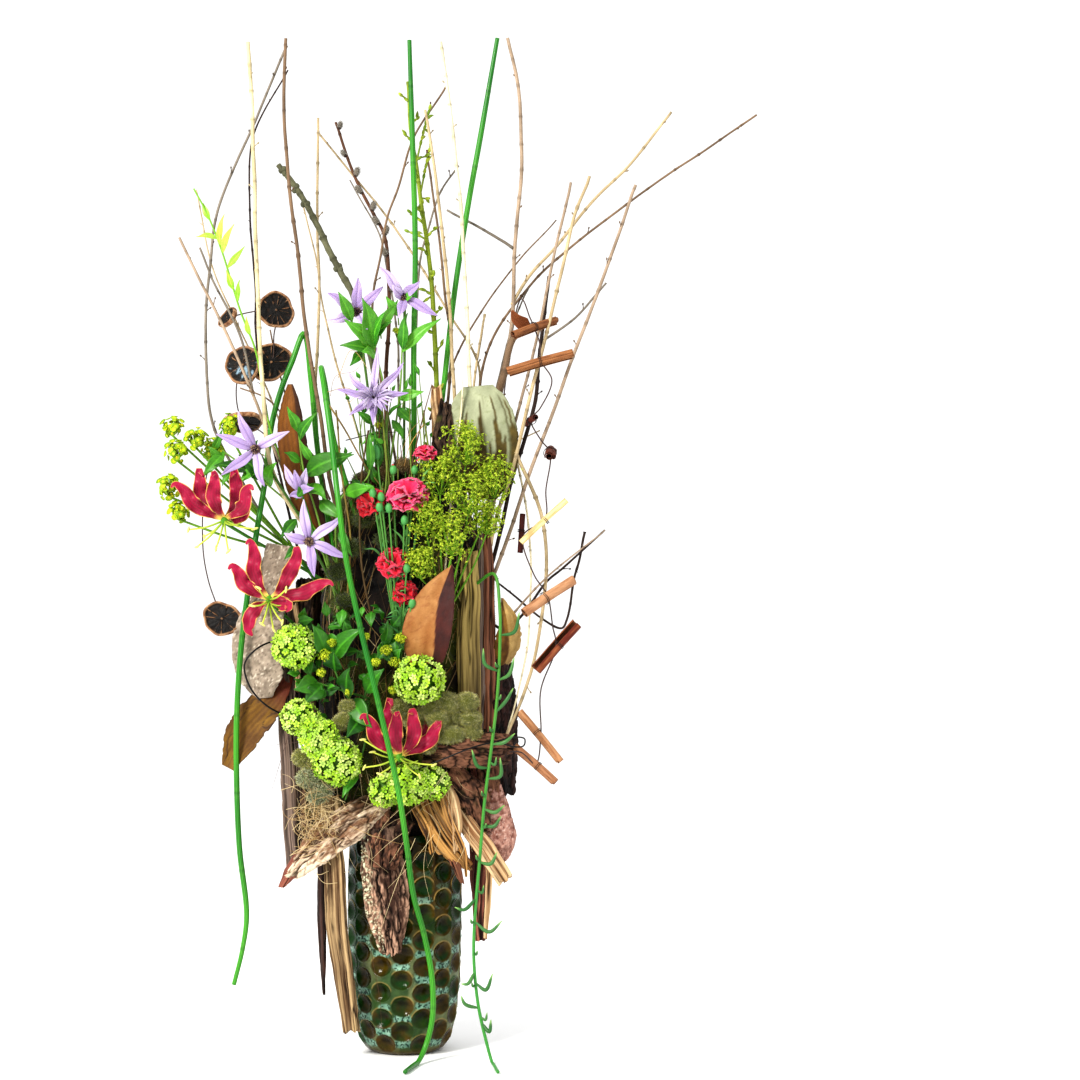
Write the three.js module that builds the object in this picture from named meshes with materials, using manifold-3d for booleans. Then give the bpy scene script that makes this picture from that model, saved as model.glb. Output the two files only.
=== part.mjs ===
// A tall ikebana arrangement in a dimpled glazed vase: a moss column clad with bark, slats and dried
// leaves, from which bare twigs, rushes, fresh blooms and trailing stems grow.
// Millimetres, +Z up, the front facing -Y. The origin is the middle of the vase's foot, on the surface.
import * as THREE from "three";
import { mergeVertices } from "three/addons/utils/BufferGeometryUtils.js";
import Module from "manifold-3d";

const wasm = await Module();
wasm.setup();

// ---------------------------------------------------------------- driving dimensions
const GAP = 0.3; // between pieces that touch
const PLANT_GAP = 0.8; // round blooms and leaves
const WOOD_GAP = 0.6; // round rough bark and split wood
const SLIVER = 0.15; // the size of sliver that a cut may leave, which is then dropped

const VASE_HEIGHT = 262;
const VASE_FOOT_RADIUS = 40;
const VASE_BELLY_RADIUS = 68;
const VASE_WALL = 9; // from the inside to the ridges between the dimples
const VASE_FLOOR = 9;
const DIMPLE_COLUMNS = 16;
const DIMPLE_PITCH = 31; // from one dimple to the next above it
const DIMPLE_DEPTH = 4;
const BALLAST_TOP = 82;
const BALLAST_PLAY = 1; // round the ballast

const DARK_GREEN = 0x1f6b2c;
const LIME = 0xa9cf3c;
const STRAW = 0xc9b27c;
const TWIG_BROWN = 0x8a6a4c;
const ROD_PINK = 0xa5705a;
const BARK = 0x6b5040;
const WEATHERED = 0x9c8664;
const RED_WOOD = 0x7d4a36;
const DRY_LEAF = 0xa5602a;
const LILAC = 0xa58bd0;
const CRIMSON = 0xc2173f;
const CARNATION_PINK = 0xe0476f;
const MANTLE_YELLOW = 0xb4c63a;
const CREST_GOLD = 0x9a8a3c;
const BUD_GREEN = 0x8fa03a;
const RUSH_GREEN = 0x2c7a35;
const BANANA_GREEN = 0x5f9a5a;
const CINNAMON = 0xb06a3c;
const SLICE_BROWN = 0x5b4636;
const BLACK = 0x1c1a19;
const GREY_BARK = 0x70735f;
const MOSS = 0x4a4a2a;
const GLAZE = 0x2f4a3a;
const GRAVEL = 0x77716a;
const SIDE_BARK = 0x5c4636;
const SPONGY_BARK = 0x8d5145;
const DARK_WOOD = 0x3d2c22;
const PALE_WOOD = 0xb5a06a;
const AMBER_WOOD = 0xa8662c;
const OCHRE_LEAF = 0x9a6a2c;
const FELT_GREY = 0x9d948a;
const PALE_LEAF = 0xb9baa6;
const TAN_LEAF = 0xa79060;

// ---------------------------------------------------------------- general shapes
const vec = (p) => (p.isVector3 ? p.clone() : new THREE.Vector3(...p));
const UP = vec([0, 0, 1]);
const FRONT = vec([0, -1, 0]);

// A repeatable stream of numbers from 0 to 1.
function randomFrom(seed) {
  let state = seed * 2654435761;
  return () => {
    state = (state + 0x6d2b79f5) | 0;
    let t = Math.imul(state ^ (state >>> 15), 1 | state);
    t = (t + Math.imul(t ^ (t >>> 7), 61 | t)) ^ t;
    return ((t ^ (t >>> 14)) >>> 0) / 4294967296;
  };
}

// The value at t, from 0 to 1, of a number or of an evenly spaced list of numbers.
function along(values, t) {
  if (typeof values === "number") return values;
  const place = Math.min(Math.max(t, 0), 1) * (values.length - 1);
  const low = Math.min(Math.floor(place), values.length - 2);
  return THREE.MathUtils.lerp(values[low], values[low + 1], place - low);
}

// Points and triangles as a solid, turned to face out.
function closedSolid(points, faces) {
  let volume = 0;
  for (const [a, b, c] of faces) volume += points[a].dot(points[b].clone().cross(points[c]));
  const turned = volume < 0 ? faces.map(([a, b, c]) => [a, c, b]) : faces;
  return new wasm.Manifold(
    new wasm.Mesh({
      numProp: 3,
      vertProperties: new Float32Array(points.flatMap((p) => p.toArray())),
      triVerts: new Uint32Array(turned.flat()),
    }),
  );
}

// A three.js geometry as a solid.
function solidOf(geometry) {
  geometry.deleteAttribute("normal");
  geometry.deleteAttribute("uv");
  const merged = mergeVertices(geometry, 1e-4);
  return new wasm.Manifold(
    new wasm.Mesh({
      numProp: 3,
      vertProperties: merged.attributes.position.array,
      triVerts: new Uint32Array(merged.index.array),
    }),
  );
}

// Rings of equal length joined into one solid. The far half of each ring takes the other diagonal,
// so that a thin blade's two faces are split alike.
function loft(rings) {
  const count = rings[0].length;
  const last = (rings.length - 1) * count;
  const faces = [];
  for (let i = 0; i + 1 < rings.length; i++) {
    for (let j = 0; j < count; j++) {
      const a = i * count + j;
      const b = i * count + ((j + 1) % count);
      const c = a + count;
      const d = b + count;
      if (2 * j < count) faces.push([a, b, d], [a, d, c]);
      else faces.push([a, b, c], [b, d, c]);
    }
  }
  for (let j = 1; j + 1 < count; j++) faces.push([0, j + 1, j], [last, last + j, last + j + 1]);
  return closedSolid(rings.flat(), faces);
}

const union = (solids) => solids.reduce((all, one) => all.add(one));

function ball(centre, radius, detail = 1, grow = 0) {
  const geometry = new THREE.IcosahedronGeometry(1, detail);
  const size = typeof radius === "number" ? [radius, radius, radius] : radius;
  geometry.scale(size[0] + grow, size[1] + grow, size[2] + grow);
  geometry.translate(...centre);
  return solidOf(geometry);
}

// Stations along a smooth curve, each with its place and tangent: at the path's own points, or evenly
// spaced where a number of steps is given.
function stations(path, steps, grow) {
  const curve = new THREE.CatmullRomCurve3(path.map(vec), false, "centripetal");
  const last = steps || path.length - 1;
  return Array.from({ length: last + 1 }, (_, i) => {
    const t = i / last;
    const tangent = steps ? curve.getTangentAt(t) : curve.getTangent(t);
    const point = steps ? curve.getPointAt(t) : curve.getPoint(t);
    const reach = i === 0 ? -grow : i === last ? grow : 0;
    return { t, tangent, place: point.addScaledVector(tangent, reach) };
  });
}

// A round stem along a path, of one radius or of a list of radii from foot to tip.
function stem({ path, radius, sides = 3, steps, grow = 0 }) {
  let normal = Math.abs(vec(path[1]).sub(vec(path[0])).normalize().y) > 0.9 ? vec([1, 0, 0]) : FRONT;
  const rings = stations(path, steps, grow).map(({ t, tangent, place }) => {
    normal = normal.clone().addScaledVector(tangent, -normal.dot(tangent)).normalize();
    const across = tangent.clone().cross(normal);
    const size = along(radius, t) + grow;
    return Array.from({ length: sides }, (_, j) => {
      const turn = (2 * Math.PI * j) / sides;
      return place
        .clone()
        .addScaledVector(normal, size * Math.cos(turn))
        .addScaledVector(across, size * Math.sin(turn));
    });
  });
  return loft(rings);
}

// The place on a path's straight stretches that is nearest to p.
function nearestOn(path, p) {
  const points = path.map(vec);
  const line = new THREE.Line3();
  const places = points.slice(1).map(
    (end, i) => line.set(points[i], end).closestPointToPoint(vec(p), true, new THREE.Vector3()),
  );
  return places.reduce((best, one) => (one.distanceTo(vec(p)) < best.distanceTo(vec(p)) ? one : best));
}

// A thin blade, such as a petal or leaf: a rib along the spine, thin edges, its face turned to out.
// fold lifts the edges by a share of the half width, and wave ripples them.
function blade({ spine, out, widths, thick = 1.4, fold = 0, wave = 0, waves = 2, steps = 4, grow = 0 }) {
  const rings = stations(spine, steps, grow).map(({ t, tangent, place }) => {
    const side = vec(out).cross(tangent).normalize();
    const face = tangent.clone().cross(side);
    const half = along(widths, t) / 2 + grow;
    const ripple = wave * Math.sin(t * waves * 2 * Math.PI);
    const edge = (sign) =>
      place
        .clone()
        .addScaledVector(side, sign * half)
        .addScaledVector(face, fold * half + sign * ripple);
    const rib = (sign) => place.clone().addScaledVector(face, sign * (thick / 2 + grow));
    return [edge(-1), rib(1), edge(1), rib(-1)];
  });
  return loft(rings);
}

// A slab of bark or split wood: eight-sided, bowed towards out, with rough faces and ragged ends. Its
// grown form has plain ends, past the longest fibre.
function slab({ spine, out, widths, thick, bow = 0, rough = 1.2, ragged = 5, seed, steps = 4, grow = 0 }) {
  const random = randomFrom(seed);
  const across = [-1, -0.36, 0.3, 1];
  const all = stations(spine, steps, grow);
  const rings = all.map(({ t, tangent, place }, i) => {
    const side = vec(out).cross(tangent).normalize();
    const face = tangent.clone().cross(side);
    const half = along(widths, t) / 2;
    const point = (u, sign) => {
      const lift = bow * (1 - u * u) + sign * (along(thick, t) / 2 + grow) + rough * (random() - 0.5);
      const end = i === 0 ? -0.5 : i === all.length - 1 ? 0.5 : 0;
      const tear = end && random() - 0.5;
      const torn = ragged * (grow ? end : tear);
      return place
        .clone()
        .addScaledVector(side, u * half + Math.sign(u) * grow + rough * (random() - 0.5))
        .addScaledVector(face, lift)
        .addScaledVector(tangent, torn);
    };
    return [...across.map((u) => point(u, 1)), ...across.toReversed().map((u) => point(u, -1))];
  });
  return loft(rings);
}

// Two directions at right angles to axis, for petals set round it.
function roundAxis(axis) {
  const a = vec(axis).normalize();
  const first = Math.abs(a.z) > 0.9 ? vec([1, 0, 0]) : UP;
  const u = first.clone().addScaledVector(a, -first.dot(a)).normalize();
  return { a, u, w: a.clone().cross(u) };
}

// ---------------------------------------------------------------- building the group
const arrangement = new THREE.Group();
const grown = []; // each finished piece a little larger, which later pieces are cut clear of

function boxesMeet(one, other) {
  const a = one.boundingBox();
  const b = other.boundingBox();
  return [0, 1, 2].every((k) => a.min[k] <= b.max[k] && b.min[k] <= a.max[k]);
}

function cutClear(solid, others) {
  return others.reduce((left, other) => (boxesMeet(left, other) ? left.subtract(other) : left), solid);
}

function largest(solid) {
  return solid.decompose().reduce((best, one) => (one.volume() > best.volume() ? one : best));
}

function show(name, solid, color, roughness = 0.8, metalness = 0) {
  const mesh = solid.getMesh();
  const geometry = new THREE.BufferGeometry();
  geometry.setAttribute("position", new THREE.BufferAttribute(new Float32Array(mesh.vertProperties), 3));
  geometry.setIndex(new THREE.BufferAttribute(new Uint32Array(mesh.triVerts), 1));
  geometry.computeVertexNormals();
  const shown = new THREE.Mesh(geometry, new THREE.MeshStandardMaterial({ color, roughness, metalness }));
  shown.name = name;
  arrangement.add(shown);
}

// Builds a piece, cuts it clear of the pieces before it, and keeps its grown form for those after it.
function place(name, color, build, { roughness = 0.8, gap = GAP } = {}) {
  const whole = build(0);
  const solid = largest(cutClear(whole, grown)).simplify(SLIVER);
  grown.push(build(gap));
  show(name, solid, color, roughness);
}

// ---------------------------------------------------------------- the vase and what fills it
// Outer radius against height, for the ridges between the dimples.
const VASE_PROFILE = [
  [0, VASE_FOOT_RADIUS],
  [4, 47],
  [16, 55],
  [38, 61],
  [80, 66],
  [150, VASE_BELLY_RADIUS],
  [215, 68],
  [250, 66],
  [VASE_HEIGHT, 64],
];

function profileRadius(z) {
  const next = Math.max(1, VASE_PROFILE.findIndex(([height]) => height >= z));
  const [z0, r0] = VASE_PROFILE[next - 1];
  const [z1, r1] = VASE_PROFILE[next];
  return THREE.MathUtils.lerp(r0, r1, (z - z0) / (z1 - z0));
}

// How deep the wall is pressed in at a height and a column, counted in half columns and half pitches.
function dimpleAt(halfColumn, halfPitch) {
  const centred = halfColumn % 2 === 0 && (halfPitch + halfColumn / 2) % 2 === 0;
  return centred ? DIMPLE_DEPTH : 0;
}

function vase(grow) {
  const sides = 2 * DIMPLE_COLUMNS;
  const ring = (z, radiusOf) =>
    Array.from({ length: sides }, (_, j) => {
      const turn = (2 * Math.PI * j) / sides;
      const radius = radiusOf(j);
      return vec([radius * Math.cos(turn), radius * Math.sin(turn), z]);
    });
  const rows = Math.floor((2 * (VASE_HEIGHT - 12)) / DIMPLE_PITCH);
  const outer = [ring(-grow, () => VASE_FOOT_RADIUS + grow)];
  for (let k = 1; k <= rows; k++) {
    const z = (k * DIMPLE_PITCH) / 2;
    outer.push(ring(z, (j) => profileRadius(z) + grow - dimpleAt(j, k)));
  }
  outer.splice(1, 0, ring(5, () => profileRadius(5) + grow));
  outer.push(ring(VASE_HEIGHT + grow, () => profileRadius(VASE_HEIGHT) - 2 + grow));
  const inside = [VASE_HEIGHT + grow, 60, 20, VASE_FLOOR - grow].map((z) =>
    ring(z, () => profileRadius(Math.min(z, VASE_HEIGHT)) - VASE_WALL - grow),
  );
  return loft([...outer, ...inside]);
}

// A stack of ovals: each is [height, half width, half depth, middle x, middle y].
function ovals(stack, sides, grow) {
  return loft(
    stack.map(([z, a, b, x = 0, y = 0]) =>
      Array.from({ length: sides }, (_, j) => {
        const turn = (2 * Math.PI * j) / sides;
        return vec([x + (a + grow) * Math.cos(turn), y + (b + grow) * Math.sin(turn), z]);
      }),
    ),
  );
}

function ballast() {
  const room = (z) => profileRadius(z) - VASE_WALL - BALLAST_PLAY;
  const radii = [VASE_FLOOR + GAP, 20, 60].map((z) => [z, room(z), room(z)]);
  return ovals([...radii, [BALLAST_TOP, room(60), room(60)]], 16, 0);
}

// The moss column: round inside the vase, then swelling above the rim into a flat oval.
function column(grow) {
  return ovals(
    [
      [BALLAST_TOP + GAP, 53.5, 53.5],
      [VASE_HEIGHT + 4, 53.5, 53.5],
      [290, 84, 57],
      [360, 105, 59, 0, 7],
      [520, 106, 59, 1, 8],
      [610, 94, 54, 2, 8],
      [664, 74, 45, -4, 8],
      [698, 46, 31, -8, 8],
    ],
    14,
    grow,
  );
}

// ---------------------------------------------------------------- bare twigs and green stems
// The twigs of a bunch are joined by a knot inside the column, and where they fork. Their feet stand
// side by side in it.
const KNOT = [26, 12, 9];
const KNOT_REACH = [15, 6]; // how far a foot stands from the middle of its knot
const LEFT_FOOT = [-62, 8, 566];
const LEFT_TWIGS = [
  {
    path: [
      [-123, -30, 634], [-154, -52, 693], [-165, -56, 798], [-172, -60, 951], [-176, -62, 1104],
      [-181, -64, 1195],
    ],
    radius: [2.6, 2.5, 2.2],
  },
  {
    path: [
      [-85, -12, 658], [-102, -30, 776], [-117, -30, 871], [-125, -30, 943], [-136, -30, 1026],
      [-142, -30, 1133], [-140, -30, 1206],
    ],
    radius: [2.4, 2.2, 1.9],
  },
  {
    path: [
      [-128, 22, 586], [-207, 24, 695], [-234, 18, 755], [-241, 14, 863], [-235, 14, 948], [-226, 14, 1008],
      [-185, 14, 1107], [-143, 14, 1206],
    ],
    radius: [1.9, 1.7, 1.5],
  },
  {
    path: [[-101, 20, 682], [-109, 20, 779], [-105, 20, 900], [-107, 20, 1021], [-106, 20, 1120]],
    radius: [1.9, 1.8, 1.4],
  },
  {
    path: [
      [-114, -2, 634], [-161, -12, 730], [-178, -20, 777], [-207, -28, 848], [-242, -32, 919],
      [-266, -34, 969],
    ],
    radius: [1.9, 1.8, 1.5],
  },
  {
    fork: true,
    path: [[-178, -20, 777], [-195, -22, 854], [-228, -24, 920], [-243, -24, 958]],
    radius: [1.6, 1.2],
  },
];
const MIDDLE_FOOT = [14, 24, 566];
const MIDDLE_TWIGS = [
  {
    path: [
      [41, 20, 610], [81, -16, 729], [79, -26, 800], [74, -28, 895], [67, -30, 1014], [57, -30, 1109],
      [44, -30, 1202],
    ],
    radius: [2.4, 2.3, 1.8],
  },
  {
    path: [
      [37, 6, 634], [59, -16, 723], [57, -18, 837], [50, -18, 932], [42, -18, 1010], [36, -18, 1054],
      [25, -18, 1123],
    ],
    radius: [2.2, 2.1, 1.5],
  },
  {
    path: [
      [-17, 26, 731], [-41, 22, 888], [-29, 27, 961], [-22, 28, 1004], [-10, 30, 1037], [8, 30, 1095],
      [49, 30, 1161],
    ],
    radius: [1.7, 1.5, 1.2],
  },
  {
    path: [[53, 28, 695], [89, 40, 814], [52, 52, 885], [8, 56, 957], [-24, 56, 1004], [-109, 56, 1108]],
    radius: [1.5, 1.4, 1.2],
  },
  {
    path: [[11, 38, 756], [16, 40, 948], [26, 42, 987], [41, 45, 1034], [63, 45, 1066]],
    radius: [1.6, 1.4, 1.1],
  },
];
const RIGHT_FOOT = [84, 12, 510];
const RIGHT_TWIGS = [
  {
    path: [
      [102, 10, 682], [110, 5, 778], [120, 8, 821], [128, 8, 875], [131, 8, 959], [139, 8, 1043],
      [137, 8, 1151], [123, 8, 1214],
    ],
    radius: [2.9, 2.6, 2.2, 2],
  },
  { fork: true, path: [[130, 8, 961], [90, 8, 985], [50, 8, 1007]], radius: [1.9, 1.3] },
  {
    fork: true,
    path: [
      [128, 8, 893], [149, 14, 929], [181, 18, 964], [231, 22, 1025], [271, 24, 1064], [321, 26, 1128],
    ],
    radius: [2, 1.5],
  },
  {
    path: [[87, 22, 731], [98, 22, 837], [150, 24, 918], [198, 26, 963], [283, 28, 1028], [425, 34, 1126]],
    radius: [1.6, 1.5, 1.2],
  },
  {
    path: [
      [119, -14, 600], [148, -20, 685], [177, -22, 760], [201, -22, 828], [228, -22, 896], [251, -22, 961],
      [276, -22, 1033],
    ],
    radius: [2.3, 2.1, 1.8],
  },
  {
    path: [
      [110, -24, 634], [129, -30, 693], [150, -32, 782], [168, -32, 847], [186, -32, 919], [204, -32, 996],
      [221, -32, 1042],
    ],
    radius: [2.3, 2.1, 1.8],
  },
  {
    path: [[105, -6, 646], [140, -8, 778], [160, -8, 861], [174, -8, 927], [186, -8, 981], [199, -8, 1038]],
    radius: [2, 1.8, 1.6],
  },
  {
    path: [
      [112, 4, 610], [126, 4, 674], [143, 4, 730], [156, 4, 778], [161, 4, 825], [166, 4, 874],
      [173, 4, 927],
    ],
    radius: [2.4, 2.4, 2.2],
  },
  { fork: true, path: [[163, 4, 848], [204, 12, 877], [231, 14, 908], [242, 14, 920]], radius: [1.6, 1.2] },
  { path: [[78, -2, 754], [96, -4, 881]], radius: [1.7, 1.3] },
  {
    fork: true,
    path: [[107, 8, 730], [112, 0, 785], [120, -9, 811], [127, -4, 844], [136, 4, 860]],
    radius: [4.2, 4.6, 3.4],
  },
  {
    fork: true,
    path: [
      [133, -29, 715], [164, -20, 640], [169, -14, 586], [166, -12, 538], [158, -14, 479], [141, -26, 423],
      [121, -44, 376],
    ],
    radius: [2.2, 2, 1.8],
  },
  {
    path: [[97, 4, 514], [119, 4, 502], [140, 5, 519], [170, 5, 560], [188, 5, 575], [240, 5, 622]],
    radius: [1.9, 1.6, 1.2],
  },
];
const GREY_BRANCH = [
  {
    path: [
      [-36, 0, 600], [-28, 2, 730], [-44, 0, 844], [-61, -2, 900], [-80, 0, 936], [-108, 2, 992],
      [-131, 4, 1033], [-153, 6, 1061],
    ],
    radius: [4.2, 4, 4, 3.8, 5.6, 3.8, 5.4, 4.4],
    sides: 5,
  },
];
const CATKIN_BRANCH = [
  {
    path: [
      [-16, 34, 590], [-25, 38, 780], [-22, 43, 902], [-28, 46, 982], [-40, 46, 1006], [-57, 46, 1039],
      [-72, 46, 1073], [-87, 46, 1119],
    ],
    radius: [3.2, 3, 2.8, 5.4, 2.6, 5.2, 2.4, 2],
    sides: 4,
  },
];
const BUDDED_STEM = [
  {
    path: [
      [30, 2, 600], [38, 2, 754], [37, 3, 814], [33, 5, 898], [27, 5, 959], [19, 5, 1019], [13, 5, 1061],
      [7, 5, 1103], [3, 5, 1161],
    ],
    radius: [3.2, 3, 2],
    sides: 4,
  },
];
const BUD_SPRIGS = [
  { from: [12, 5, 1064], to: [29, 6, 1128] },
  { from: [19, 5, 1025], to: [30, 7, 1084] },
  { from: [23, 5, 989], to: [7, 2, 1003] },
  { from: [25, 5, 971], to: [4, 9, 981] },
  { from: [33, 5, 904], to: [18, 1, 892] },
];
const RUSH_RADIUS = 3.2;
const RUSHES = {
  rush_tall_left: [
    [8, -12, 600], [11, -8, 742], [11, -12, 837], [13, -14, 956], [10, -14, 1076], [6, -14, 1207],
  ],
  rush_tall_right: [
    [48, -16, 600], [43, -6, 754], [49, -6, 814], [60, -6, 909], [78, -6, 1023], [90, -6, 1089],
    [111, -6, 1211],
  ],
  // Folded at the top, then down the front of the vase and along the surface.
  rush_front: [
    [-46, -24, 606], [-84, -18, 729], [-94, -24, 795], [-97, -40, 814], [-92, -62, 792], [-81, -88, 726],
    [-71, -114, 656], [-61, -122, 587], [-45, -128, 512],
    [-27, -132, 438], [-12, -134, 375], [-1, -128, 323], [8, -112, 258], [15, -97, 198], [27, -84, 149],
    [36, -79, 96], [36, -79, 50], [28, -83, 18], [20, -100, RUSH_RADIUS + 0.4],
    [8, -150, RUSH_RADIUS + 0.4],
  ],
  // Folded at the top, then hanging free on the left.
  rush_side: [
    [-84, -12, 590], [-104, -10, 718], [-112, -8, 801], [-120, -12, 857], [-134, -18, 822],
    [-145, -22, 793], [-157, -26, 748],
    [-165, -34, 675], [-172, -50, 622], [-181, -62, 551], [-189, -66, 481], [-194, -66, 399],
    [-194, -64, 316], [-191, -62, 246],
    [-183, -60, 169], [-188, -60, 128], [-198, -60, 87],
  ],
};

// Every twig of a bunch, joined.
const joined = (twigs) => (grow) => union(twigs.map((one) => stem({ ...one, grow })));

// Twigs that stand in a knot. One that names a fork starts from another twig instead.
function bunch(foot, twigs) {
  const knotted = twigs.map(({ path, fork, ...rest }) => {
    if (fork) return { path, ...rest };
    const shift = KNOT_REACH.map(
      (reach, k) => THREE.MathUtils.clamp(0.5 * (path[0][k] - foot[k]), -reach, reach),
    );
    return { path: [[foot[0] + shift[0], foot[1] + shift[1], foot[2]], ...path], ...rest };
  });
  return (grow) => union([ball(foot, KNOT, 0, grow), joined(knotted)(grow)]);
}

function buddedStem(grow) {
  const sprigs = BUD_SPRIGS.map(({ from, to }) => {
    const root = nearestOn(BUDDED_STEM[0].path, from);
    return stem({ path: [root, to], radius: [1.4, 1.3, 4, 0.8], steps: 3, grow });
  });
  return union([joined(BUDDED_STEM)(grow), ...sprigs]);
}

// ---------------------------------------------------------------- blooms
// Clematis: long pointed petals round a dark tuft. tips are where the petals end.
const CLEMATIS = {
  clematis_left: {
    heart: [-170, -80, 716],
    foot: [-68, -14, 548],
    tips: [[-190, -88, 760], [-130, -90, 737], [-159, -96, 672], [-208, -92, 684], [-215, -84, 735]],
  },
  clematis_low: {
    heart: [-106, -96, 608],
    foot: [-50, -24, 490],
    tips: [[-113, -104, 657], [-66, -104, 638], [-60, -98, 591], [-100, -106, 567], [-135, -98, 618]],
  },
  clematis_top: {
    heart: [1, -40, 897],
    foot: [0, -30, 630],
    tips: [[-26, -50, 933], [20, -58, 915], [41, -46, 875], [-5, -66, 871], [-12, -60, 909]],
  },
  clematis_back: {
    heart: [-55, -34, 880],
    foot: [-22, -26, 630],
    tips: [[-89, -44, 902], [-55, -30, 921], [-23, -38, 909], [-90, -40, 869], [-42, -62, 857]],
  },
  clematis_double: {
    heart: [-33, -62, 777],
    foot: [-8, -40, 610],
    tips: [
      [-76, -70, 785], [-62, -78, 757], [-65, -58, 807], [-29, -56, 837], [2, -66, 818], [8, -76, 783],
      [-34, -84, 744],
    ],
  },
};
const CLEMATIS_WIDTHS = [4, 15, 1];

function clematis({ heart, foot, tips }) {
  return (grow) => {
    const centre = vec(heart);
    const petals = tips.map((tip, i) => {
      const middle = centre.clone().lerp(vec(tip), 0.55).addScaledVector(FRONT, 5 + (i % 2) * 2.4);
      const base = centre.clone().lerp(vec(tip), 0.08);
      return blade(
        {
          spine: [base, middle, tip],
          out: FRONT,
          widths: CLEMATIS_WIDTHS,
          fold: 0.15,
          thick: 1.6,
          steps: 2,
          grow,
        },
      );
    });
    const back = centre.clone().addScaledVector(FRONT, -10);
    const heartTuft = ball(centre, 6.5, 0, grow);
    const stalk = stem({ path: [foot, back, centre], radius: [1.6, 1.8], sides: 4, grow });
    return union([...petals, heartTuft, stalk]);
  };
}

// Gloriosa: waved petals swept back from the heart, with long stamens and the stalk as a green piece.
const GLORIOSA = {
  gloriosa_left: {
    heart: [-207, -78, 633],
    foot: [-80, -10, 552],
    tips: [
      [-260, -92, 675], [-240, -70, 692], [-215, -98, 688], [-194, -70, 691], [-177, -96, 672],
      [-184, -58, 651],
    ],
    bulge: 11,
    stamens: [
      [-247, -92, 622], [-236, -100, 602], [-216, -84, 600], [-169, -98, 623], [-198, -112, 597],
      [-233, -60, 614],
    ],
  },
  gloriosa_middle: {
    heart: [-153, -92, 540],
    foot: [-84, -10, 466],
    tips: [
      [-172, -100, 609], [-117, -104, 600], [-193, -96, 580], [-179, -104, 506], [-84, -108, 561],
      [-125, -118, 534],
    ],
    bulge: 8,
    stamens: [
      [-170, -116, 534], [-158, -120, 513], [-135, -118, 515], [-130, -126, 553], [-162, -124, 555],
      [-147, -100, 506],
    ],
  },
  gloriosa_low: {
    heart: [-1, -96, 358],
    foot: [-6, -40, 350],
    tips: [
      [-40, -98, 406], [-15, -82, 424], [-3, -112, 411], [17, -104, 412], [34, -84, 407], [47, -100, 399],
    ],
    bulge: 9,
    stamens: [
      [-43, -108, 379], [-42, -100, 346], [-23, -116, 340], [23, -112, 337], [39, -100, 349],
      [-34, -76, 362],
    ],
  },
};
const GLORIOSA_WIDTHS = [4, 19, 18, 2];

function gloriosa({ heart, foot, tips, bulge, stamens }) {
  return (grow) => {
    const centre = vec(heart);
    const petals = tips.map((tip, i) => {
      const reach = vec(tip).sub(centre);
      const outward = vec([reach.x, reach.y + 4, 0]).normalize();
      const base = centre.clone().addScaledVector(reach, 0.04);
      const middle = centre.clone().addScaledVector(reach, 0.45).addScaledVector(outward, bulge * 0.6);
      const crook = vec(tip).addScaledVector(outward, i % 2 ? -3 : 3);
      return blade({
        spine: [base, middle, crook], out: FRONT, widths: GLORIOSA_WIDTHS,
        thick: 1.8, fold: 0.12, wave: 2.6, waves: 1.5, steps: 3, grow,
      });
    });
    const threads = stamens.map((tip) => {
      const reach = vec(tip).sub(centre);
      const base = centre.clone().addScaledVector(reach, 0.08);
      return stem({ path: [base, tip], radius: [1, 1.9], grow });
    });
    const back = centre.clone().addScaledVector(FRONT, -22).addScaledVector(UP, -4);
    const stalk = stem({ path: [foot, back, centre], radius: [2, 1.8, 2.4], sides: 4, grow });
    return union([stalk, ball(centre, 5, 0, grow), ...petals, ...threads]);
  };
}

const STAR_HOLLOW = 0.3; // from a star's middle to the middle of its faces, as a share of its radius
const FLORET_RELIEF = 0.2; // how deep the seams between the florets are, as a share of the radius

// A ball whose points stand out or lie back: shareAt gives each one's share of the radius, from how near
// its direction is to the nearest of an icosahedron's twelve corners, as a cosine.
function relief(centre, radius, detail, shareAt, grow) {
  const corners = new THREE.IcosahedronGeometry(1, 0).attributes.position;
  const geometry = new THREE.IcosahedronGeometry(1, detail);
  const { position } = geometry.attributes;
  const p = new THREE.Vector3();
  const corner = new THREE.Vector3();
  for (let i = 0; i < position.count; i++) {
    p.fromBufferAttribute(position, i);
    let nearest = -1;
    for (let k = 0; k < corners.count; k++) {
      corner.fromBufferAttribute(corners, k);
      nearest = Math.max(nearest, p.dot(corner));
    }
    p.multiplyScalar(radius * shareAt(nearest) + grow);
    position.setXYZ(i, p.x, p.y, p.z);
  }
  geometry.translate(...centre);
  return solidOf(geometry);
}

// A globe covered by 32 florets, which rise at the corners and face centres with seams between them.
const floretGlobe = (centre, radius, grow) =>
  relief(centre, radius, 2, (nearest) => (nearest > 0.85 && nearest < 0.99 ? 1 - FLORET_RELIEF : 1), grow);

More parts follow.
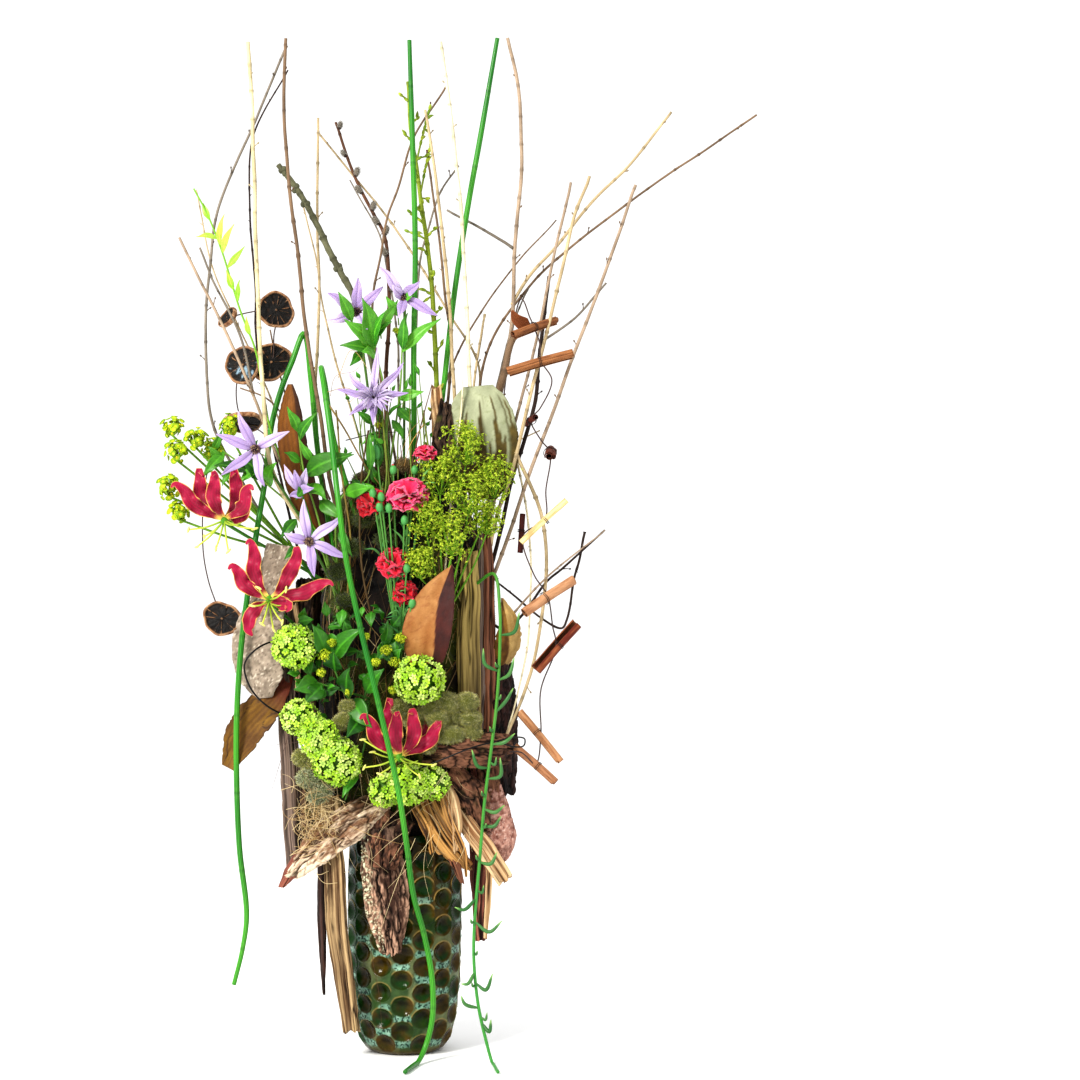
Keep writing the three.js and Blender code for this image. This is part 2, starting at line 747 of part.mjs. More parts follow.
// A star of eight points: a cube's corners, with the middle of each face pressed in, turned by turn.
function star(centre, radius, turn, grow) {
  const signs = [-1, 1];
  const corners = signs.flatMap(
    (x) => signs.flatMap((y) => signs.map((z) => vec([x, y, z]).setLength(radius + grow))),
  );
  const hollow = grow ? radius : STAR_HOLLOW * radius;
  const points = [...corners];
  const faces = [];
  for (let axis = 0; axis < 3; axis++) {
    for (const sign of signs) {
      const bit = 4 >> axis;
      const others = [4, 2, 1].filter((value) => value !== bit);
      const base = sign > 0 ? bit : 0;
      const ring = [base, base + others[0], base + others[0] + others[1], base + others[1]];
      const flip = (sign > 0) !== (axis === 1);
      points.push(vec([0, 0, 0]).setComponent(axis, sign * hollow));
      ring.forEach(
        (p, k) => faces.push(
          flip ? [p, ring[(k + 1) % 4], points.length - 1] : [ring[(k + 1) % 4], p, points.length - 1],
        ),
      );
    }
  }
  const middle = vec(centre);
  return closedSolid(points.map((p) => p.applyAxisAngle(UP, turn).add(middle)), faces);
}

// A tuft whose twelve corners stand out of it by a share of its radius.
const tuft = (centre, radius, depth, grow) =>
  relief(centre, radius, 1, (nearest) => (nearest < 0.99 ? 1 - depth : 1), grow);

// A smaller globe, with twelve florets.
const smallGlobe = (centre, radius, grow) => tuft(centre, radius, FLORET_RELIEF, grow);

// Guelder-rose heads: one or more globes of florets on a stalk.
const GUELDER = {
  guelder_upper_left: { foot: [-70, -18, 466], globes: [[[-124, -86, 486], 26]] },
  guelder_right: { foot: [16, -44, 440], globes: [[[22, -92, 447], 29]] },
  guelder_lower_left: {
    foot: [-60, -22, 360],
    globes: [[[-118, -88, 403], 22, smallGlobe], [[-96, -94, 381], 23], [[-74, -90, 352], 28]],
  },
  guelder_low: {
    foot: [-4, -44, 320],
    globes: [[[-18, -84, 318], 20, smallGlobe], [[9, -88, 325], 24], [[38, -78, 326], 19, smallGlobe]],
  },
};
function guelder({ foot, globes }) {
  return (grow) => {
    const solids = globes.map(
      ([centre, radius, make = floretGlobe]) => (
        grow ? ball(centre, 1.05 * radius, 1, grow) : make(centre, radius, 0)
      ),
    );
    const stalk = stem({ path: [foot, globes.at(-1)[0]], radius: 2, sides: 4, grow });
    return union([...solids, stalk]);
  };
}

// Lady's mantle: umbels of small stars on stalks that fork from one foot.
const MANTLE_FOOT = [44, -24, 500];
const MANTLE_FORK = [50, -62, 520];
const MANTLE_UMBELS = [
  [[75, -60, 723], 25], [[108, -58, 683], 24], [[45, -70, 687], 25], [[78, -78, 664], 25],
  [[29, -82, 640], 23],
  [[59, -86, 617], 26], [[99, -64, 636], 20], [[22, -84, 584], 19],
];

// Spurge on the left: smaller umbels in the same manner.
const SPURGE_FOOT = [-84, 4, 530];
const SPURGE_FORK = [-132, -6, 596];
const SPURGE_UMBELS = [
  [[-272, -46, 744], 12], [[-243, -54, 730], 13], [[-266, -58, 715], 12], [[-276, -54, 674], 14],
  [[-206, -40, 746], 12], [[-226, -34, 718], 12], [[-264, -50, 644], 11],
];

function umbels({ foot, fork, list }) {
  return (grow) => {
    const stalks = list.map(([centre, radius]) => {
      const low = vec(centre).addScaledVector(UP, -0.8 * radius);
      return stem({ path: [fork, low, centre], radius: [1.8, 1.4], grow });
    });
    const main = stem({ path: [foot, fork], radius: 2.6, grow });
    return union(
      [
        main,
        ball(fork, 7, 0, grow),
        ...stalks,
        ...list.map(([centre, radius], i) => star(centre, radius, i, grow)),
      ],
    );
  };
}

// Spray carnations: ruffled fans in a calyx, all on one forked stem.
const CARNATION_FOOT = [-4, -44, 440];
const CARNATIONS = [
  { heart: [8, -76, 659], face: [0, -0.7, 0.9], radius: 23 },
  { heart: [27, -62, 709], face: [0, -0.3, 1], radius: 13 },
  { heart: [-34, -72, 652], face: [-0.5, -0.8, 0.7], radius: 17 },
  { heart: [-9, -78, 582], face: [0, -0.9, 0.6], radius: 18 },
  { heart: [3, -78, 549], face: [0.3, -1, 0.1], radius: 14 },
];
const CARNATION_BUDS = [[-30, -62, 713], [13, -90, 536]];
const RUFFLES = 8;

// Two tiers of toothed ruffles, as rings of [height, radius, tooth], in shares of the bloom's radius.
const RUFFLE_TIERS = [
  [-0.1, 0.3, 0], [0.35, 0.95, 0.14], [0.6, 0.95, 0.16], [0.5, 0.55, 0], [0.95, 0.52, 0.14], [0.75, 0.2, 0],
];

function carnationBloom({ heart, face, radius }, grow) {
  const { a, u, w } = roundAxis(face);
  const tiers = radius > 17 ? RUFFLE_TIERS : RUFFLE_TIERS.toSpliced(3, 2);
  const rings = tiers.map(([height, size, tooth], k) =>
    Array.from({ length: RUFFLES }, (_, j) => {
      const turn = (2 * Math.PI * j) / RUFFLES;
      const sign = (j + (k > 3 ? 1 : 0)) % 2 ? 1 : -1;
      const reach = radius * (size + 0.6 * (grow ? 1 : sign) * tooth) + grow;
      const lift = radius * (height + 0.5 * (grow ? Math.sign(k - 1.5) : sign) * tooth) + (
        k > 1 ? grow : -grow
      );
      return vec(heart)
        .addScaledVector(a, lift)
        .addScaledVector(u, reach * Math.cos(turn))
        .addScaledVector(w, reach * Math.sin(turn));
    }),
  );
  return loft(rings);
}

function carnations(grow) {
  const fork = vec(CARNATION_FOOT).add(vec([2, -28, 30]));
  const blooms = CARNATIONS.map((one) => carnationBloom(one, grow));
  const bases = CARNATIONS.map(
    ({ heart, face, radius }) => vec(heart).addScaledVector(roundAxis(face).a, -0.5 * radius),
  );
  const calyxes = CARNATIONS.map(({ heart, radius }, i) =>
    stem({ path: [bases[i], heart], radius: [2.4, 0.28 * radius], sides: 4, grow }),
  );
  const ends = [...bases, ...CARNATION_BUDS.map(vec)];
  const stalks = ends.map((end, i) => {
    const middle = fork.clone().lerp(end, 0.5).addScaledVector(FRONT, -2 - i);
    return stem({ path: [fork, middle, end], radius: 1.4, grow });
  });
  const buds = CARNATION_BUDS.map((p) => ball(p, [4.4, 4.4, 8.5], 0, grow));
  const foot = stem({ path: [CARNATION_FOOT, fork], radius: 2.4, sides: 4, grow });
  return union([foot, ball(fork, 6, 0, grow), ...stalks, ...calyxes, ...buds, ...blooms]);
}

// Crested, fuzzy lobes of dried celosia: fat short arms on one root.
const CRESTS = {
  crest_right: {
    foot: [34, -28, 398],
    lobes: [[42, -78, 402], [63, -82, 423], [82, -77, 404], [62, -80, 385]],
    radius: 18,
  },
  crest_left: { foot: [-84, -12, 350], lobes: [[-108, -70, 350], [-95, -74, 328]], radius: 18 },
};
const TUFT_RELIEF = 0.26; // how deep the folds of a lobe are, as a share of its radius

function crest({ foot, lobes, radius }) {
  return (grow) => {
    const arm = stem({ path: [foot, lobes[0]], radius: [5, 0.6 * radius], sides: 4, grow });
    return union([arm, ...lobes.map((p) => tuft(p, radius, TUFT_RELIEF, grow))]);
  };
}

// ---------------------------------------------------------------- foliage
// Each leaf: foot on the stem, tip, width. The stems run back to one foot inside the column.
const FOLIAGE = {
  stem_leafy: {
    root: [-70, -4, 570],
    foot: [-72, -36, 574],
    stems: [
      [
        [-116, -28, 640], [-140, -38, 693], [-160, -40, 752], [-167, -40, 794], [-175, -40, 835],
        [-193, -40, 882], [-215, -40, 953], [-232, -40, 996], [-248, -40, 1026],
      ],
    ],
    leaves: [
      { from: [-217, -40, 958], to: [-211, -46, 995], width: 9 },
      { from: [-212, -40, 949], to: [-199, -50, 983], width: 9 },
      { from: [-219, -40, 965], to: [-244, -48, 968], width: 9 },
      { from: [-207, -40, 932], to: [-187, -46, 957], width: 8 },
      { from: [-200, -40, 906], to: [-209, -46, 929], width: 8 },
      { from: [-196, -40, 891], to: [-192, -50, 917], width: 8 },
      { from: [-229, -40, 988], to: [-238, -34, 1010], width: 8 },
      { from: [-181, -40, 853], to: [-185, -48, 874], width: 7 },
    ],
  },
  leaves_top: {
    root: [-26, -20, 612],
    foot: [-26, -56, 622],
    stems: [[[-21, -36, 776], [-34, -44, 835], [-43, -48, 858]], [[-4, -36, 788], [-1, -40, 841]]],
    leaves: [
      { from: [-34, -46, 835], to: [-47, -60, 895], width: 26 },
      { from: [-27, -50, 837], to: [-68, -66, 869], width: 22 },
      { from: [-32, -48, 832], to: [-74, -52, 839], width: 18 },
      { from: [-24, -52, 840], to: [-19, -66, 878], width: 20 },
      { from: [-2, -42, 835], to: [6, -52, 878], width: 15 },
      { from: [-22, -46, 832], to: [-47, -66, 831], width: 20 },
      { from: [-4, -42, 832], to: [45, -44, 872], width: 15 },
    ],
  },
  leaves_left: {
    root: [-72, -10, 524],
    foot: [-76, -46, 530],
    stems: [
      [[-99, -56, 634], [-116, -60, 692], [-122, -62, 739]],
      [[-108, -34, 622], [-167, -42, 681], [-214, -42, 716]],
      [[-73, -60, 657], [-40, -62, 685], [-40, -64, 727]],
    ],
    leaves: [
      { from: [-122, -64, 737], to: [-134, -74, 766], width: 13 },
      { from: [-121, -64, 727], to: [-99, -76, 759], width: 14 },
      { from: [-110, -64, 688], to: [-55, -84, 710], width: 27 },
      { from: [-108, -64, 675], to: [-87, -86, 657], width: 20 },
      { from: [-104, -62, 681], to: [-123, -82, 657], width: 16 },
      { from: [-84, -72, 683], to: [-32, -84, 673], width: 18 },
      { from: [-165, -56, 681], to: [-192, -66, 710], width: 22 },
      { from: [-180, -54, 692], to: [-221, -60, 697], width: 20 },
      { from: [-156, -56, 675], to: [-147, -70, 701], width: 24 },
      { from: [-42, -64, 692], to: [-37, -70, 737], width: 11 },
      { from: [-52, -64, 676], to: [-27, -84, 657], width: 13 },
      { from: [-213, -52, 714], to: [-236, -58, 683], width: 15 },
    ],
  },
  leaves_low: {
    root: [-40, -20, 414],
    foot: [-40, -66, 420],
    stems: [
      [[-60, -76, 423], [-83, -82, 470], [-97, -84, 493]],
      [[-49, -74, 399], [-30, -80, 470], [-11, -82, 503]],
      [[-42, -70, 376], [-65, -88, 307]],
      [[-72, -76, 435], [-107, -80, 446]],
    ],
    leaves: [
      { from: [-76, -84, 470], to: [-42, -98, 508], width: 30 },
      { from: [-85, -84, 476], to: [-103, -92, 512], width: 22 },
      { from: [-97, -82, 451], to: [-124, -96, 436], width: 24 },
      { from: [-92, -82, 442], to: [-112, -94, 419], width: 22 },
      { from: [-78, -82, 456], to: [-77, -102, 482], width: 26 },
      { from: [-65, -80, 428], to: [-58, -102, 462], width: 28 },
      { from: [-58, -80, 421], to: [-33, -98, 392], width: 26 },
      { from: [-48, -78, 435], to: [-19, -98, 461], width: 24 },
      { from: [-20, -84, 488], to: [-15, -90, 517], width: 16 },
      { from: [-51, -78, 409], to: [-63, -96, 380], width: 24 },
      { from: [-50, -82, 342], to: [-67, -104, 311], width: 16 },
    ],
  },
};

function foliage({ root, foot, stems, leaves }) {
  return (grow) => {
    const knot = union([ball(foot, 4.5, 0, grow), stem({ path: [root, foot], radius: 2.6, grow })]);
    const stalks = stems.map((path, i) => {
      const start = vec(foot).add(vec([i - 1, 0.7 * i, 1.3 * i]));
      return stem({ path: [start, ...path], radius: [2.2, 1.8], grow });
    });
    const blades = leaves.map(({ from, to, width }, i) => {
      const starts = stems.map((path) => nearestOn(path, from));
      const start = starts.reduce(
        (best, p) => (p.distanceTo(vec(from)) < best.distanceTo(vec(from)) ? p : best),
      );
      const arch = vec(from).lerp(vec(to), 0.45).addScaledVector(FRONT, 3 + (i % 3)).addScaledVector(UP, 2);
      return blade({
        spine: [start, arch, to], out: [0.3 * Math.sin(i), -1, 0.5], widths: [1, width, 1],
        fold: 0.25, thick: 1.3, steps: 2, grow,
      });
    });
    return union([knot, ...stalks, ...blades]);
  };
}

// String-of-bananas: a thin stem hanging at the right and lying along the surface, with curved leaves.
const STRING_PATH = [
  [84, -36, 556], [108, -62, 570], [115, -78, 528], [115, -86, 482], [112, -92, 424], [106, -100, 372],
  [98, -102, 309], [92, -98, 239], [86, -92, 168], [85, -88, 121], [90, -86, 68], [99, -86, 27],
  [106, -92, 2.8], [114, -146, 2.8],
];
const STRING_RADIUS = 2.1;
const BANANAS = [
  [[117, -84, 498], [132, -90, 503], [138, -90, 526]], [[112, -90, 456], [98, -96, 466], [96, -94, 484]],
  [[113, -90, 447], [126, -96, 454], [132, -94, 473]], [[111, -94, 410], [123, -98, 424], [131, -96, 438]],
  [[105, -100, 372], [121, -106, 376], [133, -104, 386]],
  [[103, -100, 346], [90, -106, 348], [83, -104, 367]],
  [[101, -102, 332], [116, -108, 337], [116, -106, 358]],
  [[98, -102, 299], [110, -108, 295], [121, -106, 303]],
  [[96, -100, 279], [109, -106, 279], [117, -104, 290]],
  [[94, -98, 236], [105, -104, 235], [112, -102, 248]],
  [[86, -94, 194], [74, -100, 181], [63, -100, 184]], [[86, -92, 166], [103, -98, 155], [118, -98, 168]],
  [[84, -88, 107], [78, -94, 94], [70, -94, 94]], [[86, -88, 93], [99, -94, 87], [107, -94, 106]],
  [[86, -86, 64], [75, -92, 70], [70, -92, 80]], [[92, -86, 46], [103, -92, 38], [105, -92, 52]],
];

function bananaString(grow) {
  const main = stem({ path: STRING_PATH, radius: STRING_RADIUS, sides: 4, grow });
  const leaves = BANANAS.map(([from, ...rest]) =>
    stem({ path: [nearestOn(STRING_PATH, from), ...rest], radius: [1.4, 2.4, 0.8], grow }),
  );
  return union([main, ...leaves]);
}

// ---------------------------------------------------------------- the wired garlands
// Cinnamon quills, each with a groove along it where the rolled edges meet, between two ends.
const QUILLS = [
  { ends: [[130, -46, 852], [181, -20, 873]], radius: 5 },
  { ends: [[123, -48, 810], [201, -44, 832]], radius: 5.6 },
  { ends: [[157, -44, 755], [146, -14, 749]], radius: 4.4 },
  { ends: [[173, -40, 709], [175, -6, 718]], radius: 6 },
  { ends: [[141, -34, 641], [138, -40, 595]], radius: 4.2 },
  { ends: [[140, -56, 606], [194, -50, 656]], radius: 4.6 },
  { ends: [[143, -46, 525], [201, -40, 563]], radius: 7.6 },
  { ends: [[157, -36, 456], [206, -30, 511]], radius: 7 },
  { ends: [[138, -30, 407], [187, -40, 348]], radius: 4.6 },
  { ends: [[132, -36, 366], [181, -46, 324]], radius: 4.8 },
];
const GARLAND_WIRE_RADIUS = 1.2;
const CINNAMON_WIRE = [
  [92, 20, 560], [138, 16, 900], [150, -20, 875], [155, -34, 862], [162, -44, 841], [163, -46, 822],
  [176, -44, 799], [162, -38, 766], [151, -30, 753],
  [163, -28, 729], [174, -24, 714], [169, -36, 669], [168, -52, 635], [142, -38, 615], [155, -50, 569],
  [171, -44, 544], [177, -40, 508], [181, -33, 483], [163, -34, 432], [163, -36, 378], [157, -41, 345],
  [138, -50, 360], [100, -52, 355],
];
const LEAF_SCRAP = {
  spine: [[148, -34, 862], [135, -44, 872], [129, -50, 881]],
  out: FRONT,
  widths: [8, 17, 10, 2],
  thick: 1.4,
  steps: 3,
};

function quill({ ends, radius }, grow) {
  const [from, to] = ends.map(vec);
  const groove = grow ? 1 : 0.25;
  const outline = Array.from({ length: 8 }, (_, i) => {
    const reach = (i ? radius : groove * radius) + grow;
    return new THREE.Vector2(reach * Math.cos((Math.PI * i) / 4), reach * Math.sin((Math.PI * i) / 4));
  });
  const axis = to.clone().sub(from);
  const geometry = new THREE.ExtrudeGeometry(
    new THREE.Shape(outline),
    { depth: axis.length() + 2 * grow, bevelEnabled: false },
  );
  geometry.translate(0, 0, -grow);
  geometry.applyQuaternion(new THREE.Quaternion().setFromUnitVectors(UP, axis.normalize()));
  geometry.translate(...from);
  return solidOf(geometry);
}

function cinnamonGarland(grow) {
  const wire = stem({ path: CINNAMON_WIRE, radius: GARLAND_WIRE_RADIUS, grow });
  return union([wire, blade({ ...LEAF_SCRAP, grow }), ...QUILLS.map((one) => quill(one, grow))]);
}

// Dried fruit slices: a raised rim round a sunken, spoked middle.
const SLICES = [
  { centre: [-156, 12, 887], out: [0.2, -1, 0.1], radius: 21 },
  { centre: [-196, 14, 821], out: [-0.3, -1, 0.1], radius: 22 },
  { centre: [-163, 22, 825], out: [0.25, -1, 0], radius: 23 },
  { centre: [-213, 4, 877], out: [-0.9, -0.7, 0.5], radius: 14 },
  { centre: [-198, 34, 753], out: [0.1, -0.45, -0.9], radius: 21 },
  { centre: [-222, 20, 515], out: [-0.15, -1, 0.1], radius: 21 },
];
const SLICE_THICK = 6;
const SLICE_SPOKES = 4;
const SLICE_WIRE = [
  [
    [-84, 26, 580], [-129, 34, 683], [-176, 38, 741], [-198, 34, 753], [-205, 20, 789], [-196, 14, 821],
    [-179, 20, 825], [-163, 22, 825], [-159, 16, 857], [-156, 12, 887], [-187, 8, 884], [-213, 4, 877],
  ],
  [
    [-198, 34, 753], [-225, 40, 732], [-243, 38, 689], [-247, 32, 604], [-240, 28, 562], [-230, 24, 534],
    [-222, 20, 515],
  ],
];

function slice({ centre, out, radius }, grow) {
  const { a, u, w } = roundAxis(out);
  const count = 2 * SLICE_SPOKES;
  const ring = (size, lift) =>
    Array.from({ length: count }, (_, j) => {
      const turn = (2 * Math.PI * j) / count;
      return vec(centre)
        .addScaledVector(a, lift(j))
        .addScaledVector(u, 0.92 * size * Math.cos(turn))
        .addScaledVector(w, 1.04 * size * Math.sin(turn));
    });
  const half = SLICE_THICK / 2 + grow;
  return loft([
    ring(radius - 3 + grow, () => -half),
    ring(radius + grow, () => half),
    ring(radius - 4, (j) => (grow ? half : j % 2 ? 0.4 : half - 0.6)),
    ring(3, () => (grow ? half : 1)),
  ]);
}

function sliceGarland(grow) {
  const wires = SLICE_WIRE.map((path) => stem({ path, radius: GARLAND_WIRE_RADIUS, grow }));
  return union([...wires, ...SLICES.map((one) => slice(one, grow))]);
}

// A loop of black wire that stands out from the column on the left.
const WIRE_LOOP = [
  [-96, -30, 474], [-140, -62, 492], [-167, -84, 484], [-182, -88, 466], [-177, -88, 441], [-162, -84, 421],
  [-140, -70, 406], [-98, -30, 396],
];
const BLACK_WIRE_RADIUS = 1.2;

// ---------------------------------------------------------------- bark and split wood
const WOOD = {
  bark_front: [
    BARK,
    {
      spine: [[-28, -70, 272], [-21, -74, 212], [-14, -75, 160], [-11, -74, 127]],
      out: FRONT,
      widths: [40, 52, 50, 26],
      thick: [13, 11, 9, 5],
      bow: 5,
      rough: 3,
      ragged: 9,
      seed: 3,
      steps: 4,
    },
  ],
  bark_collar_left: [
    BARK,
    {
      spine: [[-26, -58, 302], [-60, -74, 282], [-99, -82, 251], [-133, -78, 215]],
      out: [-0.25, -1, 0.35],
      widths: [30, 50, 42, 12],
      thick: [12, 14, 9, 4],
      bow: 5,
      rough: 3,
      ragged: 9,
      seed: 5,
      steps: 4,
    },
  ],
  bark_belt_right: [
    BARK,
    {
      spine: [[28, -70, 362], [64, -84, 363], [99, -74, 364], [124, -40, 361]],
      out: FRONT,
      widths: [28, 36, 42, 34],
      thick: 12,
      bow: 3,
      rough: 3,
      seed: 7,
      steps: 4,
    },
  ],
  bark_slab_right: [
    RED_WOOD,
    {
      spine: [[114, -6, 478], [118, -2, 418], [119, 2, 358], [121, 2, 307]],
      out: [0.8, -0.6, 0],
      widths: [26, 44, 46, 30],
      thick: [8, 12, 12, 8],
      bow: 4,
      rough: 3,
      ragged: 10,
      seed: 9,
      steps: 4,
    },
  ],
  bark_spongy_right: [
    SPONGY_BARK,
    {
      spine: [[100, -32, 325], [109, -34, 287], [117, -38, 252], [111, -40, 222]],
      out: [0.3, -1, 0],
      widths: [22, 34, 36, 14],
      thick: [10, 11, 10, 6],
      bow: 4,
      rough: 4,
      ragged: 8,
      seed: 11,
      steps: 4,
    },
  ],
  slat_front_left: [
    WEATHERED,
    {
      spine: [[-84, -66, 305], [-79, -76, 212], [-70, -72, 118], [-60, -58, 33]],
      out: [-0.55, -1, 0],
      widths: [26, 28, 28, 22],
      thick: 8,
      bow: 1.5,
      rough: 2,
      ragged: 12,
      seed: 13,
      steps: 4,
    },
  ],
  slat_dark_left: [
    DARK_WOOD,
    {
      spine: [[-98, -8, 356], [-98, -30, 242], [-96, -38, 148], [-94, -34, 71]],
      out: [-1, -0.5, 0],
      widths: [18, 22, 22, 20, 4],
      thick: [7, 7, 5, 3],
      rough: 2,
      ragged: 6,
      seed: 15,
      steps: 4,
    },
  ],
  post_left: [
    WEATHERED,
    {
      spine: [[-139, -26, 539], [-138, -38, 420], [-132, -46, 326], [-127, -50, 223]],
      out: [-0.8, -0.8, 0],
      widths: [14, 20, 26, 22],
      thick: [11, 14, 15, 12],
      rough: 3,
      ragged: 14,
      seed: 17,
      steps: 5,
    },
  ],
  plank_pale: [
    PALE_WOOD,
    {
      spine: [[79, -36, 596], [78, -38, 539], [77, -39, 468], [77, -36, 387]],
      out: [0.35, -1, 0],
      widths: [18, 26, 28, 28],
      thick: [8, 11, 12, 12],
      bow: 3,
      rough: 2,
      ragged: 10,
      seed: 19,
      steps: 5,
    },
  ],
  plank_red: [
    RED_WOOD,
    {
      spine: [[99, -16, 636], [100, -20, 562], [101, -20, 479], [101, -18, 386]],
      out: [0.6, -1, 0],
      widths: [9, 14, 17, 16],
      thick: [6, 8, 9, 9],
      bow: 1.5,
      rough: 2,
      ragged: 12,
      seed: 21,
      steps: 5,
    },
  ],
  plank_back: [
    WEATHERED,
    {
      spine: [[56, 50, 720], [62, 56, 600], [64, 59, 450], [56, 57, 276]],
      out: [0.3, 1, 0],
      widths: [22, 34, 38, 30],
      thick: [8, 11, 12, 9],
      bow: 3,
      rough: 2.4,
      ragged: 12,
      seed: 23,
      steps: 4,
    },
  ],
  splinter_right: [
    PALE_WOOD,
    {
      spine: [[49, -47, 319], [75, -62, 279], [99, -68, 246], [121, -70, 212]],
      out: [0.2, -1, 0.2],
      widths: [12, 20, 24, 20],
      thick: 7,
      rough: 2,
      ragged: 10,
      seed: 25,
      steps: 3,
    },
  ],
  splinters_amber: [
    AMBER_WOOD,
    {
      spine: [[21, -55, 316], [40, -68, 275], [59, -66, 246], [77, -58, 226]],
      out: FRONT,
      widths: [16, 34, 30, 12],
      thick: 8,
      bow: 3,
      rough: 4,
      ragged: 12,
      seed: 27,
      steps: 3,
    },
  ],
  slat_low_right: [
    RED_WOOD,
    {
      spine: [[88, -22, 346], [91, -30, 254], [90, -36, 183], [93, -38, 136]],
      out: [0.5, -1, 0],
      widths: [26, 28, 22, 12],
      thick: [8, 9, 8, 5],
      bow: 1,
      rough: 2,
      ragged: 10,
      seed: 29,
      steps: 3,
    },
  ],
  bark_back: [
    BARK,
    {
      spine: [[-22, 58, 690], [-20, 70, 560], [-24, 72, 420], [-20, 64, 272]],
      out: [0, 1, 0],
      widths: [70, 110, 118, 84],
      thick: [9, 14, 14, 9],
      bow: -3,
      rough: 4,
      ragged: 16,
      seed: 31,
      steps: 5,
    },
  ],
  bark_side_left: [
    SIDE_BARK,
    {
      spine: [[-92, 34, 640], [-102, 34, 520], [-106, 34, 400], [-88, 30, 272]],
      out: [-1, 0.5, 0],
      widths: [44, 62, 66, 46],
      thick: [8, 12, 13, 9],
      bow: 2,
      rough: 4,
      ragged: 14,
      seed: 33,
      steps: 4,
    },
  ],
};

// ---------------------------------------------------------------- dried leaves
const DRIED = {
  leaf_front: [
    DRY_LEAF,
    {
      spine: [[27, -84, 461], [32, -94, 505], [42, -92, 540], [59, -84, 580]],
      out: [-0.35, -1, 0.1],
      widths: [30, 62, 56, 30, 2],
      thick: 2,
      fold: 0.2,
      steps: 6,
    },
  ],
  leaf_upper_left: [
    DRY_LEAF,
    {
      spine: [[-87, -12, 591], [-116, -34, 657], [-131, -47, 728], [-133, -48, 794]],
      out: [0.2, -1, 0],
      widths: [6, 18, 34, 34, 24, 3],
      thick: 2,
      fold: 0.18,
      steps: 6,
    },
  ],
  leaf_lower_left: [
    OCHRE_LEAF,
    {
      spine: [[-134, -40, 449], [-156, -52, 421], [-184, -56, 386], [-205, -58, 342]],
      out: [-0.2, -1, 0.2],
      widths: [12, 38, 46, 38, 8],
      thick: 2,
      fold: 0.2,
      steps: 6,
    },
  ],
  leaf_felt: [
    FELT_GREY,
    {
      spine: [[-155, -41, 601], [-166, -53, 539], [-175, -55, 492], [-166, -53, 425]],
      out: [-0.2, -1, 0.1],
      widths: [26, 50, 66, 58, 18],
      thick: 3.2,
      fold: 0.12,
      wave: 1.5,
      steps: 6,
    },
  ],
  leaf_round: [
    PALE_LEAF,
    {
      spine: [[98, -24, 658], [96, -32, 705], [92, -32, 752], [88, -26, 793]],
      out: [0.1, -1, 0.1],
      widths: [24, 66, 80, 72, 26],
      thick: 2.4,
      fold: 0.1,
      wave: 1,
      steps: 6,
    },
  ],
  leaf_tan: [
    TAN_LEAF,
    {
      spine: [[113, -8, 452], [126, -26, 486], [126, -34, 517], [117, -26, 541]],
      out: [0.5, -1, 0.2],
      widths: [16, 34, 36, 22, 4],
      thick: 2,
      fold: -0.3,
      wave: 1.6,
      steps: 5,
    },
  ],
};

// ---------------------------------------------------------------- placing every piece
// Stems come first and are never cut; blooms and leaves give way to them, and wood gives way to all.
const plant = { gap: PLANT_GAP };
place("vase", GLAZE, vase, { roughness: 0.15 });
place("ballast", GRAVEL, ballast);
for (const [name, path] of Object.entries(RUSHES)) {
  place(
    name,
    RUSH_GREEN,
    (grow) => stem({ path, radius: RUSH_RADIUS, sides: 5, grow }),
    { roughness: 0.5 },
  );
}
place("twigs_left", STRAW, bunch(LEFT_FOOT, LEFT_TWIGS));
place("twigs_middle", STRAW, bunch(MIDDLE_FOOT, MIDDLE_TWIGS));
place("twigs_right", ROD_PINK, bunch(RIGHT_FOOT, RIGHT_TWIGS));
place("branch_grey", GREY_BARK, joined(GREY_BRANCH));
place("branch_catkin", TWIG_BROWN, joined(CATKIN_BRANCH));
place("stem_budded", BUD_GREEN, buddedStem);
place("string_of_bananas", BANANA_GREEN, bananaString);
place("cinnamon_garland", CINNAMON, cinnamonGarland);
place("slice_garland", SLICE_BROWN, sliceGarland);
place("wire_loop_left", BLACK, (grow) => stem({ path: WIRE_LOOP, radius: BLACK_WIRE_RADIUS, grow }));
for (const [name, one] of Object.entries(GLORIOSA)) place(name, CRIMSON, gloriosa(one), plant);
for (const [name, one] of Object.entries(CLEMATIS)) place(name, LILAC, clematis(one), plant);
place("carnations", CARNATION_PINK, carnations, plant);
for (const [name, one] of Object.entries(GUELDER)) place(name, LIME, guelder(one), plant);
const mantle = { foot: MANTLE_FOOT, fork: MANTLE_FORK, list: MANTLE_UMBELS };
place("ladys_mantle", MANTLE_YELLOW, umbels(mantle), plant);
const spurge = { foot: SPURGE_FOOT, fork: SPURGE_FORK, list: SPURGE_UMBELS };
place("spurge", LIME, umbels(spurge), plant);
for (const [name, one] of Object.entries(CRESTS)) place(name, CREST_GOLD, crest(one), plant);
for (const [name, one] of Object.entries(FOLIAGE)) place(name, DARK_GREEN, foliage(one), plant);

// The column is holed by everything that is planted in it.
const columnSolid = largest(cutClear(column(0), grown)).simplify(SLIVER);
show("moss_column", columnSolid, MOSS, 0.95);
grown.push(column(GAP));

const wood = { roughness: 0.9, gap: WOOD_GAP };
for (const [name, [color, facts]] of Object.entries(WOOD)) {
  place(name, color, (grow) => slab({ ...facts, grow }), wood);
}
for (const [name, [color, facts]] of Object.entries(DRIED)) {
  place(name, color, (grow) => blade({ ...facts, grow }), plant);
}

export default arrangement;
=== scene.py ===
import itertools
import math

